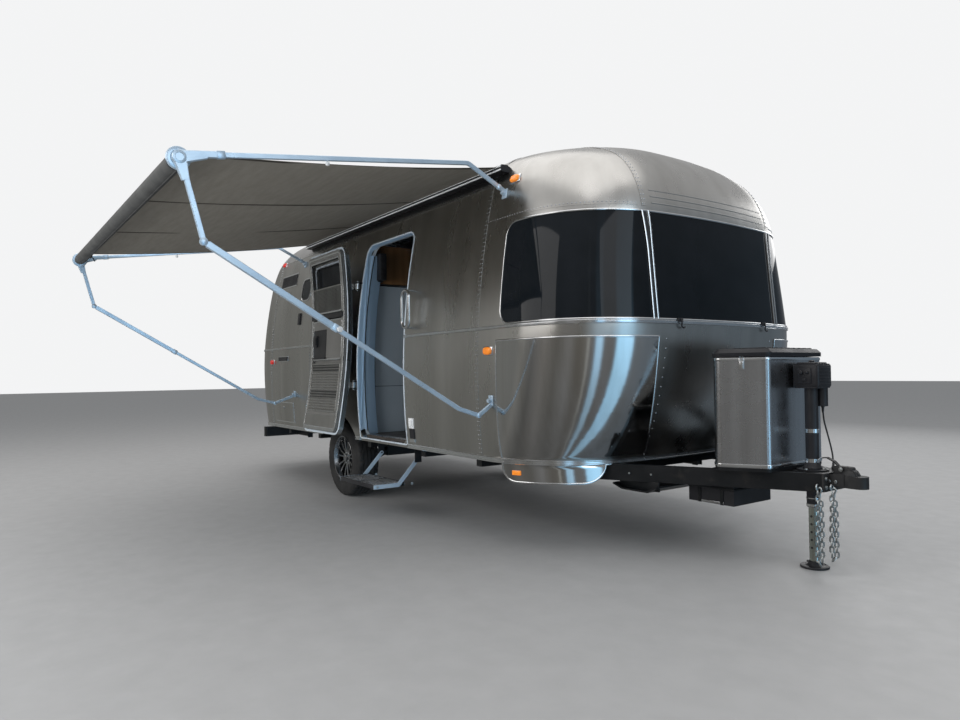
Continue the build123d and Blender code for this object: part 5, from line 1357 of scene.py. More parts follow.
def j_hooks():
    """Two black catches that hang below the front window's sill."""
    form = Form()
    for y in (-0.44, 0.44):
        z = BELT_Z + 0.014
        base = to_shell(Vector((outline(q_front(y, z), z).x, y, z)))
        n = normal_at(base)
        pts = [base + Vector((0, 0, 0.010)), base + n * 0.016 + Vector((0, 0, 0.004)),
               base + n * 0.021 + Vector((0, 0, -0.016)), base + n * 0.018 + Vector((0, 0, -0.040)),
               base + n * 0.020 + Vector((0, 0.016, -0.052)), base + n * 0.018 + Vector((0, 0.030, -0.044))]
        form.tube(fillet_path(pts, 0.010, 4), 0.0048, 10)
        form.box((-0.008, 0.008), (-0.022, 0.022), (-0.012, 0.012), 0.003,
                 at=Matrix.Translation(base + n * 0.006))
    form.make("window_catches", BLACK, "body", "black_plastic")


j_hooks()
rivet_piece()


# Door: built shut, then swung wide open about its leaning hinge line
HINGE_AT, HINGE_LEAN = Vector((-3.489, -1.2504, 1.050)), math.radians(2.93)
HINGE_AXIS = Vector((0, math.sin(HINGE_LEAN), math.cos(HINGE_LEAN)))
HINGE_HEIGHTS = (1.050, 1.930)
SWUNG = (Matrix.Translation(HINGE_AT) @ Matrix.Rotation(math.pi, 4, HINGE_AXIS)
         @ Matrix.Translation(-HINGE_AT))
DOOR_GAP, DOOR_LEAF, SCREEN_FACE = 0.014, 0.038, 0.066
LEAF_REAR, LEAF_FRONT = DOOR[0] + DOOR_GAP, DOOR[1] - DOOR_GAP
SCREEN_REAR, SCREEN_FRONT = DOOR[0] + 0.040, DOOR[1] - 0.040


def in_door(form):
    """Turns a form that was built shut to the open place."""
    form.verts = [tuple(SWUNG @ Vector(v)) for v in form.verts]
    return form


def side_point(x, z, depth=0.0, s=RIGHT):
    """Point of the side wall's form at a depth."""
    z_ = round(z, 6)
    a = math.atan2(z - BULGE_Z, half_width(z_) - SIDE_X)
    return Vector((x, s * (half_width(z_) - depth * math.cos(a)), z - depth * math.sin(a) * 0.0))


def side_normal(z, s=RIGHT):
    return normal_at(Vector((AXLE_X + 0.6, s * half_width(z), z)))


def door_sweep(form, x0, x1, z0, z1, r, depth, profile, inward=True, mat=0, steps=8, step=0.08):
    """A profile swept round a rounded rectangle of the door at a depth."""
    flat = rounded(x0, x1, z0, z1, r, steps)
    dense = []
    for (xa, za), (xb, zb) in zip(flat, flat[1:] + flat[:1]):
        n = max(1, round(math.hypot(xb - xa, zb - za) / step))
        dense += [(xa + (xb - xa) * i / n, za + (zb - za) * i / n) for i in range(n)]
    points = [side_point(x, z, depth) for x, z in dense]
    sign = -1 if inward else 1
    form.sweep(points, profile, [side_normal(p.z) * sign for p in points], closed=True, mat=mat)


def door_sheet(form, x0, x1, z0, z1, depth, thickness, r=0.02, mat=0, rows=None, steps=4):
    """A rounded rectangular sheet between two depths of the door."""
    n = rows or max(3, round((z1 - z0) / 0.06))
    zs = sorted({z0 + (z1 - z0) * i / n for i in range(n + 1)}
                | {z0 + r * (1 - math.cos(math.pi / 2 * i / steps)) for i in range(steps + 1)}
                | {z1 - r * (1 - math.cos(math.pi / 2 * i / steps)) for i in range(steps + 1)})
    outer, inner = [], []
    for z in zs:
        edge = min(z - z0, z1 - z)
        pull = r - math.sqrt(max(r * r - (r - edge) ** 2, 0)) if edge < r else 0.0
        xs = [x0 + pull, x1 - pull]
        outer.append([side_point(x, z, depth) for x in xs])
        inner.append([side_point(x, z, depth + thickness) for x in xs])
    loop_rows = [[a[0], a[1], b[1], b[0]] for a, b in zip(outer, inner)]
    form.grid(loop_rows, mat, wrap=True, caps=True)


def entry_door():
    x0, x1 = LEAF_REAR, LEAF_FRONT
    z0, z1 = DOOR[2] + DOOR_GAP, DOOR[3] - DOOR_GAP
    r = 0.076
    # edge mouldings: white and black lines round the leaf, as seen on its hinge edge
    white, black = Form(), Form()
    door_sweep(white, x0 + 0.010, x1 - 0.010, z0 + 0.010, z1 - 0.010, r - 0.010, DOOR_LEAF,
               [(-0.010, -0.002), (-0.010, 0.003), (-0.007, 0.005), (0.007, 0.005), (0.010, 0.003),
                (0.010, -0.002)])
    door_sweep(black, x0 + 0.030, x1 - 0.030, z0 + 0.030, z1 - 0.030, r - 0.026, DOOR_LEAF,
               [(-0.008, -0.002), (-0.008, 0.004), (-0.004, 0.0055), (0.004, 0.0055), (0.008, 0.004),
                (0.008, -0.002)])
    # outer skin edge bead
    door_sweep(white, x0 + 0.006, x1 - 0.006, z0 + 0.006, z1 - 0.006, r - 0.006, 0.0,
               [(-0.005, -0.002), (-0.005, 0.001), (-0.003, 0.0022), (0.003, 0.0022), (0.005, 0.001),
                (0.005, -0.002)],
               inward=False)
    # window frames on both faces
    pane = (DOOR[0] + 0.125, DOOR[1] - 0.125, 1.560, 2.160)
    for depth, inward in ((0.0, False), (DOOR_LEAF, True)):
        door_sweep(white, *pane[:2], *pane[2:], 0.060, depth,
                   [(-0.010, -0.002), (-0.010, 0.002), (-0.006, 0.004), (0.006, 0.004), (0.010, 0.002),
                    (0.010, -0.002)],
                   inward=inward)
        door_sweep(black, pane[0] + 0.013, pane[1] - 0.013, pane[2] + 0.013, pane[3] - 0.013, 0.048,
                   depth + (0.005 if not inward else -0.004),
                   [(-0.006, -0.002), (-0.006, 0.001), (0.006, 0.001), (0.006, -0.002)], inward=inward)
    in_door(white).make("door_edge_mouldings", PALE, "door", "bright_trim", sharp=40)
    in_door(black).make("door_seals", GASKET, "door", "black_plastic", sharp=40)
    # inner lining of the leaf, seen round the screen door
    lining = Form()
    door_sheet(lining, x0 + 0.012, x1 - 0.012, z0 + 0.012, 1.552, DOOR_LEAF + 0.0002, 0.0018, 0.05)
    in_door(lining).make("door_lining", DOOR_GREY, "door", "shell", sharp=50)
    # outer handle: a flush paddle in a dished plate with a lock
    hx1 = DOOR[1] - 0.014 - 0.030
    hx0 = hx1 - 0.080
    place_at = lambda x, z, out: side_point(x, z, -out)
    plate = Form()
    for (xa, xb, za, zb, lo, hi, mat) in ((hx0 - 0.010, hx1 + 0.006, 1.140, 1.330, -0.001, 0.006, 0),
                                          (hx0, hx1, 1.150, 1.320, 0.004, 0.012, 1),
                                          (hx0 + 0.012, hx1 - 0.012, 1.215, 1.312, 0.010, 0.029, 0)):
        rows = []
        for i in range(9):
            t = i / 8
            z = za + (zb - za) * t
            edge = min(t, 1 - t)
            swell = math.sin(math.pi * t) ** 0.5 if mat == 0 and hi > 0.02 else 1.0
            h = lo + (hi - lo) * swell
            inset = 0.012 if edge < 1e-6 else (0.003 if edge < 0.13 else 0.0)
            rows.append([place_at(xa + inset, z, -0.002), place_at(xa + inset, z, h - 0.002),
                         place_at(xa + inset + 0.003, z, h), place_at(xb - inset - 0.003, z, h),
                         place_at(xb - inset, z, h - 0.002), place_at(xb - inset, z, -0.002)])
        plate.grid(rows, mat, wrap=True, caps=True)
    lock = place_at((hx0 + hx1) / 2, 1.180, 0.010)
    plate.lathe([(0.013, 0.0), (0.013, 0.006), (0.011, 0.008), (0.004, 0.008), (0.003, 0.006)], lock,
                side_normal(1.180), 20)
    in_door(plate).make("door_handle", (BRIGHT, BLACK), "door", "bright_trim", sharp=35)


def screen_door():
    x0, x1 = SCREEN_REAR, SCREEN_FRONT
    z0, z1 = DOOR[2] + 0.040, DOOR[3] - 0.040
    face = SCREEN_FACE
    open0, open1 = x0 + 0.050, x1 - 0.050
    up = ((1.280, 1.640), (1.715, 2.190))
    frame = Form()
    # raised edge rails of the screen door
    door_sweep(frame, x0 + 0.016, x1 - 0.016, z0 + 0.016, z1 - 0.016, 0.042, face,
               [(-0.016, -0.006), (-0.016, 0.001), (-0.012, 0.003), (0.012, 0.003), (0.016, 0.001),
                (0.016, -0.006)])
    for za, zb in up:
        door_sweep(frame, open0, open1, za, zb, 0.030, face,
                   [(-0.007, -0.003), (-0.007, 0.0016), (-0.004, 0.003), (0.004, 0.003), (0.007, 0.0016),
                    (0.007, -0.003)])
    in_door(frame).make("screen_door_rails", BRIGHT, "door", "bright_trim", sharp=40)
    # mesh of the upper openings: fine crossed wires
    wires = Form()
    for (za, zb), pitch in zip(up, (0.0125, 0.0125)):
        n = int((open1 - open0 - 0.012) / pitch)
        for i in range(n + 1):
            x = open0 + 0.006 + (open1 - open0 - 0.012) * i / n
            line = [side_point(x, za + (zb - za) * k / 4, face - 0.010) for k in range(5)]
            wires.tube(line, 0.0009, 3, caps=False)
        n = int((zb - za - 0.012) / pitch)
        for i in range(n + 1):
            z = za + 0.006 + (zb - za - 0.012) * i / n
            wires.tube([side_point(open0 + 0.002, z, face - 0.008),
                        side_point(open1 - 0.002, z, face - 0.008)],
                       0.0009, 3, caps=False)
    in_door(wires).make("screen_mesh", BLACK, "door", "black_plastic")
    # guard grille over the lower part of the upper opening
    grille = Form()
    ga, gb = up[1][0] + 0.004, up[1][0] + 0.225
    for i in range(61):
        x = open0 + 0.006 + (open1 - open0 - 0.012) * i / 60
        grille.tube([side_point(x, ga + (gb - ga) * k / 3, face - 0.001) for k in range(4)], 0.0019, 4,
                    caps=False)
    for i in range(19):
        z = ga + (gb - ga) * i / 18
        grille.tube([side_point(open0 + 0.002, z, face), side_point(open1 - 0.002, z, face)], 0.0019, 4,
                    caps=False)
    door_sheet(grille, open0 + 0.002, open1 - 0.002, gb - 0.004, gb + 0.008, face - 0.002, 0.005, 0.002)
    in_door(grille).make("screen_grille", LOUVRE, "door", "stainless")
    # a solid panel behind the latch and a sliding latch box
    latch = Form()
    lx0, lx1 = x1 - 0.345, x1 - 0.052
    door_sheet(latch, lx0, lx1, 1.292, 1.628, face - 0.012, 0.010, 0.006, 0)
    door_sheet(latch, lx0 - 0.012, lx1, 1.287, 1.300, face - 0.001, 0.012, 0.003, 1)
    door_sheet(latch, lx1 - 0.105, lx1 - 0.020, 1.400, 1.510, face - 0.002, 0.014, 0.010, 1)
    door_sheet(latch, lx1 - 0.092, lx1 - 0.033, 1.420, 1.490, face + 0.012, 0.008, 0.008, 0)
    door_sheet(latch, x0 + 0.020, x1 - 0.020, 1.655, 1.700, face + 0.004, 0.006, 0.003, 0)
    in_door(latch).make("screen_latch", (BLACK_AND_PAINTED_SHADE, BLACK), "door", "black_plastic", sharp=40)
    # slider that closes the rest of the lower opening
    slider = Form()
    door_sheet(slider, open0 + 0.004, lx0 - 0.004, 1.285, 1.636, face - 0.010, 0.006, 0.010)
    in_door(slider).make("screen_slider", DOOR_GREY, "door", "locker_panel", sharp=40)
    # louvred panel
    louvres = Form()
    lo, hi = 0.800, 1.235
    door_sweep(louvres, open0 + 0.008, open1 - 0.008, lo, hi, 0.012, face,
               [(-0.008, -0.002), (-0.008, 0.004), (-0.005, 0.006), (0.005, 0.006), (0.008, 0.004),
                (0.008, -0.002)])
    n = 17
    for i in range(n):
        z = lo + 0.020 + (hi - lo - 0.040) * i / (n - 1)
        rows = []
        for x in (open0 + 0.016, open1 - 0.016):
            rows.append([side_point(x, z - 0.009, face - 0.0005), side_point(x, z - 0.002, face + 0.008),
                         side_point(x, z + 0.003, face + 0.009), side_point(x, z + 0.006, face + 0.003),
                         side_point(x, z + 0.008, face - 0.0005)])
        louvres.grid(rows, 0, wrap=True, caps=True)
    # kick panel with rolled edge
    door_sheet(louvres, x0 + 0.036, x1 - 0.036, z0 + 0.036, 0.765, face + 0.0002, 0.0030, 0.012)
    in_door(louvres).make("screen_louvres", LOUVRE, "door", "stainless", sharp=30)
    dark = Form()
    door_sheet(dark, open0 + 0.016, open1 - 0.016, lo + 0.008, hi - 0.008, face - 0.0006, 0.0012, 0.006)
    in_door(dark).make("louvre_shadow", BLACK_AND_PAINTED_SHADE, "door", "black_plastic")


def doorway():
    """The thin edge frame round the opening, the sill and the hinge knuckles."""
    x0, x1, z0, z1 = DOOR
    trim = Form()
    # a thin bright frame round the opening
    shift = 0.007
    flat = rounded(x0 - shift, x1 + shift, z0 - 0.0005, z1 + shift, (0.020, 0.097, 0.097, 0.020))
    dense = []
    for (xa, za), (xb, zb) in zip(flat, flat[1:] + flat[:1]):
        n = max(1, round(math.hypot(xb - xa, zb - za) / 0.08))
        dense += [(xa + (xb - xa) * i / n, za + (zb - za) * i / n) for i in range(n)]
    pts = [side_point(x, z, 0.0) for x, z in dense]
    trim.sweep(pts, [(-0.006, -0.003), (-0.006, 0.002), (-0.003, 0.0042), (0.003, 0.0042), (0.006, 0.002),
                     (0.006, -0.003)], [side_normal(p.z) for p in pts], closed=True)
    trim.make("doorway_bead", PALE, "body", "bright_trim", sharp=40)
    # sill plate with ribs
    sill = Form()
    low_y = -half_width(z0)
    sill.box((x0 + 0.020, x1 - 0.020), (low_y + 0.004, low_y + 0.054), (z0, z0 + 0.0050), 0.001)
    sill.box((x0 + 0.020, x1 - 0.020), (low_y + 0.050, low_y + 0.120), (z0, z0 + 0.0262), 0.003)
    for k in range(5):
        y = low_y + 0.059 + 0.013 * k
        sill.box((x0 + 0.030, x1 - 0.030), (y - 0.003, y + 0.003), (z0 + 0.025, z0 + 0.0285), 0.0012)
    sill.make("door_sill", BRUSHED, "body", "bright_trim", sharp=40)
    # hinge knuckles
    knuckles = Form()
    moving = Form()
    for z in HINGE_HEIGHTS:
        at = HINGE_AT + HINGE_AXIS * ((z - HINGE_AT.z) / HINGE_AXIS.z)
        for t in (-1, 1):
            knuckles.lathe([(0.0085, -0.001), (0.0125, 0.0), (0.0125, 0.0035), (0.0095, 0.0055),
                            (0.004, 0.0065)],
                           at + HINGE_AXIS * (t * 0.0382), HINGE_AXIS * t, 24)
        moving.lathe([(0.0152, -0.0255), (0.0166, -0.0235), (0.0166, -0.006), (0.0152, -0.004),
                      (0.0152, 0.004),
                      (0.0166, 0.006), (0.0166, 0.0235), (0.0152, 0.0255)], at, HINGE_AXIS, 24, caps=False)
    knuckles.make("hinge_caps", BRIGHT, "body", "bright_trim", sharp=30)
    moving.make("hinge_knuckles", BRIGHT, "door", "bright_trim", sharp=30)


def jambs():
    """The deep curved jambs of the doorway, in a pale blue that is painted reflection of daylight, and its
    seal.
    """
    x0, x1, z0, z1 = DOOR
    form, seal = Form(), Form()
    for x, t, deep in ((x0, 1, 0.185), (x1, -1, 0.090)):
        rows = []
        n = 24
        for i in range(n + 1):
            z = z0 + 0.026 + (z1 - 0.075 - z0 - 0.026) * i / n
            rows.append([
                side_point(x - t * 0.002, z, 0.0), side_point(x + t * 0.0035, z, 0.002),
                side_point(x + t * 0.0040, z, 0.012), side_point(x + t * 0.0015, z, 0.030),
                side_point(x + t * 0.0015, z, 0.048), side_point(x + t * 0.0035, z, 0.054),
                side_point(x + t * 0.0020, z, 0.078),
                side_point(x - t * 0.0060, z, 0.110 if t > 0 else 0.082),
                side_point(x - t * 0.0300, z, deep), side_point(x - t * 0.0330, z, deep),
                side_point(x - t * 0.0120, z, 0.082),
            ])
        form.grid(rows, 0, wrap=True, caps=True)
        line = [side_point(x + t * 0.0045, z0 + 0.03 + (z1 - 0.11 - z0) * i / 16, 0.070) for i in range(17)]
        seal.tube(line, 0.0045, 8)
    head = rounded(x0, x1, z0, z1, 0.090)[9:28]
    line = [side_point(x, z, 0.030) for x, z in head]
    form.sweep(line, [(-0.028, -0.004), (-0.028, 0.001), (0.028, 0.001), (0.028, -0.004)],
               [Vector((-(x - (x0 + x1) / 2), 0, 0)).normalized() * 0.35 + Vector((0, 0, -1)) for x,
                z in head])
    form.make("door_jambs", SKY_TINTED_JAMB, "body", "bright_trim", sharp=40)
    seal.make("doorway_seal", GASKET, "body", "black_plastic")


entry_door()
screen_door()
doorway()
jambs()


# Awning: cloth, wall rail hood, roller, and the castings of its arms
AWNING_FRONT, AWNING_REAR = -1.550, -4.950
ROLLER_FRONT, ROLLER_REAR = (-3.124, 2.236), (-3.214, 2.208)
ROLLER_R, CAP_R, CLOTH_OVER, CLOTH_SAG = 0.045, 0.060, 0.0003, 0.032
RAIL_Y = (-1.088, -1.000)
RAIL_Z = (2.500, 2.548)


def roller_at(x):
    t = (x - AWNING_REAR) / (AWNING_FRONT - AWNING_REAR)
    return tuple(a + (b - a) * t for a, b in zip(ROLLER_REAR, ROLLER_FRONT))


def arc_through(a, b, c, n):
    """Points of the arc through three (y, z) points."""
    (ax, ay), (bx, by), (cx, cy) = a, b, c
    d = 2 * (ax * (by - cy) + bx * (cy - ay) + cx * (ay - by))
    ux = ((ax ** 2 + ay ** 2) * (by - cy) + (bx ** 2 + by ** 2) * (cy - ay) + (cx ** 2 + cy ** 2)
          * (ay - by)) / d
    uy = ((ax ** 2 + ay ** 2) * (cx - bx) + (bx ** 2 + by ** 2) * (ax - cx) + (cx ** 2 + cy ** 2)
          * (bx - ax)) / d
    r = math.hypot(ax - ux, ay - uy)
    a0, a1 = math.atan2(ay - uy, ax - ux), math.atan2(cy - uy, cx - ux)
    if a1 - a0 > math.pi:
        a1 -= 2 * math.pi
    if a0 - a1 > math.pi:
        a1 += 2 * math.pi
    return [(ux + r * math.cos(a0 + (a1 - a0) * i / n), uy + r * math.sin(a0 + (a1 - a0) * i / n))
            for i in range(n + 1)]


def cloth_line(x, n=40):
    """The cloth's underside across the awning at one place, as (y, z), from the rail to over the roller."""
    y, z = roller_at(x)
    start = (RAIL_Y[0] + 0.002, RAIL_Z[1] - 0.014)
    end = (y, z + ROLLER_R + CLOTH_OVER)
    middle = ((start[0] + end[0]) / 2, (start[1] + end[1]) / 2 - CLOTH_SAG)
    return arc_through(start, middle, end, n)


SEAM_XS = [AWNING_REAR + 0.010 + (AWNING_FRONT - AWNING_REAR - 0.020) * i / 3 for i in range(4)]


def awning():
    x0, x1 = AWNING_REAR + 0.010, AWNING_FRONT - 0.010
    thick = 0.0016
    lines, rows_low, rows_high = [], [], []
    xs = [x0 + (x1 - x0) * i / 84 for i in range(85)]
    for x in xs:
        line = cloth_line(x)
        near = min(abs(x - s) for s in SEAM_XS)
        low, high = [], []
        for j, (y, z) in enumerate(line):
            t = j / 40
            slack = math.sin(math.pi * t)
            wave = 0.0022 * math.sin(3.1 * x + 7.0 * t) * slack + 0.0016 * math.sin(11.0 * x - 5.0
                                                                                    * t) * slack ** 2
            pucker = 0.0028 * math.exp(-(near / 0.035) ** 2) * slack
            low.append(Vector((x, y, z + wave + pucker)))
            high.append(Vector((x, y, z + wave + pucker + thick)))
        rows_low.append(low)
        rows_high.append(high)
        lines.append(low)
    form = Form()
    n = len(rows_low[0])
    form.grid([a + b[::-1] for a, b in zip(rows_low, rows_high)], 0, wrap=True, caps=False)
    for row in (0, len(xs) - 1):
        start = row * 2 * n
        for j in range(n - 1):
            form.faces.append((start + j, start + j + 1, start + 2 * n - 2 - j, start + 2 * n - 1 - j))
            form.mats.append(0)
    cloth = form.make("awning_canopy", CLOTH, "body", "awning_fabric", ("awning_cloth",), sharp=60)
    # sewn seams: doubled strips between the cloth's widths, hems along the edges
    seams_form = Form()
    for x in SEAM_XS:
        at = min(max(x, x0 + 0.014), x1 - 0.014)
        for off in (-0.0005 - 0.0012, thick):
            line = cloth_line(at)
            pts = [Vector((at, y, z + off + 0.0008 + 0.0026 * math.sin(math.pi * j / 40)))
                   for j, (y, z) in enumerate(line)]
            seams_form.sweep(pts, [(-0.013, -0.0006), (-0.013, 0.0006), (0.013, 0.0006), (0.013, -0.0006)],
                             [Vector((0, 0, 1))] * len(pts))
    seams_piece = seams_form.make("awning_seams", SEAM, "body", "awning_fabric", sharp=50)
    # roller: rolled cloth in a tube with a spiral edge, caps, a lock lever
    roll, caps = Form(), Form()
    xa, xb = AWNING_REAR - 0.040, AWNING_FRONT + 0.040
    ya, za = roller_at(xa)
    yb, zb = roller_at(xb)
    a, b = Vector((xa, ya, za)), Vector((xb, yb, zb))
    axis = (b - a).normalized()
    total = (b - a).length
    prof = [(0.030, -0.001), (0.041, 0.0), (0.041, 0.052), (0.0448, 0.053)]
    steps = 24
    prof += [(0.0448 - 0.0004 * (i % 2), 0.053 + (total - 0.106) * i / steps) for i in range(1, steps)]
    prof += [(0.0448, total - 0.053), (0.041, total - 0.052), (0.041, total), (0.030, total + 0.001)]
    roll.lathe(prof, a, axis, 36)
    roll.tube([a + axis * 0.055 + Vector((0, 0.006, -0.0445)),
               b - axis * 0.055 + Vector((0, 0.006, -0.0445))],
              0.0035, 8)
    roll.make("awning_roll", ROLLER, "body", "roller_fabric", ("awning_roller",), sharp=40)
    for end, outward in ((a, -axis), (b, axis)):
        caps.lathe([(0.046, -0.002), (CAP_R - 0.004, 0.0), (CAP_R, 0.003), (CAP_R, 0.013),
                    (CAP_R - 0.003, 0.0175),
                    (CAP_R - 0.010, 0.0195), (0.040, 0.0200), (0.038, 0.0180), (0.030, 0.0180),
                    (0.028, 0.0200),
                    (0.001, 0.0200)], end, outward, 40)
    caps.make("awning_caps", ARM, "body", "bright_trim", sharp=35)
    # latch near the roller's rear, small white knob below the rafter
    small = Form()
    y, z = roller_at(AWNING_REAR + 0.22)
    latch = Vector((AWNING_REAR + 0.22, y + 0.048, z + 0.002))
    small.box((-0.045, 0.045), (-0.010, 0.012), (-0.016, 0.014), 0.005, at=Matrix.Translation(latch))
    small.tube([latch + Vector((-0.02, 0.012, -0.004)), latch + Vector((-0.02, 0.030, -0.030)),
                latch + Vector((-0.012, 0.034, -0.044))], 0.0045, 10)
    small.make("awning_latch", IRON, "body", "black_plastic")
    # the hood over the wall rail, and two white strips along its rounded edges: painted highlights
    hood, lines_ = Form(), Form()
    section_ = [(RAIL_Y[0] + 0.020, 2.546), (RAIL_Y[0] + 0.004, 2.545), (RAIL_Y[0] - 0.001, 2.538),
                (RAIL_Y[0] - 0.001, 2.508), (RAIL_Y[0] + 0.004, 2.501), (RAIL_Y[0] + 0.030, 2.499),
                (RAIL_Y[0] + 0.086, 2.499), (RAIL_Y[0] + 0.086, 2.530), (RAIL_Y[0] + 0.050, 2.548)]
    hood.grid([[Vector((x, y, z)) for y, z in section_] for x in (xa, xb)], wrap=True, caps=True)
    hood.make("awning_hood", BLACK, "body", "black_plastic", ("awning_rail",), sharp=30)
    for y, z in ((RAIL_Y[0] - 0.002, 2.535), (RAIL_Y[0] - 0.002, 2.511)):
        lines_.sweep([Vector((xa + 0.004, y, z)), Vector((-3.2, y, z)), Vector((xb - 0.004, y, z))],
                     [(-0.0050, -0.002), (-0.0050, 0.0015), (-0.002, 0.003), (0.002, 0.003),
                      (0.0050, 0.0015),
                      (0.0050, -0.002)], [Vector((0, -1, 0))] * 3)
    lines_.make("awning_hood_painted_highlights", WHITE, "body", "bright_trim", sharp=40)


awning()

RAFTER_WALL = ((-1.050, 2.338), (-1.133, 2.377), (-1.380, 2.496))
SUPPORTS = {
    1: ((-1.470, 0.920), (-1.320, 0.872), (-1.175, 0.965)),
    -1: ((-1.611, 0.903), (-1.432, 0.855), (-1.182, 0.943)),
}


def awning_arms():
    """Arms of rounded rectangular bar with tapered castings, collars, knobs and wall feet."""
    bars, casts, knobs = Form(), Form(), Form()
    half_w, half_d = 0.014, 0.009

    def bar(points, form=bars, w=half_w, d=half_d):
        pts = fillet_path(points, 0.05, 5)
        profile = [(-w, -d + 0.003), (-w + 0.003, -d), (w - 0.003, -d), (w, -d + 0.003),
                   (w, d - 0.003), (w - 0.003, d), (-w + 0.003, d), (-w, d - 0.003)]
        form.sweep(pts, profile, [Vector((1, 0, 0))] * len(pts))

    for end, outward in ((AWNING_REAR - 0.040, -1), (AWNING_FRONT + 0.040, 1)):
        x = end + outward * 0.029
        ry, rz = roller_at(end)
        rafter_tip = Vector((x, ry + 0.030, rz + 0.020))
        rafter = [Vector((x, y, z)) for y, z in RAFTER_WALL] + [rafter_tip]
        bar(rafter)
        low = [Vector((x, ry + 0.020, rz - 0.050)), Vector((x, ry + 0.115, rz - 0.410))]
        wall = [Vector((x, y, z)) for y, z in SUPPORTS[outward]]
        bar(low + wall)
        # telescoping sleeves: a slightly larger bar over the first part of each arm
        for pts, share in ((rafter[2:][::-1], 0.10), ((low + wall)[1:3], 0.46)):
            a, b = pts[0], pts[1]
            bar([a.lerp(b, 0.012), a.lerp(b, share)], bars, half_w + 0.0035, half_d + 0.0030)
            tip = a.lerp(b, share)
            t = (b - a).normalized()
            casts.box((-0.013, 0.013), (-0.0205, 0.0205), (-0.022, 0.022), 0.004,
                      at=Matrix.Translation(tip) @ Vector((0, 0,
                                                           1)).rotation_difference(t).to_matrix().to_4x4())
        # the head casting that holds both arms to the roller's cap
        head = Vector((x, ry, rz))
        for tip, width in ((rafter_tip + Vector((0, 0.10, 0.01)), 0.020),
                           (low[0] + Vector((0, 0.01, -0.06)), 0.020)):
            a = head
            rows = []
            for i in range(7):
                t = i / 6
                c = a.lerp(tip, t)
                direction = (tip - a).normalized()
                across = direction.cross(Vector((1, 0, 0))).normalized()
                w = 0.040 + (width - 0.040) * t ** 0.6
                d = 0.0125 - 0.001 * t
                rows.append([c + across * (w * u) + Vector((d * v, 0, 0)) for u, v in
                             ((-1, -0.6), (-0.8, -1), (0.8, -1), (1, -0.6), (1, 0.6), (0.8, 1), (-0.8, 1),
                              (-1, 0.6))])
            casts.grid(rows, 0, wrap=True, caps=True)
        casts.lathe([(0.034, -0.012), (0.036, -0.008), (0.036, 0.008), (0.033, 0.013), (0.022, 0.015),
                     (0.020, 0.0125), (0.001, 0.0125)], head, (outward, 0, 0), 32)
        # knee casting and its knob
        knee = low[1]
        casts.lathe([(0.016, -0.012), (0.020, -0.010), (0.020, 0.010), (0.016, 0.0125), (0.001, 0.0125)],
                    knee,
                    (outward, 0, 0), 24)
        # support arm's knob halfway, wall feet at the lower ends and the rafters' hinges
        mid = low[1].lerp(wall[0], 0.47)
        knobs.lathe([(0.008, 0.0), (0.011, 0.006), (0.015, 0.010), (0.017, 0.018), (0.015, 0.025),
                     (0.001, 0.027)],
                    mid + Vector((outward * 0.011, 0, 0.0)), (outward, 0, 0), 20)
        under = rafter_tip.lerp(rafter[2], 0.44)
        knobs.lathe([(0.006, 0.0), (0.009, 0.008), (0.012, 0.012), (0.012, 0.024), (0.009, 0.028),
                     (0.001, 0.029)],
                    under + Vector((0, 0, -0.012)), (0, 0, -1), 18)
        for foot, axis in ((wall[1], (outward, 0, 0)), (rafter[1], (outward, 0, 0))):
            casts.lathe([(0.013, -0.012), (0.017, -0.010), (0.017, 0.010), (0.013, 0.0125), (0.001, 0.013)],
                        foot,
                        axis, 20)
        for top in (wall[-1], rafter[0]):
            on = to_shell(Vector((x, -half_width(top.z), top.z)))
            n = normal_at(on)
            frame_m = n.to_track_quat("Z", "Y").to_matrix().to_4x4()
            casts.box((-0.024, 0.024), (-0.034, 0.034), (-0.001, 0.006), 0.0025,
                      at=Matrix.Translation(on) @ frame_m)
            casts.tube([on + n * 0.002, on + n * 0.030], [0.016, 0.013], 16)
            for dz in (-0.024, 0.024):
                t = n.cross(Vector((1, 0, 0))).normalized()
                casts.lathe([(0.006, 0.0), (0.006, 0.003), (0.004, 0.0042), (0.001, 0.0044)],
                            on + t * dz + n * 0.006,
                            n, 12)
    bars.make("awning_bars", ARM, "body", "bright_trim", ("awning_arms",), sharp=35)
    casts.make("awning_castings", ARM, "body", "bright_trim", sharp=35)
    knobs.make("awning_knobs", WHITE, "body", "white_plastic", sharp=40)


awning_arms()

# Wheels and tyres
WHEEL_Y, TYRE_R = 1.0475, 0.356


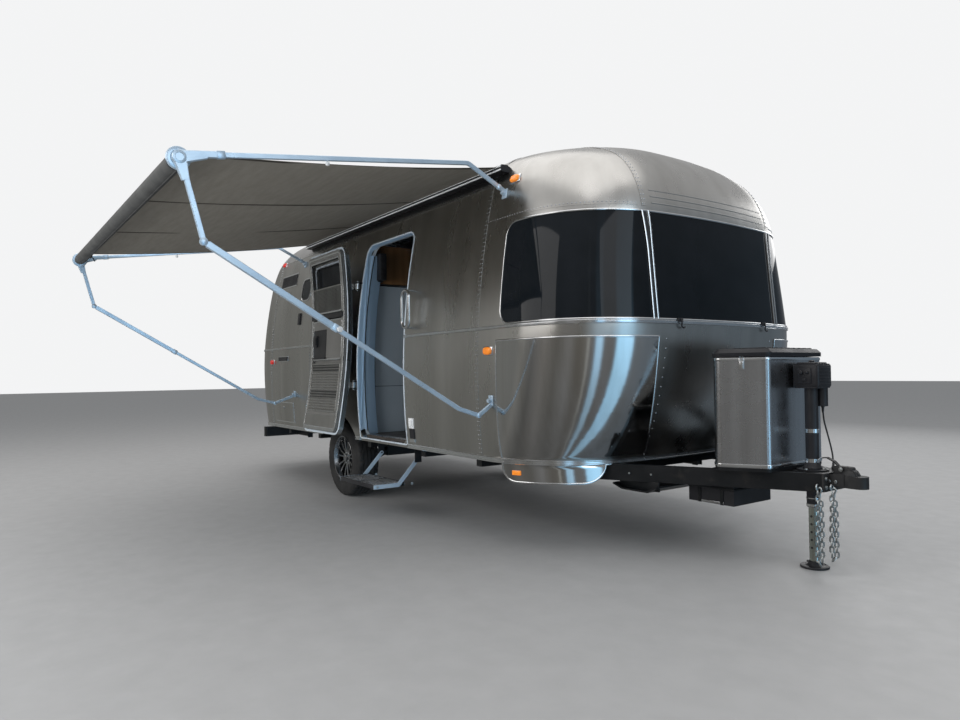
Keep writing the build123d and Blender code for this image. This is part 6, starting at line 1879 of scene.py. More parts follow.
def tyre(s, name):
    """A tyre with shoulder blocks, four ribs, sidewall rings and rim protector."""
    axis = Vector((0, s, 0))
    at = Vector((AXLE_X, s * WHEEL_Y, TYRE_R))
    profile = [
        (0.1985, 0.094, 0), (0.2060, 0.1010, 0), (0.2150, 0.1045, 0), (0.2190, 0.1080, 0),
        (0.2240, 0.1085, 0),
        (0.2280, 0.1065, 0), (0.2450, 0.1110, 0), (0.2650, 0.1125, 0), (0.2850, 0.1122, 0),
        (0.2900, 0.1112, 0),
        (0.2930, 0.1112, 0), (0.2950, 0.1115, 0), (0.3100, 0.1085, 0), (0.3130, 0.1080, 1),
        (0.3240, 0.1050, 1),
        (0.3380, 0.0990, 1), (0.3470, 0.0920, 1), (0.3515, 0.0840, 1), (0.3530, 0.0640, 1),
        (0.3530, 0.0615, 0),
        (0.3450, 0.0600, 0), (0.3450, 0.0520, 0), (0.3540, 0.0505, 2), (0.3555, 0.0280, 2),
        (0.3555, 0.0225, 0),
        (0.3470, 0.0215, 0), (0.3470, 0.0145, 0), (0.3557, 0.0135, 3), (0.3560, 0.0000, 3),
    ]
    mirrored = [(r, -a, k) for r, a, k in reversed(profile[:-1])]
    whole = profile + mirrored
    count = 156
    rows = []
    for i in range(count):
        angle = 2 * math.pi * i / count
        row = []
        for r, along, kind in whole:
            phase = i % 6
            dip = 0.0
            if kind == 1 and phase in (0,):
                dip = 0.0075
            if kind == 2 and (i + (2 if along > 0 else 4)) % 6 == 0:
                dip = 0.0060
            if kind == 3 and (i + 3) % 12 == 0:
                dip = 0.0040
            rr = r - dip
            row.append(at + axis * along + Vector((math.cos(angle), 0, math.sin(angle))) * rr)
        rows.append(row)
    form = Form()
    form.grid(rows, 0, ring=True)
    inner = [(0.1985, 0.094), (0.1960, 0.090), (0.1960, -0.090), (0.1985, -0.094)]
    form.grid([[at + axis * al + Vector((math.cos(2 * math.pi * i / count), 0,
                                         math.sin(2 * math.pi * i / count))) * r
                for r, al in inner] for i in range(count)], 0, ring=True)
    form.make(f"{name}_tyre_tread", RUBBER, f"{name}_wheel", "tyre", (f"{name}_tyre",), sharp=28)


def wheel(s, name):
    axis = Vector((0, s, 0))
    at = Vector((AXLE_X, s * WHEEL_Y, TYRE_R))
    alloy, dark, steel = Form(), Form(), Form()
    alloy.lathe([
        (0.1965, -0.104), (0.2060, -0.104), (0.2060, -0.099), (0.1985, -0.094), (0.1965, -0.080),
        (0.1965, 0.084),
        (0.1985, 0.094), (0.2060, 0.098), (0.2075, 0.101), (0.2070, 0.104), (0.2040, 0.1055),
        (0.2000, 0.1040),
        (0.1960, 0.096), (0.1930, 0.082), (0.1890, 0.070), (0.1870, 0.050), (0.1880, -0.090),
        (0.1910, -0.100),
    ], at, axis, 72, caps=False)
    # spokes: five pairs that part from the hub to the rim
    for k in range(7):
        base = 2 * math.pi * k / 7 + 0.2
        for t in (-1, 1):
            a0, a1 = base + t * 0.17, base + t * 0.205
            rows = []
            for i in range(9):
                u = i / 8
                r = 0.040 + (0.1925 - 0.040) * u
                a = a0 + (a1 - a0) * u
                direction = Vector((math.cos(a), 0, math.sin(a)))
                across = axis.cross(direction).normalized()
                w = 0.0105 - 0.0040 * math.sin(math.pi * min(u * 1.1, 1.0)) + 0.004 * max(u - 0.85,
                                                                                          0) / 0.15
                face = 0.060 + 0.010 * u ** 1.5 + 0.004 * math.sin(math.pi * u)
                c = at + direction * r
                rows.append([
                    c + across * (-w) + axis * (face - 0.028), c + across * (-w) + axis * (face - 0.004),
                    c + across * (-w * 0.62) + axis * face, c + across * (w * 0.62) + axis * face,
                    c + across * w + axis * (face - 0.004), c + across * w + axis * (face - 0.028),
                ])
            alloy.grid(rows, 0, wrap=True, caps=True)
    alloy.lathe([(0.030, 0.030), (0.058, 0.032), (0.063, 0.046), (0.061, 0.060), (0.052, 0.0645),
                 (0.036, 0.0660),
                 (0.034, 0.068), (0.034, 0.082), (0.030, 0.0845), (0.012, 0.0855), (0.001, 0.0855)], at,
                 axis, 48)
    for k in range(6):
        a = 2 * math.pi * (k + 0.5) / 6
        c = at + Vector((math.cos(a), 0, math.sin(a))) * 0.0475
        steel.lathe([(0.0095, 0.058), (0.0095, 0.070), (0.0075, 0.0735), (0.002, 0.0745)], c, axis, 6)
    valve = at + Vector((math.cos(1.0), 0, math.sin(1.0))) * 0.180
    steel.tube([valve + axis * 0.060, valve + axis * 0.096], [0.0045, 0.0038], 10)
    # brake drum, hub and its back plate
    drum_in, drum_out = 0.862 - WHEEL_Y, 0.950 - WHEEL_Y
    dark.lathe([(0.024, drum_in), (0.120, drum_in), (0.140, drum_in + 0.004), (0.140, drum_in + 0.020),
                (0.1365, drum_in + 0.022), (0.1365, drum_in + 0.030), (0.139, drum_in + 0.032),
                (0.139, drum_out - 0.012), (0.132, drum_out - 0.002), (0.058, drum_out), (0.058, 0.030),
                (0.024, 0.032)], at, axis, 56, caps=False)
    alloy.make(f"{name}_wheel_alloy", ALLOY, f"{name}_wheel", "wheel_alloy", (f"{name}_wheel",), sharp=32)
    steel.make(f"{name}_wheel_nuts", ZINC, f"{name}_wheel", "wheel_alloy", sharp=30)
    dark.make(f"{name}_brake_drum", DARK_STEEL, f"{name}_wheel", "wheel_alloy", sharp=30)


for side_sign, side_name in SIDES:
    tyre(side_sign, side_name)
    wheel(side_sign, side_name)


def dress(material, *names):
    """Gives a carried CAD node its material."""
    for name in names:
        obj = NODES[name]
        if not obj.material_slots:
            obj.data.materials.append(material)
        for slot in obj.material_slots:
            slot.material = material


dress(PANEL, "cabinets", "door_frame")
dress(DOOR_GREY, "screen_door")
dress(WOOD, "roof_locker")
dress(FLOORING, "floor_pan")
dress(ALUMINIUM, "entry_door", "access_hatch")
dress(GLASS, "entry_door_window")
dress(BRIGHT, "hinge_ears", "grab_handle")
dress(CHASSIS, "chassis_rails", "cross_members", "axle", "drawbar", "underfloor_hangers", "rear_bumper",
      "rear_right_stabiliser", "rear_left_stabiliser", "front_right_stabiliser", "front_left_stabiliser")
dress(IRON, "coupler")
dress(BLACK, "battery_box", "nose_jack", "gas_cover_lid")
dress(BRUSHED, "gas_cover", "vent_frame")
dress(BOTTLE, "gas_bottles")
dress(LEG_STEEL, "jack_leg")
dress(STEP_ALUMINIUM, "entry_step")
dress(WHITE, "vent_lid")
dress(LINER, "wheel_arches")


def bolt(form, at, axis, size=0.009, height=0.006, washer=True, mat=0):
    """A hexagon head on a washer."""
    if washer:
        form.lathe([(size * 1.35, 0.0), (size * 1.35, 0.0014), (0.001, 0.0016)], at, axis, 18, mat)
    a = Vector(axis).normalized()
    form.lathe([(size, 0.001), (size, height * 0.85), (size * 0.86, height), (0.001, height)],
               Vector(at) + a * 0.0, a,
               6, mat)


def step_details():
    ribs, frame_, caps = Form(), Form(), Form()
    x0, x1, y0, y1, z = -3.290, -2.680, -1.470, -1.200, 0.282
    for k in range(11):
        y = y0 + 0.022 + (y1 - y0 - 0.044) * k / 10
        for a, b in ((x0 + 0.018, (x0 + x1) / 2 - 0.012), ((x0 + x1) / 2 + 0.012, x1 - 0.018)):
            ribs.box((a, b), (y - 0.0065, y + 0.0065), (z - 0.001, z + 0.0055), 0.0020)
            n = 16
            for i in range(n):
                x = a + 0.010 + (b - a - 0.020) * i / (n - 1)
                ribs.box((x - 0.0022, x + 0.0022), (y - 0.0050, y + 0.0050), (z + 0.0045, z + 0.0072),
                         0.0008, steps=1)
    ribs.make("step_ribs", BRUSHED, "step", "stainless", sharp=40)
    frame_.box((x0 + 0.002, x1 - 0.002), (y0 - 0.004, y0 + 0.010), (z - 0.024, z + 0.006), 0.003)
    frame_.box((x0 + 0.002, x1 - 0.002), (y1 - 0.010, y1 + 0.002), (z - 0.022, z + 0.005), 0.003)
    for x in (x0 + 0.006, x1 - 0.006, (x0 + x1) / 2):
        frame_.box((x - 0.006, x + 0.006), (y0, y1), (z - 0.022, z + 0.005), 0.002)
    for k in range(4):
        x = x0 + 0.10 + (x1 - x0 - 0.20) * k / 3
        frame_.box((x - 0.012, x + 0.012), (y0 + 0.01, y1 - 0.01), (z - 0.030, z - 0.018), 0.003)
    frame_.make("step_frame", BLACK, "step", "black_plastic", sharp=40)
    for x, out in ((x0 - 0.006, -1), (x1 + 0.006, 1)):
        for y, zz in ((-1.135, 0.272), (-1.080, 0.460), (-1.44, 0.272)):
            bolt(caps, (x, y, zz), (out, 0, 0), 0.0085, 0.0045)
    caps.make("step_bolts", ZINC, "step", "stainless", sharp=30)


step_details()

# Gas cover: plan corners on the left; the right is its mirror image
COVER_PLAN = ((-0.405, 0.355), (-0.345, 0.425), (-0.092, 0.280))


def cover_loop(grow=0.0, radius=0.040, steps=6):
    """The cover's plan with its corners rounded, grown outwards."""
    pts = [Vector((x, -y, 0)) for x, y in COVER_PLAN] + [Vector((x, y, 0)) for x, y in reversed(COVER_PLAN)]
    n = len(pts)
    grown = []
    for i in range(n):
        a, b, c = pts[i - 1], pts[i], pts[(i + 1) % n]
        u, v = (b - a).normalized(), (c - b).normalized()
        nu, nv = Vector((u.y, -u.x, 0)), Vector((v.y, -v.x, 0))
        m = (nu + nv).normalized()
        grown.append(b + m * (grow / max(m.dot(nu), 0.2)))
    loop = []
    r = radius + grow
    for i in range(n):
        a, b, c = grown[i - 1], grown[i], grown[(i + 1) % n]
        u, v = (a - b).normalized(), (c - b).normalized()
        half = u.angle(v) / 2
        reach = r / math.tan(half)
        centre = b + (u + v).normalized() * (r / math.sin(half))
        s0, s1 = b + u * reach - centre, b + v * reach - centre
        sweep = s0.angle(s1)
        for k in range(steps + 1):
            t = k / steps
            loop.append(centre + s0 * (math.sin((1 - t) * sweep) / math.sin(sweep))
                        + s1 * (math.sin(t * sweep) / math.sin(sweep)))
    return loop


def loop_normals(loop):
    n = len(loop)
    return [((loop[(i + 1) % n] - loop[i - 1]).normalized()).cross(Vector((0, 0, 1))) for i in range(n)]


def gas_cover():
    bright, black, skin = Form(), Form(), Form()
    for z, w, h in ((0.592, 0.020, 0.0035), (1.206, 0.016, 0.003)):
        loop = [p + Vector((0, 0, z)) for p in cover_loop(0.0006)]
        bright.sweep(loop, bead(w, h), loop_normals(loop), closed=True)
    # the lid: a stepped, chamfered skirt whose flanks carry fine ribs
    fine = []
    for grow, z in ((0.0085, 1.2215), (0.0105, 1.2228), (0.0105, 1.2262), (0.0082, 1.2275),
                                   (0.0082, 1.2300), (0.0105, 1.2312), (0.0105, 1.2346), (0.0082, 1.2358),
                                   (0.0082, 1.2384), (0.0105, 1.2396), (0.0105, 1.2436), (0.0060, 1.2490),
                                   (-0.0060, 1.2600), (-0.0130, 1.2668), (-0.0300, 1.2680)):
        fine.append([p + Vector((0, 0, z)) for p in cover_loop(grow)])
    black.grid(fine, 0, wrap=True)
    top = fine[-1]
    centre = sum(top, Vector()) / len(top)
    inner_loop = [centre.lerp(p, 0.55) + Vector((0, 0, 0.0030)) for p in top]
    black.grid([top, inner_loop], 0, wrap=True)
    black.add([p for p in inner_loop] + [centre + Vector((0, 0, 0.0040))],
              [(i, (i + 1) % len(top), len(top)) for i in range(len(top))])
    for k in range(9):
        y = -0.24 + 0.06 * k
        black.box((-0.350, -0.130), (y - 0.010, y + 0.010), (1.2675, 1.2745), 0.003)
    black.make("gas_lid_cap", BLACK, "gas_lid", "black_plastic", ("gas_cover_lid",), sharp=26)
    # toggle latches of the lid on both flanks
    for s, _ in SIDES:
        at = Vector((-0.215, s * 0.3535, 1.180))
        n = Vector((0.497, s * 0.868, 0)).normalized()
        m = Matrix.Translation(at + n * 0.001) @ n.to_track_quat("Z", "Y").to_matrix().to_4x4()
        skin.box((-0.014, 0.014), (-0.034, 0.034), (-0.002, 0.004), 0.002, at=m)
        skin.box((-0.010, 0.010), (-0.028, 0.016), (0.003, 0.011), 0.003, at=m)
        skin.tube([m @ Vector((-0.008, 0.016, 0.008)), m @ Vector((-0.008, 0.044, 0.010)),
                   m @ Vector((0.008, 0.044, 0.010)), m @ Vector((0.008, 0.016, 0.008))], 0.0018, 8)
    bright.make("gas_cover_trims", BRIGHT, "body", "bright_trim", sharp=35)
    skin.make("gas_lid_latches", BRIGHT, "body", "bright_trim", sharp=35)


gas_cover()


def nose_jack():
    head, silver, zinc = Form(), Form(), Form()
    # head housing with ribs, a rounded cap, switch panel, knobs and a crank port
    head.box((-0.078, 0.079), (-0.0655, 0.0875), (1.036, 1.176), 0.016, steps=3)
    for k in range(6):
        z = 1.058 + 0.018 * k
        head.box((-0.0805, -0.060), (-0.050, 0.070), (z - 0.004, z + 0.004), 0.002)
        head.box((0.060, 0.0812), (-0.050, 0.070), (z - 0.004, z + 0.004), 0.002)
    head.box((-0.060, 0.060), (-0.050, 0.072), (1.170, 1.1845), 0.010, steps=3)
    head.lathe([(0.016, 0.0), (0.016, 0.010), (0.012, 0.014), (0.006, 0.015), (0.001, 0.015)],
               (0.0, 0.01, 1.182),
               (0, 0, 1), 24)
    head.box((-0.040, 0.040), (-0.0725, -0.060), (1.060, 1.150), 0.005)
    head.lathe([(0.013, 0.0), (0.013, 0.012), (0.010, 0.016), (0.001, 0.017)], (-0.018, -0.0715, 1.125),
               (0, -1, 0), 20)
    head.lathe([(0.009, 0.0), (0.009, 0.010), (0.006, 0.014), (0.001, 0.0145)], (0.018, -0.0715, 1.125),
               (0, -1, 0), 18)
    head.box((-0.012, 0.012), (-0.080, -0.071), (1.076, 1.092), 0.003)
    # motor can below the head
    head.lathe([(0.020, 0.0), (0.0285, 0.002), (0.0285, 0.018), (0.0265, 0.020), (0.0265, 0.030),
                (0.0285, 0.032),
                (0.0285, 0.112), (0.031, 0.116), (0.031, 0.126)], (0.038, 0.054, 0.928), (0, 0, 1), 36)
    # collar that bolts the tube to the drawbar's web, black lower sleeve
    head.lathe([(0.0365, 0.0), (0.052, 0.002), (0.052, 0.016), (0.046, 0.024), (0.040, 0.040),
                (0.0365, 0.046)],
               (0, 0, 0.560), (0, 0, 1), 40)
    for k in range(3):
        a = 2 * math.pi * k / 3 + 0.5
        bolt(zinc, (0.068 * math.cos(a), 0.068 * math.sin(a), 0.567), (0, 0, 1), 0.009, 0.007)
    head.lathe([(0.0365, 0.0), (0.074, 0.0), (0.086, 0.002), (0.086, 0.008), (0.0365, 0.008)], (0, 0, 0.560),
               (0, 0, 1),
               40)
    # silver bands round the tube
    for z0, z1 in ((0.605, 0.628), (0.776, 0.800), (0.352, 0.368), (0.396, 0.404)):
        silver.lathe([(0.0360, 0.0), (0.0378, 0.001), (0.0378, z1 - z0 - 0.001), (0.0360, z1 - z0)],
                     (0, 0, z0),
                     (0, 0, 1), 40)
    silver.lathe([(0.0272, 0.0), (0.0325, 0.001), (0.0325, 0.004), (0.0300, 0.005), (0.0272, 0.005)],
                 (0, 0, 0.3450),
                 (0, 0, 1), 36)
    head.make("jack_head_details", BLACK, "body", "black_plastic", sharp=32)
    silver.make("jack_bands", BRIGHT, "body", "bright_trim", sharp=35)
    zinc.make("jack_bolts", ZINC, "body", "jack_steel", sharp=30)
    # the sliding leg: adjustment holes drawn as thin dark discs of painted shade, foot socket, dished black
    # foot, pull pin
    leg, foot = Form(), Form()
    for k in range(5):
        z = 0.115 + 0.045 * k
        leg.lathe([(0.0070, 0.0), (0.0070, 0.00085), (0.0052, 0.00087), (0.0050, 0.00083),
                   (0.001, 0.00083)],
                  (0, -0.0262, z), (0, -1, 0), 16)
    foot.lathe([(0.0775, 0.0005), (0.0785, 0.003), (0.0785, 0.0095), (0.0760, 0.0125), (0.066, 0.0130),
                (0.062, 0.0110),
                (0.048, 0.0112), (0.040, 0.016), (0.0345, 0.022), (0.0330, 0.035), (0.0285, 0.0395),
                (0.0270, 0.0395)],
               (0, 0, 0), (0, 0, 1), 48, caps=False)
    foot.tube([(-0.046, 0, 0.028), (0.046, 0, 0.028)], 0.0050, 12)
    foot.tube([(0.046, 0, 0.028), (0.056, 0, 0.030), (0.060, 0.010, 0.026), (0.052, 0.014, 0.020)], 0.0018,
              8)
    leg.make("jack_leg_hole_shade", BLACK_AND_PAINTED_SHADE, "jack", "jack_steel", sharp=30)
    foot.make("jack_foot", BLACK, "jack", "black_plastic", sharp=32)


nose_jack()


def link_chain(form, points, wire=0.0050, link=0.038, width=0.0135):
    """A chain of oval links along a path, each turned a quarter from the last."""
    path = [Vector(p) for p in points]
    pitch = link - 2 * wire
    total = sum((b - a).length for a, b in zip(path, path[1:]))
    count = int(total / pitch)

    def at(d):
        for a, b in zip(path, path[1:]):
            length = (b - a).length
            if d <= length:
                return a.lerp(b, d / length), (b - a).normalized()
            d -= length
        return path[-1], (path[-1] - path[-2]).normalized()

    for i in range(count):
        c, t = at(pitch * (i + 0.5))
        side = t.cross(Vector((0.3, 1, 0.2))).normalized()
        other = t.cross(side)
        angle = math.pi / 4 + (math.pi / 2) * (i % 2)
        across = side * math.cos(angle) + other * math.sin(angle)
        loop = []
        straight = link / 2 - width / 2 - wire
        for k in range(14):
            a = 2 * math.pi * k / 14
            u = math.cos(a)
            along = (straight if u > 0 else -straight) + (width / 2 + wire / 2) * u
            loop.append(c + t * along + across * ((width / 2 + wire / 2) * math.sin(a)))
        form.tube(loop, wire, 7, wrap=True)


def coupler_details():
    iron, zinc, chain = Form(), Form(), Form()
    # cast coupler: rounded nose over the socket, cheek ribs, lever, latch pin and bolts
    iron.lathe([(0.034, -0.058), (0.047, -0.056), (0.0495, -0.050), (0.0495, -0.010), (0.047, 0.010),
                (0.040, 0.026),
                (0.028, 0.037), (0.014, 0.0425), (0.001, 0.044)], (0.2145, 0, 0.545), (0, 0, 1), 40,
                caps=False)
    for y in (-0.0500, 0.0500):
        rows = []
        for x, z0, z1 in ((0.112, 0.492, 0.548), (0.140, 0.492, 0.556), (0.175, 0.496, 0.562),
                          (0.205, 0.500, 0.560)):
            rows.append([Vector((x, y - 0.003, z0)), Vector((x, y + 0.003, z0)), Vector((x, y + 0.003, z1)),
                         Vector((x, y - 0.003, z1))])
        iron.grid(rows, 0, wrap=True, caps=True)
    lever = fillet_path([(0.150, 0, 0.600), (0.128, 0, 0.622), (0.088, 0, 0.640), (0.060, 0, 0.636)], 0.012,
                        5)
    iron.sweep(lever, [(-0.014, -0.003), (-0.014, 0.003), (0.014, 0.003), (0.014, -0.003)],
               [Vector((0, 0, 1))] * len(lever))
    iron.box((0.128, 0.236), (-0.0245, 0.0245), (0.548, 0.600), 0.010, steps=3)
    iron.tube([(0.182, -0.040, 0.586), (0.182, 0.040, 0.586)], 0.0058, 14)
    for y in (-0.040, 0.040):
        bolt(zinc, (0.182, y, 0.586), (0, 1 if y > 0 else -1, 0), 0.0090, 0.0075)
    for x in (0.124, 0.160):
        for y in (-0.048, 0.048):
            bolt(zinc, (x, y + (0.003 if y > 0 else -0.003), 0.516), (0, 1 if y > 0 else -1, 0), 0.0095,
                 0.0075)
    # bolts through the plate across the drawbar's tips
    for y in (-0.085, 0.085):
        for z in (0.482, 0.530):
            bolt(zinc, (0.1225, y, z), (1, 0, 0), 0.0095, 0.0075)
    iron.make("coupler_casting", IRON, "body", "chassis_paint", sharp=38)
    # two safety chains that hang from the drawbar's sides, each with its hook hitched up
    for y, x, drop, swing in ((-0.120, 0.092, 0.425, 0.002), (-0.070, 0.146, 0.395, 0.004)):
        a = Vector((x, y, 0.478))
        path = [a + Vector((0, 0, -0.014)), a + Vector((0.006, -0.010, -0.11)),
                a + Vector((-0.002, -0.008, -drop + 0.10)), a + Vector((0.000, -0.012, -drop + 0.030)),
                a + Vector((swing + 0.004, -0.004, -drop + 0.008)),
                a + Vector((swing + 0.014, 0.006, -drop + 0.026)),
                a + Vector((swing + 0.010, 0.012, -drop + 0.10)), a + Vector((0.016, 0.010, -drop / 2)),
                a + Vector((0.010, 0.010, -0.050))]
        link_chain(chain, path)
        hook = a + Vector((0.012, 0.003, -0.036))
        pts = [hook + Vector((0, 0, -0.012)), hook + Vector((0, 0, 0.010)),
               hook + Vector((0.010, 0, 0.026)),
               hook + Vector((0.004, 0, 0.042)), hook + Vector((-0.012, 0, 0.040)),
               hook + Vector((-0.017, 0, 0.024))]
        chain.tube(fillet_path(pts, 0.012, 5), [0.0052] * len(fillet_path(pts, 0.012, 5)), 10)
        eye = [a + Vector((0, 0.016 * math.sin(k), 0.006 + 0.016 * math.cos(k)))
               for k in (2 * math.pi * i / 20 for i in range(20))]
        chain.tube(eye, 0.0055, 8, wrap=True)
    chain.make("safety_chains", ZINC, "body", "jack_steel", sharp=50)
    zinc.make("coupler_bolts", ZINC, "body", "jack_steel", sharp=30)


coupler_details()


def underbody():
    """A sloping pan and a service box below the drawbar, welded lips, marks and screws."""
    dark, pale, light = Form(), Form(), Form()
    # battery box: lid with a lip, straps
    dark.box((-0.644, -0.316), (-0.304, 0.084), (0.438, 0.460), 0.006)
    dark.box((-0.648, -0.312), (-0.308, 0.088), (0.425, 0.438), 0.003)
    for x in (-0.560, -0.400):
        dark.box((x - 0.012, x + 0.012), (-0.306, 0.086), (0.333, 0.440), 0.003)
    pale.box((-0.545, -0.385), (-0.3055, -0.3035), (0.338, 0.352), 0.001)
    # sloping pan in front of the body's foot
    rows = []
    for x, z in ((-1.005, 0.420), (-0.930, 0.395), (-0.720, 0.395), (-0.650, 0.430)):
        rows.append([Vector((x, -0.600, z)), Vector((x, -0.600, z + 0.010)), Vector((x, 0.600, z + 0.010)),
                     Vector((x, 0.600, z))])
    dark.grid(rows, 0, wrap=True, caps=True)
    for y in (-0.55, -0.18, 0.18, 0.55):
        dark.box((-0.985, -0.665), (y - 0.008, y + 0.008), (0.402, 0.462), 0.002)
    # small screws along the drawbar
    for x, y in ((-0.83, -0.600), (-0.70, -0.548), (-0.20, -0.228)):
        bolt(light, (x, -abs(y) - 0.036, 0.510), (0.55, -0.83, 0), 0.0065, 0.004, washer=False)
    dark.make("underbody_pans", CHASSIS, "body", "chassis_paint", sharp=35)
    pale.make("service_box_plate", BRUSHED, "body", "white_plastic", sharp=35)
    light.make("drawbar_screws", ZINC, "body", "jack_steel", sharp=30)


underbody()


def lamps():
    """Side markers on cast bases, tail lamps in bright frames, and the guard's orange reflector."""
    amber, red, base_ = Form(), Form(), Form()
    rows = ((-1.507, 1.289, 0), (-1.392, 2.421, 0), (-5.700, 1.295, 1), (-5.700, 2.421, 1))
    for x, z, kind in rows:
        for s, _ in SIDES:
            w, corner, turn, front, rear, fx, rx = plan(round(z, 6))
            if x > fx:
                y = w - corner + math.sqrt(max(corner ** 2 - (x - fx) ** 2, 0))
            elif x < rx:
                y = w - corner + math.sqrt(max(corner ** 2 - (x - rx) ** 2, 0))
            else:
                y = w
            p = Vector((x, s * y, z))
            n = normal_at(p)
            t = Vector((0, 0, 1)).cross(n).normalized()
            up = n.cross(t)
            m = Matrix((t, up, n)).transposed().to_4x4()
            m = Matrix.Translation(p) @ m
            form = amber if kind == 0 else red
            base_.box((-0.050, 0.050), (-0.0300, 0.0300), (-0.006, 0.006), 0.004, at=m, steps=3)
            lens = []
            for grow, h in ((1.0, 0.005), (1.0, 0.010), (0.93, 0.0165), (0.78, 0.0208), (0.45, 0.0222)):
                lens.append([m @ Vector((0.0445 * grow * math.copysign(abs(math.cos(a)) ** 0.75,
                                                                       math.cos(a)),
                                         0.0260 * grow * math.copysign(abs(math.sin(a)) ** 0.75,
                                                                       math.sin(a)), h))
                             for a in (2 * math.pi * i / 32 for i in range(32))])
            form.grid(lens, 0, wrap=True, caps=True)
            for k in range(6):
                u = -0.024 + 0.0096 * k
                form.box((u - 0.0016, u + 0.0016), (-0.0165, 0.0165), (0.018, 0.0226), 0.0006, at=m,
                         steps=1)
    # tail lamps
    for s, _ in SIDES:
        for z0, z1, form in ((0.770, 0.862, red), (0.868, 0.952, red), (0.958, 1.050, amber)):
            yy = s * 0.900
            z = (z0 + z1) / 2
            rear = plan(round(z, 6))[4]
            x = rear + BOW - math.sqrt(BOW ** 2 - yy * yy)
            w, corner, turn, front, rear, fx, rx = plan(round(z, 6))
            if abs(yy) > BOW * math.sin(turn):
                dy = abs(yy) - (w - corner)
                x = rx - math.sqrt(max(corner ** 2 - dy ** 2, 0))
            p = Vector((x, yy, z))
            n = normal_at(p)
            t = Vector((0, 0, 1)).cross(n).normalized()
            m = Matrix.Translation(p) @ Matrix((t, n.cross(t), n)).transposed().to_4x4()
            h = (z1 - z0) / 2
            form.box((-0.066, 0.066), (-h + 0.003, h - 0.003), (-0.01, 0.018), 0.012, at=m, steps=3)
            for k in range(7):
                v = -h + 0.012 + (2 * h - 0.024) * k / 6
                form.box((-0.056, 0.056), (v - 0.0018, v + 0.0018), (0.016, 0.0195), 0.0008, at=m, steps=1)
            base_.box((-0.076, 0.076), (-h - 0.006, h + 0.006), (-0.012, 0.008), 0.010, at=m, steps=3)
    # reflectors low on the guards, in the amber lens material with its painted glow
    for s, _ in SIDES:
        z = 0.505
        q = 1.74 if s == RIGHT else 10 - 1.74
        p = outline(q, z, GUARD_PROUD)
        n = Vector((normal_at(outline(q, z)).x, normal_at(outline(q, z)).y, 0)).normalized()
        t = Vector((0, 0, 1)).cross(n).normalized()
        m = Matrix.Translation(p) @ Matrix((t, n.cross(t), n)).transposed().to_4x4()
        amber.box((-0.032, 0.032), (-0.015, 0.015), (-0.003, 0.007), 0.0035, at=m)
    amber.make("amber_lenses", AMBER, "body", "amber_lens", ("amber_lamps",), sharp=40)
    red.make("red_lenses", RED, "body", "red_lens", ("red_lamps",), sharp=40)
    base_.make("lamp_bases", BRIGHT, "body", "bright_trim", sharp=40)


lamps()


def wall_plate(form, x0, x1, z0, z1, height, s=RIGHT, mat=0):
    """A plate of one height laid on a side wall."""
    n = max(2, round((z1 - z0) / 0.05))
    rows = []
    for z in (z0 + (z1 - z0) * i / n for i in range(n + 1)):
        w = half_width(z)
        rows.append([Vector((x0, s * (w - 0.002), z)), Vector((x0 + 0.002, s * (w + height), z)),
                     Vector((x1 - 0.002, s * (w + height), z)), Vector((x1, s * (w - 0.002), z))])
    form.grid(rows, mat, wrap=True, caps=True)


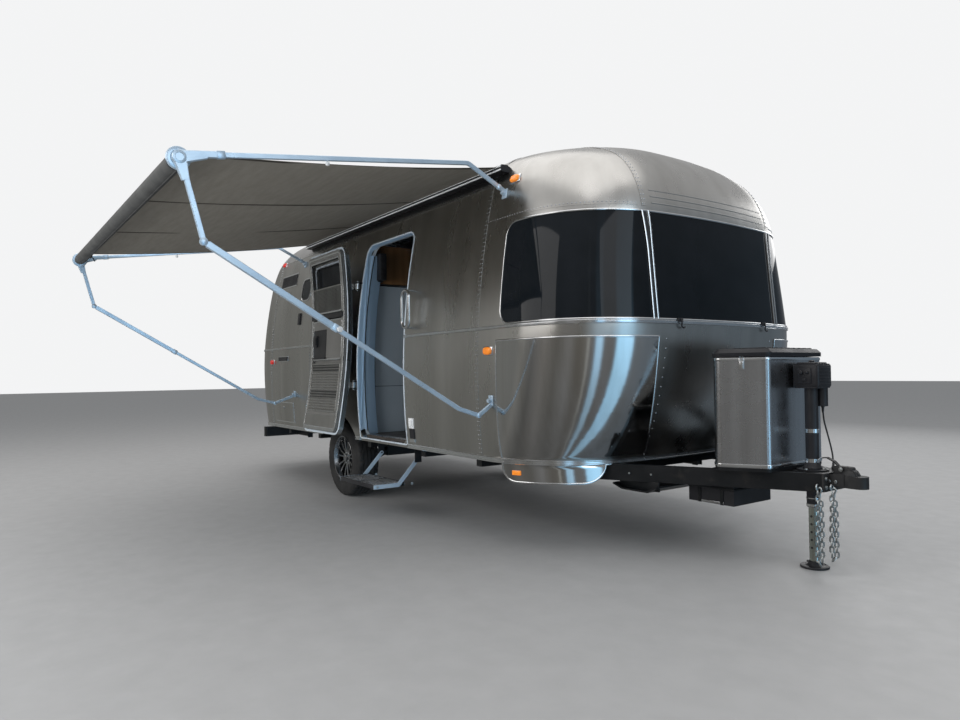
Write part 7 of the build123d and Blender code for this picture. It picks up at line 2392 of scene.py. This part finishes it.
def wall_fittings():
    """Vents, ports and service doors of the side walls, outlets and a compartment door."""
    bright, dark, white, skin = Form(), Form(), Form(), Form()
    # a wide dark vent high behind the door, and the refrigerator's two vents on the left
    for s, items in ((RIGHT, ((-5.640, -5.180, 2.140, 2.260),)),
                     (LEFT, ((-3.95, -3.55, 1.02, 1.30), (-3.95, -3.55, 0.64, 0.80)))):
        for x0, x1, z0, z1 in items:
            wall_plate(bright, x0 - 0.014, x1 + 0.014, z0 - 0.014, z1 + 0.014, 0.004, s=s)
            wall_plate(dark, x0, x1, z0, z1, 0.0055, s=s)
            n = max(3, round((z1 - z0) / 0.018))
            for k in range(n):
                z = z0 + (z1 - z0) * (k + 0.5) / n
                wall_plate(dark, x0 + 0.006, x1 - 0.006, z - 0.004, z + 0.004, 0.010, s=s)
    for x, z, r, s in ((-5.30, 1.18, 0.055, LEFT), (-2.95, 1.10, 0.050, LEFT)):
        p = Vector((x, s * half_width(z), z))
        n = normal_at(p)
        bright.lathe([(r, -0.002), (r, 0.003), (r * 0.90, 0.006), (r * 0.80, 0.0045), (r * 0.78, 0.001)], p,
                     n, 36,
                     caps=False)
        dark.lathe([(r * 0.80, 0.0), (r * 0.79, 0.0035), (r * 0.30, 0.0045), (0.001, 0.0045)], p, n, 32)
    # white and black utility outlet low beside the doorway
    x0, x1, z0, z1 = -2.585, -2.515, 0.640, 0.800
    wall_plate(white, x0, x1, 0.720, z1, 0.006)
    wall_plate(dark, x0 + 0.004, x1 + 0.004, z0, 0.716, 0.007)
    wall_plate(white, x0 + 0.010, x1 - 0.010, 0.735, 0.785, 0.013)
    wall_plate(bright, x0 - 0.004, x1 + 0.010, 0.612, 0.636, 0.008)
    # a flat black outlet low behind the wheel, and the door's dark catch beside the awning arm
    wall_plate(bright, -5.488, -5.212, 1.296, 1.354, 0.0035)
    wall_plate(dark, -5.480, -5.220, 1.304, 1.346, 0.014)
    wall_plate(dark, -4.965, -4.905, 1.680, 1.800, 0.012)
    # compartment doors: bright edge, skin and a lock
    for xa, xb, za, zb, s in ((-5.640, -5.080, 0.640, 0.840, RIGHT), (-2.30, -1.80, 0.64, 0.98, LEFT),
                              (-4.52, -4.42, 1.02, 1.14, LEFT)):
        wall_plate(bright, xa - 0.012, xb + 0.012, za - 0.012, zb + 0.012, 0.0035, s=s)
        wall_plate(skin, xa, xb, za, zb, 0.0055, s=s)
        p = Vector(((xa + xb) / 2, s * half_width(zb - 0.05), zb - 0.05))
        n = normal_at(p)
        bright.lathe([(0.014, 0.004), (0.014, 0.009), (0.011, 0.011), (0.001, 0.0115)], p, n, 20)
        dark.box((-0.0012, 0.0012), (-0.006, 0.006), (0.0105, 0.0122), 0.0, at=Matrix.Translation(p)
                 @ n.to_track_quat("Z", "Y").to_matrix().to_4x4())
    skin.make("service_doors", ALUMINIUM, "body", "shell", sharp=40)
    bright.make("service_frames", BRIGHT, "body", "bright_trim", sharp=40)
    dark.make("service_vents", BLACK, "body", "black_plastic", sharp=40)
    white.make("utility_outlet", WHITE, "body", "white_plastic", sharp=40)


wall_fittings()


def roof_gear():
    """Air conditioner shroud with louvred flanks, vent lid dome and plumbing caps."""
    white, dark = Form(), Form()
    cx, hl, hw, z0 = AXLE_X, 0.430, 0.340, 2.742
    rows = []
    for grow, z, taper in ((1.0, z0, 0.0), (1.0, z0 + 0.020, 0.0), (0.975, z0 + 0.060, 0.02),
                           (0.945, z0 + 0.130, 0.05),
                           (0.905, z0 + 0.185, 0.08), (0.840, z0 + 0.217, 0.10), (0.720, z0 + 0.231, 0.12),
                           (0.40, z0 + 0.2330, 0.12)):
        loop = []
        for i in range(64):
            a = 2 * math.pi * i / 64
            c, s_ = math.cos(a), math.sin(a)
            k = 5.0
            r = (abs(c) ** k + abs(s_) ** k) ** (-1 / k)
            x = cx - 0.0 + hl * grow * r * c - (0.055 * taper / 0.12 if c > 0 else -0.020 * taper / 0.12)
            loop.append(Vector((x, hw * grow * r * s_, z)))
        rows.append(loop)
    white.grid(rows, 0, wrap=True, caps=True)
    for y in (-0.20, -0.10, 0.0, 0.10, 0.20):
        white.box((cx - 0.30, cx + 0.24), (y - 0.012, y + 0.012), (z0 + 0.226, z0 + 0.2335), 0.003)
    for k in range(9):
        z = z0 + 0.040 + 0.014 * k
        for s, _ in SIDES:
            dark.box((cx - 0.33, cx - 0.02), (s * (hw - 0.004 - 0.012 * k / 9) - 0.006,
                     s * (hw - 0.004 - 0.012 * k / 9) + 0.004), (z - 0.0035, z + 0.0035), 0.0015)
        dark.box((cx - hl + 0.004 + 0.0035 * k - 0.004, cx - hl + 0.014 + 0.0035 * k), (-0.24, 0.24),
                 (z - 0.0035, z + 0.0035), 0.0015)
    rows = []
    for grow, z in ((0.2145, 2.796), (0.2145, 2.812), (0.2110, 2.820), (0.196, 2.829), (0.165, 2.8345),
                    (0.09, 2.8385)):
        loop = []
        for i in range(48):
            a = 2 * math.pi * i / 48
            c, s_ = math.cos(a), math.sin(a)
            r = (abs(c) ** 7 + abs(s_) ** 7) ** (-1 / 7)
            loop.append(Vector((VENT_X + grow * r * c, grow * r * s_, z)))
        rows.append(loop)
    white.make("air_conditioner_shroud", WHITE, "body", "white_plastic", ("air_conditioner",), sharp=40)
    dark.make("air_conditioner_louvres", BLACK, "body", "black_plastic", sharp=40)
    lid = Form()
    lid.grid(rows, 0, wrap=True, caps=True)
    for y in (-0.10, 0.0, 0.10):
        lid.box((VENT_X - 0.13, VENT_X + 0.13), (y - 0.008, y + 0.008), (2.8345, 2.8396), 0.002)
    lid.make("vent_lid_dome", WHITE, "vent_lid", "white_plastic", sharp=40)
    caps = Form()
    for x, y in ((-2.60, 0.42), (-4.95, -0.52), (-5.50, 0.40)):
        z = to_shell(Vector((x, y, 2.72))).z
        caps.lathe([(0.055, -0.012), (0.055, 0.004), (0.030, 0.010), (0.028, 0.040), (0.040, 0.044),
                    (0.040, 0.056),
                    (0.030, 0.062), (0.001, 0.064)], (x, y, z), (0, 0, 1), 28)
    caps.make("roof_caps", WHITE, "body", "white_plastic", sharp=40)


roof_gear()


def inside():
    """What shows through the doorway: cabinet lines, a top trim, a control box and a raised wooden panel."""
    lines_, dark, wood = Form(), Form(), Form()
    x = -3.565
    y0, y1 = -1.165, -0.622
    lines_.box((x - 0.002, x + 0.010), (y0, y1), (1.955, 1.976), 0.003)
    lines_.box((x - 0.002, x + 0.006), (y1 - 0.016, y1 + 0.004), (0.615, 1.960), 0.002)
    for z in (1.035,):
        dark.box((x - 0.003, x + 0.0012), (y0, y1), (z - 0.0025, z + 0.0025), 0.0005)
    dark.box((x - 0.002, x + 0.0015), (-1.005, -1.000), (0.62, 1.955), 0.0005)
    dark.box((x + 0.060, x + 0.150), (-1.012, -0.948), (1.995, 2.235), 0.006)
    dark.box((x - 0.002, x + 0.070), (-1.020, -0.940), (1.985, 2.245), 0.005)
    for k in range(5):
        dark.box((x + 0.149, x + 0.153), (-1.000, -0.960), (2.02 + 0.04 * k, 2.035 + 0.04 * k), 0.001)
    # raised wooden panel above, and its frame
    wood.box((x - 0.004, x + 0.020), (-0.936, y1), (1.978, 2.330), 0.004)
    wood.box((x + 0.016, x + 0.026), (-0.918, y1 - 0.02), (1.996, 2.312), 0.004)
    lines_.make("cabinet_trims", BRIGHT, "body", "bright_trim", sharp=40)
    dark.make("cabinet_dark", BLACK_AND_PAINTED_SHADE, "body", "black_plastic", sharp=40)
    wood.make("cabinet_woodwork", WOOD, "body", "cabinet_board", sharp=40)


inside()


# Light: a grey studio room, soft boxes overhead and beside the camera
# The room's walls by bearing in degrees from straight ahead of the nose, left positive
ROOM = (
    (-180, 0.25, 0.25, 0.24), (-165, 0.33, 0.335, 0.32), (-158, 0.22, 0.225, 0.215),
    (-149, 0.32, 0.33, 0.315),
    (-141, 0.25, 0.255, 0.245), (-130, 0.31, 0.31, 0.295), (-112, 0.16, 0.16, 0.155),
    (-96, 0.27, 0.26, 0.245),
    (-80, 0.18, 0.175, 0.16), (-64, 0.30, 0.30, 0.295), (-52, 0.20, 0.19, 0.17), (-43.5, 0.24, 0.23, 0.21),
    (-41.5, 0.75, 0.78, 0.76), (-39.5, 0.22, 0.21, 0.20), (-34, 0.24, 0.24, 0.24), (-32, 0.70, 1.15, 1.55),
    (-25, 0.80, 1.25, 1.65), (-23, 0.24, 0.24, 0.24), (-9, 0.26, 0.27, 0.28), (-6.5, 0.85, 1.55, 2.15),
    (13, 1.00, 1.75, 2.40), (15.5, 0.27, 0.30, 0.33), (30, 0.22, 0.26, 0.30), (45, 0.18, 0.225, 0.27),
    (75, 0.17, 0.215, 0.26), (95, 0.20, 0.22, 0.25), (120, 0.30, 0.31, 0.32), (150, 0.20, 0.20, 0.20),
    (180, 0.24, 0.235, 0.22),
)


def studio():
    scene = bpy.context.scene
    scene.view_settings.view_transform = "Standard"
    world = bpy.data.worlds.new("studio")
    scene.world = world
    world.use_nodes = True
    tree = world.node_tree
    out = tree.nodes["World Output"]
    coords = node(tree, "ShaderNodeTexCoord").outputs["Generated"]
    height = node(tree, "ShaderNodeSeparateXYZ", {"Vector": coords}).outputs["Z"]
    lift = node(tree, "ShaderNodeMapRange",
                {"Value": height, "From Min": 0.22, "From Max": 0.55}).outputs[0]
    # a room's walls seen in the metal: grey all round, with a few tall bright windows ahead of the nose
    parts = node(tree, "ShaderNodeSeparateXYZ", {"Vector": coords})
    bearing = node(tree, "ShaderNodeMath", {0: parts.outputs["Y"], 1: parts.outputs["X"]},
                   operation="ARCTAN2").outputs[0]
    turn = node(tree, "ShaderNodeMapRange",
                {"Value": bearing, "From Min": -math.pi, "From Max": math.pi}).outputs[0]
    ramp = node(tree, "ShaderNodeValToRGB", {"Fac": turn})
    stops = ramp.color_ramp.elements
    while len(stops) < len(ROOM):
        stops.new(1.0)
    for stop, (degrees, *tint) in zip(stops, ROOM):
        stop.position, stop.color = (degrees + 180) / 360, (*tint, 1)
    sink = node(tree, "ShaderNodeMapRange",
                {"Value": height, "From Min": 0.0, "From Max": -0.92, "To Max": 0.62})
    low = node(tree, "ShaderNodeMix", {"Factor": sink.outputs[0]}, data_type="RGBA")
    tree.links.new(ramp.outputs[0], low.inputs["A"])
    low.inputs["B"].default_value = (0.11, 0.115, 0.12, 1)
    sky = node(tree, "ShaderNodeMix", {"Factor": lift}, data_type="RGBA")
    tree.links.new(low.outputs["Result"], sky.inputs["A"])
    sky.inputs["B"].default_value = (0.60, 0.605, 0.615, 1)
    dim = node(tree, "ShaderNodeBackground", {"Color": sky.outputs["Result"], "Strength": 0.80})
    pale = node(tree, "ShaderNodeBackground", {"Color": (0.90, 0.905, 0.91, 1), "Strength": 1.0})
    seen = node(tree, "ShaderNodeLightPath").outputs["Is Camera Ray"]
    both = node(tree, "ShaderNodeMixShader", {0: seen, 1: dim.outputs[0], 2: pale.outputs[0]})
    tree.links.new(both.outputs[0], out.inputs["Surface"])

    def softbox(name, at, towards, size, power, colour=(1, 1, 1)):
        data = bpy.data.lights.new(name, "AREA")
        data.shape = "RECTANGLE"
        data.size, data.size_y = size
        data.energy = power
        data.color = colour
        light = bpy.data.objects.new(name, data)
        scene.collection.objects.link(light)
        light.location = at
        direction = Vector(towards) - Vector(at)
        light.rotation_mode = "QUATERNION"
        light.rotation_quaternion = direction.to_track_quat("-Z", "Y")
        return light

    softbox("overhead", (-3.0, -1.0, 8.5), (-3.0, 0.0, 0.0), (14.0, 9.0), 400.0, (1.0, 0.98, 0.96))
    softbox("right_side", (-4.5, -9.0, 4.5), (-3.5, 0.0, 1.0), (9.0, 4.0), 240.0, (1.0, 0.98, 0.96))
    softbox("front", (8.5, -2.0, 5.0), (0.0, 0.0, 1.0), (7.0, 4.0), 150.0, (0.96, 0.98, 1.0))
    fill = softbox("door_fill", (-1.8, -7.5, 0.9), (-3.2, -1.2, 1.7), (5.0, 1.6), 210.0, (0.94, 0.97, 1.0))
    fill.visible_glossy = False
    softbox("left_side", (-3.0, 9.0, 5.0), (-3.0, 0.0, 1.2), (8.0, 3.0), 190.0)

    floor = Form()
    floor.add([(-60, -60, 0), (60, -60, 0), (60, 60, 0), (-60, 60, 0)], [(0, 1, 2, 3)])
    mesh = bpy.data.meshes.new("floor")
    mesh.from_pydata(floor.verts, [], floor.faces)
    mesh.materials.append(finish("floor", ((0.40, 0.40, 0.40), (0.43, 0.43, 0.43)), (0.5, 0.65),
                                 bumps=((30, (1, 1, 1), 0.0002, 0.1),)))
    ground = bpy.data.objects.new("floor", mesh)
    scene.collection.objects.link(ground)
    ground.visible_glossy = False


studio()
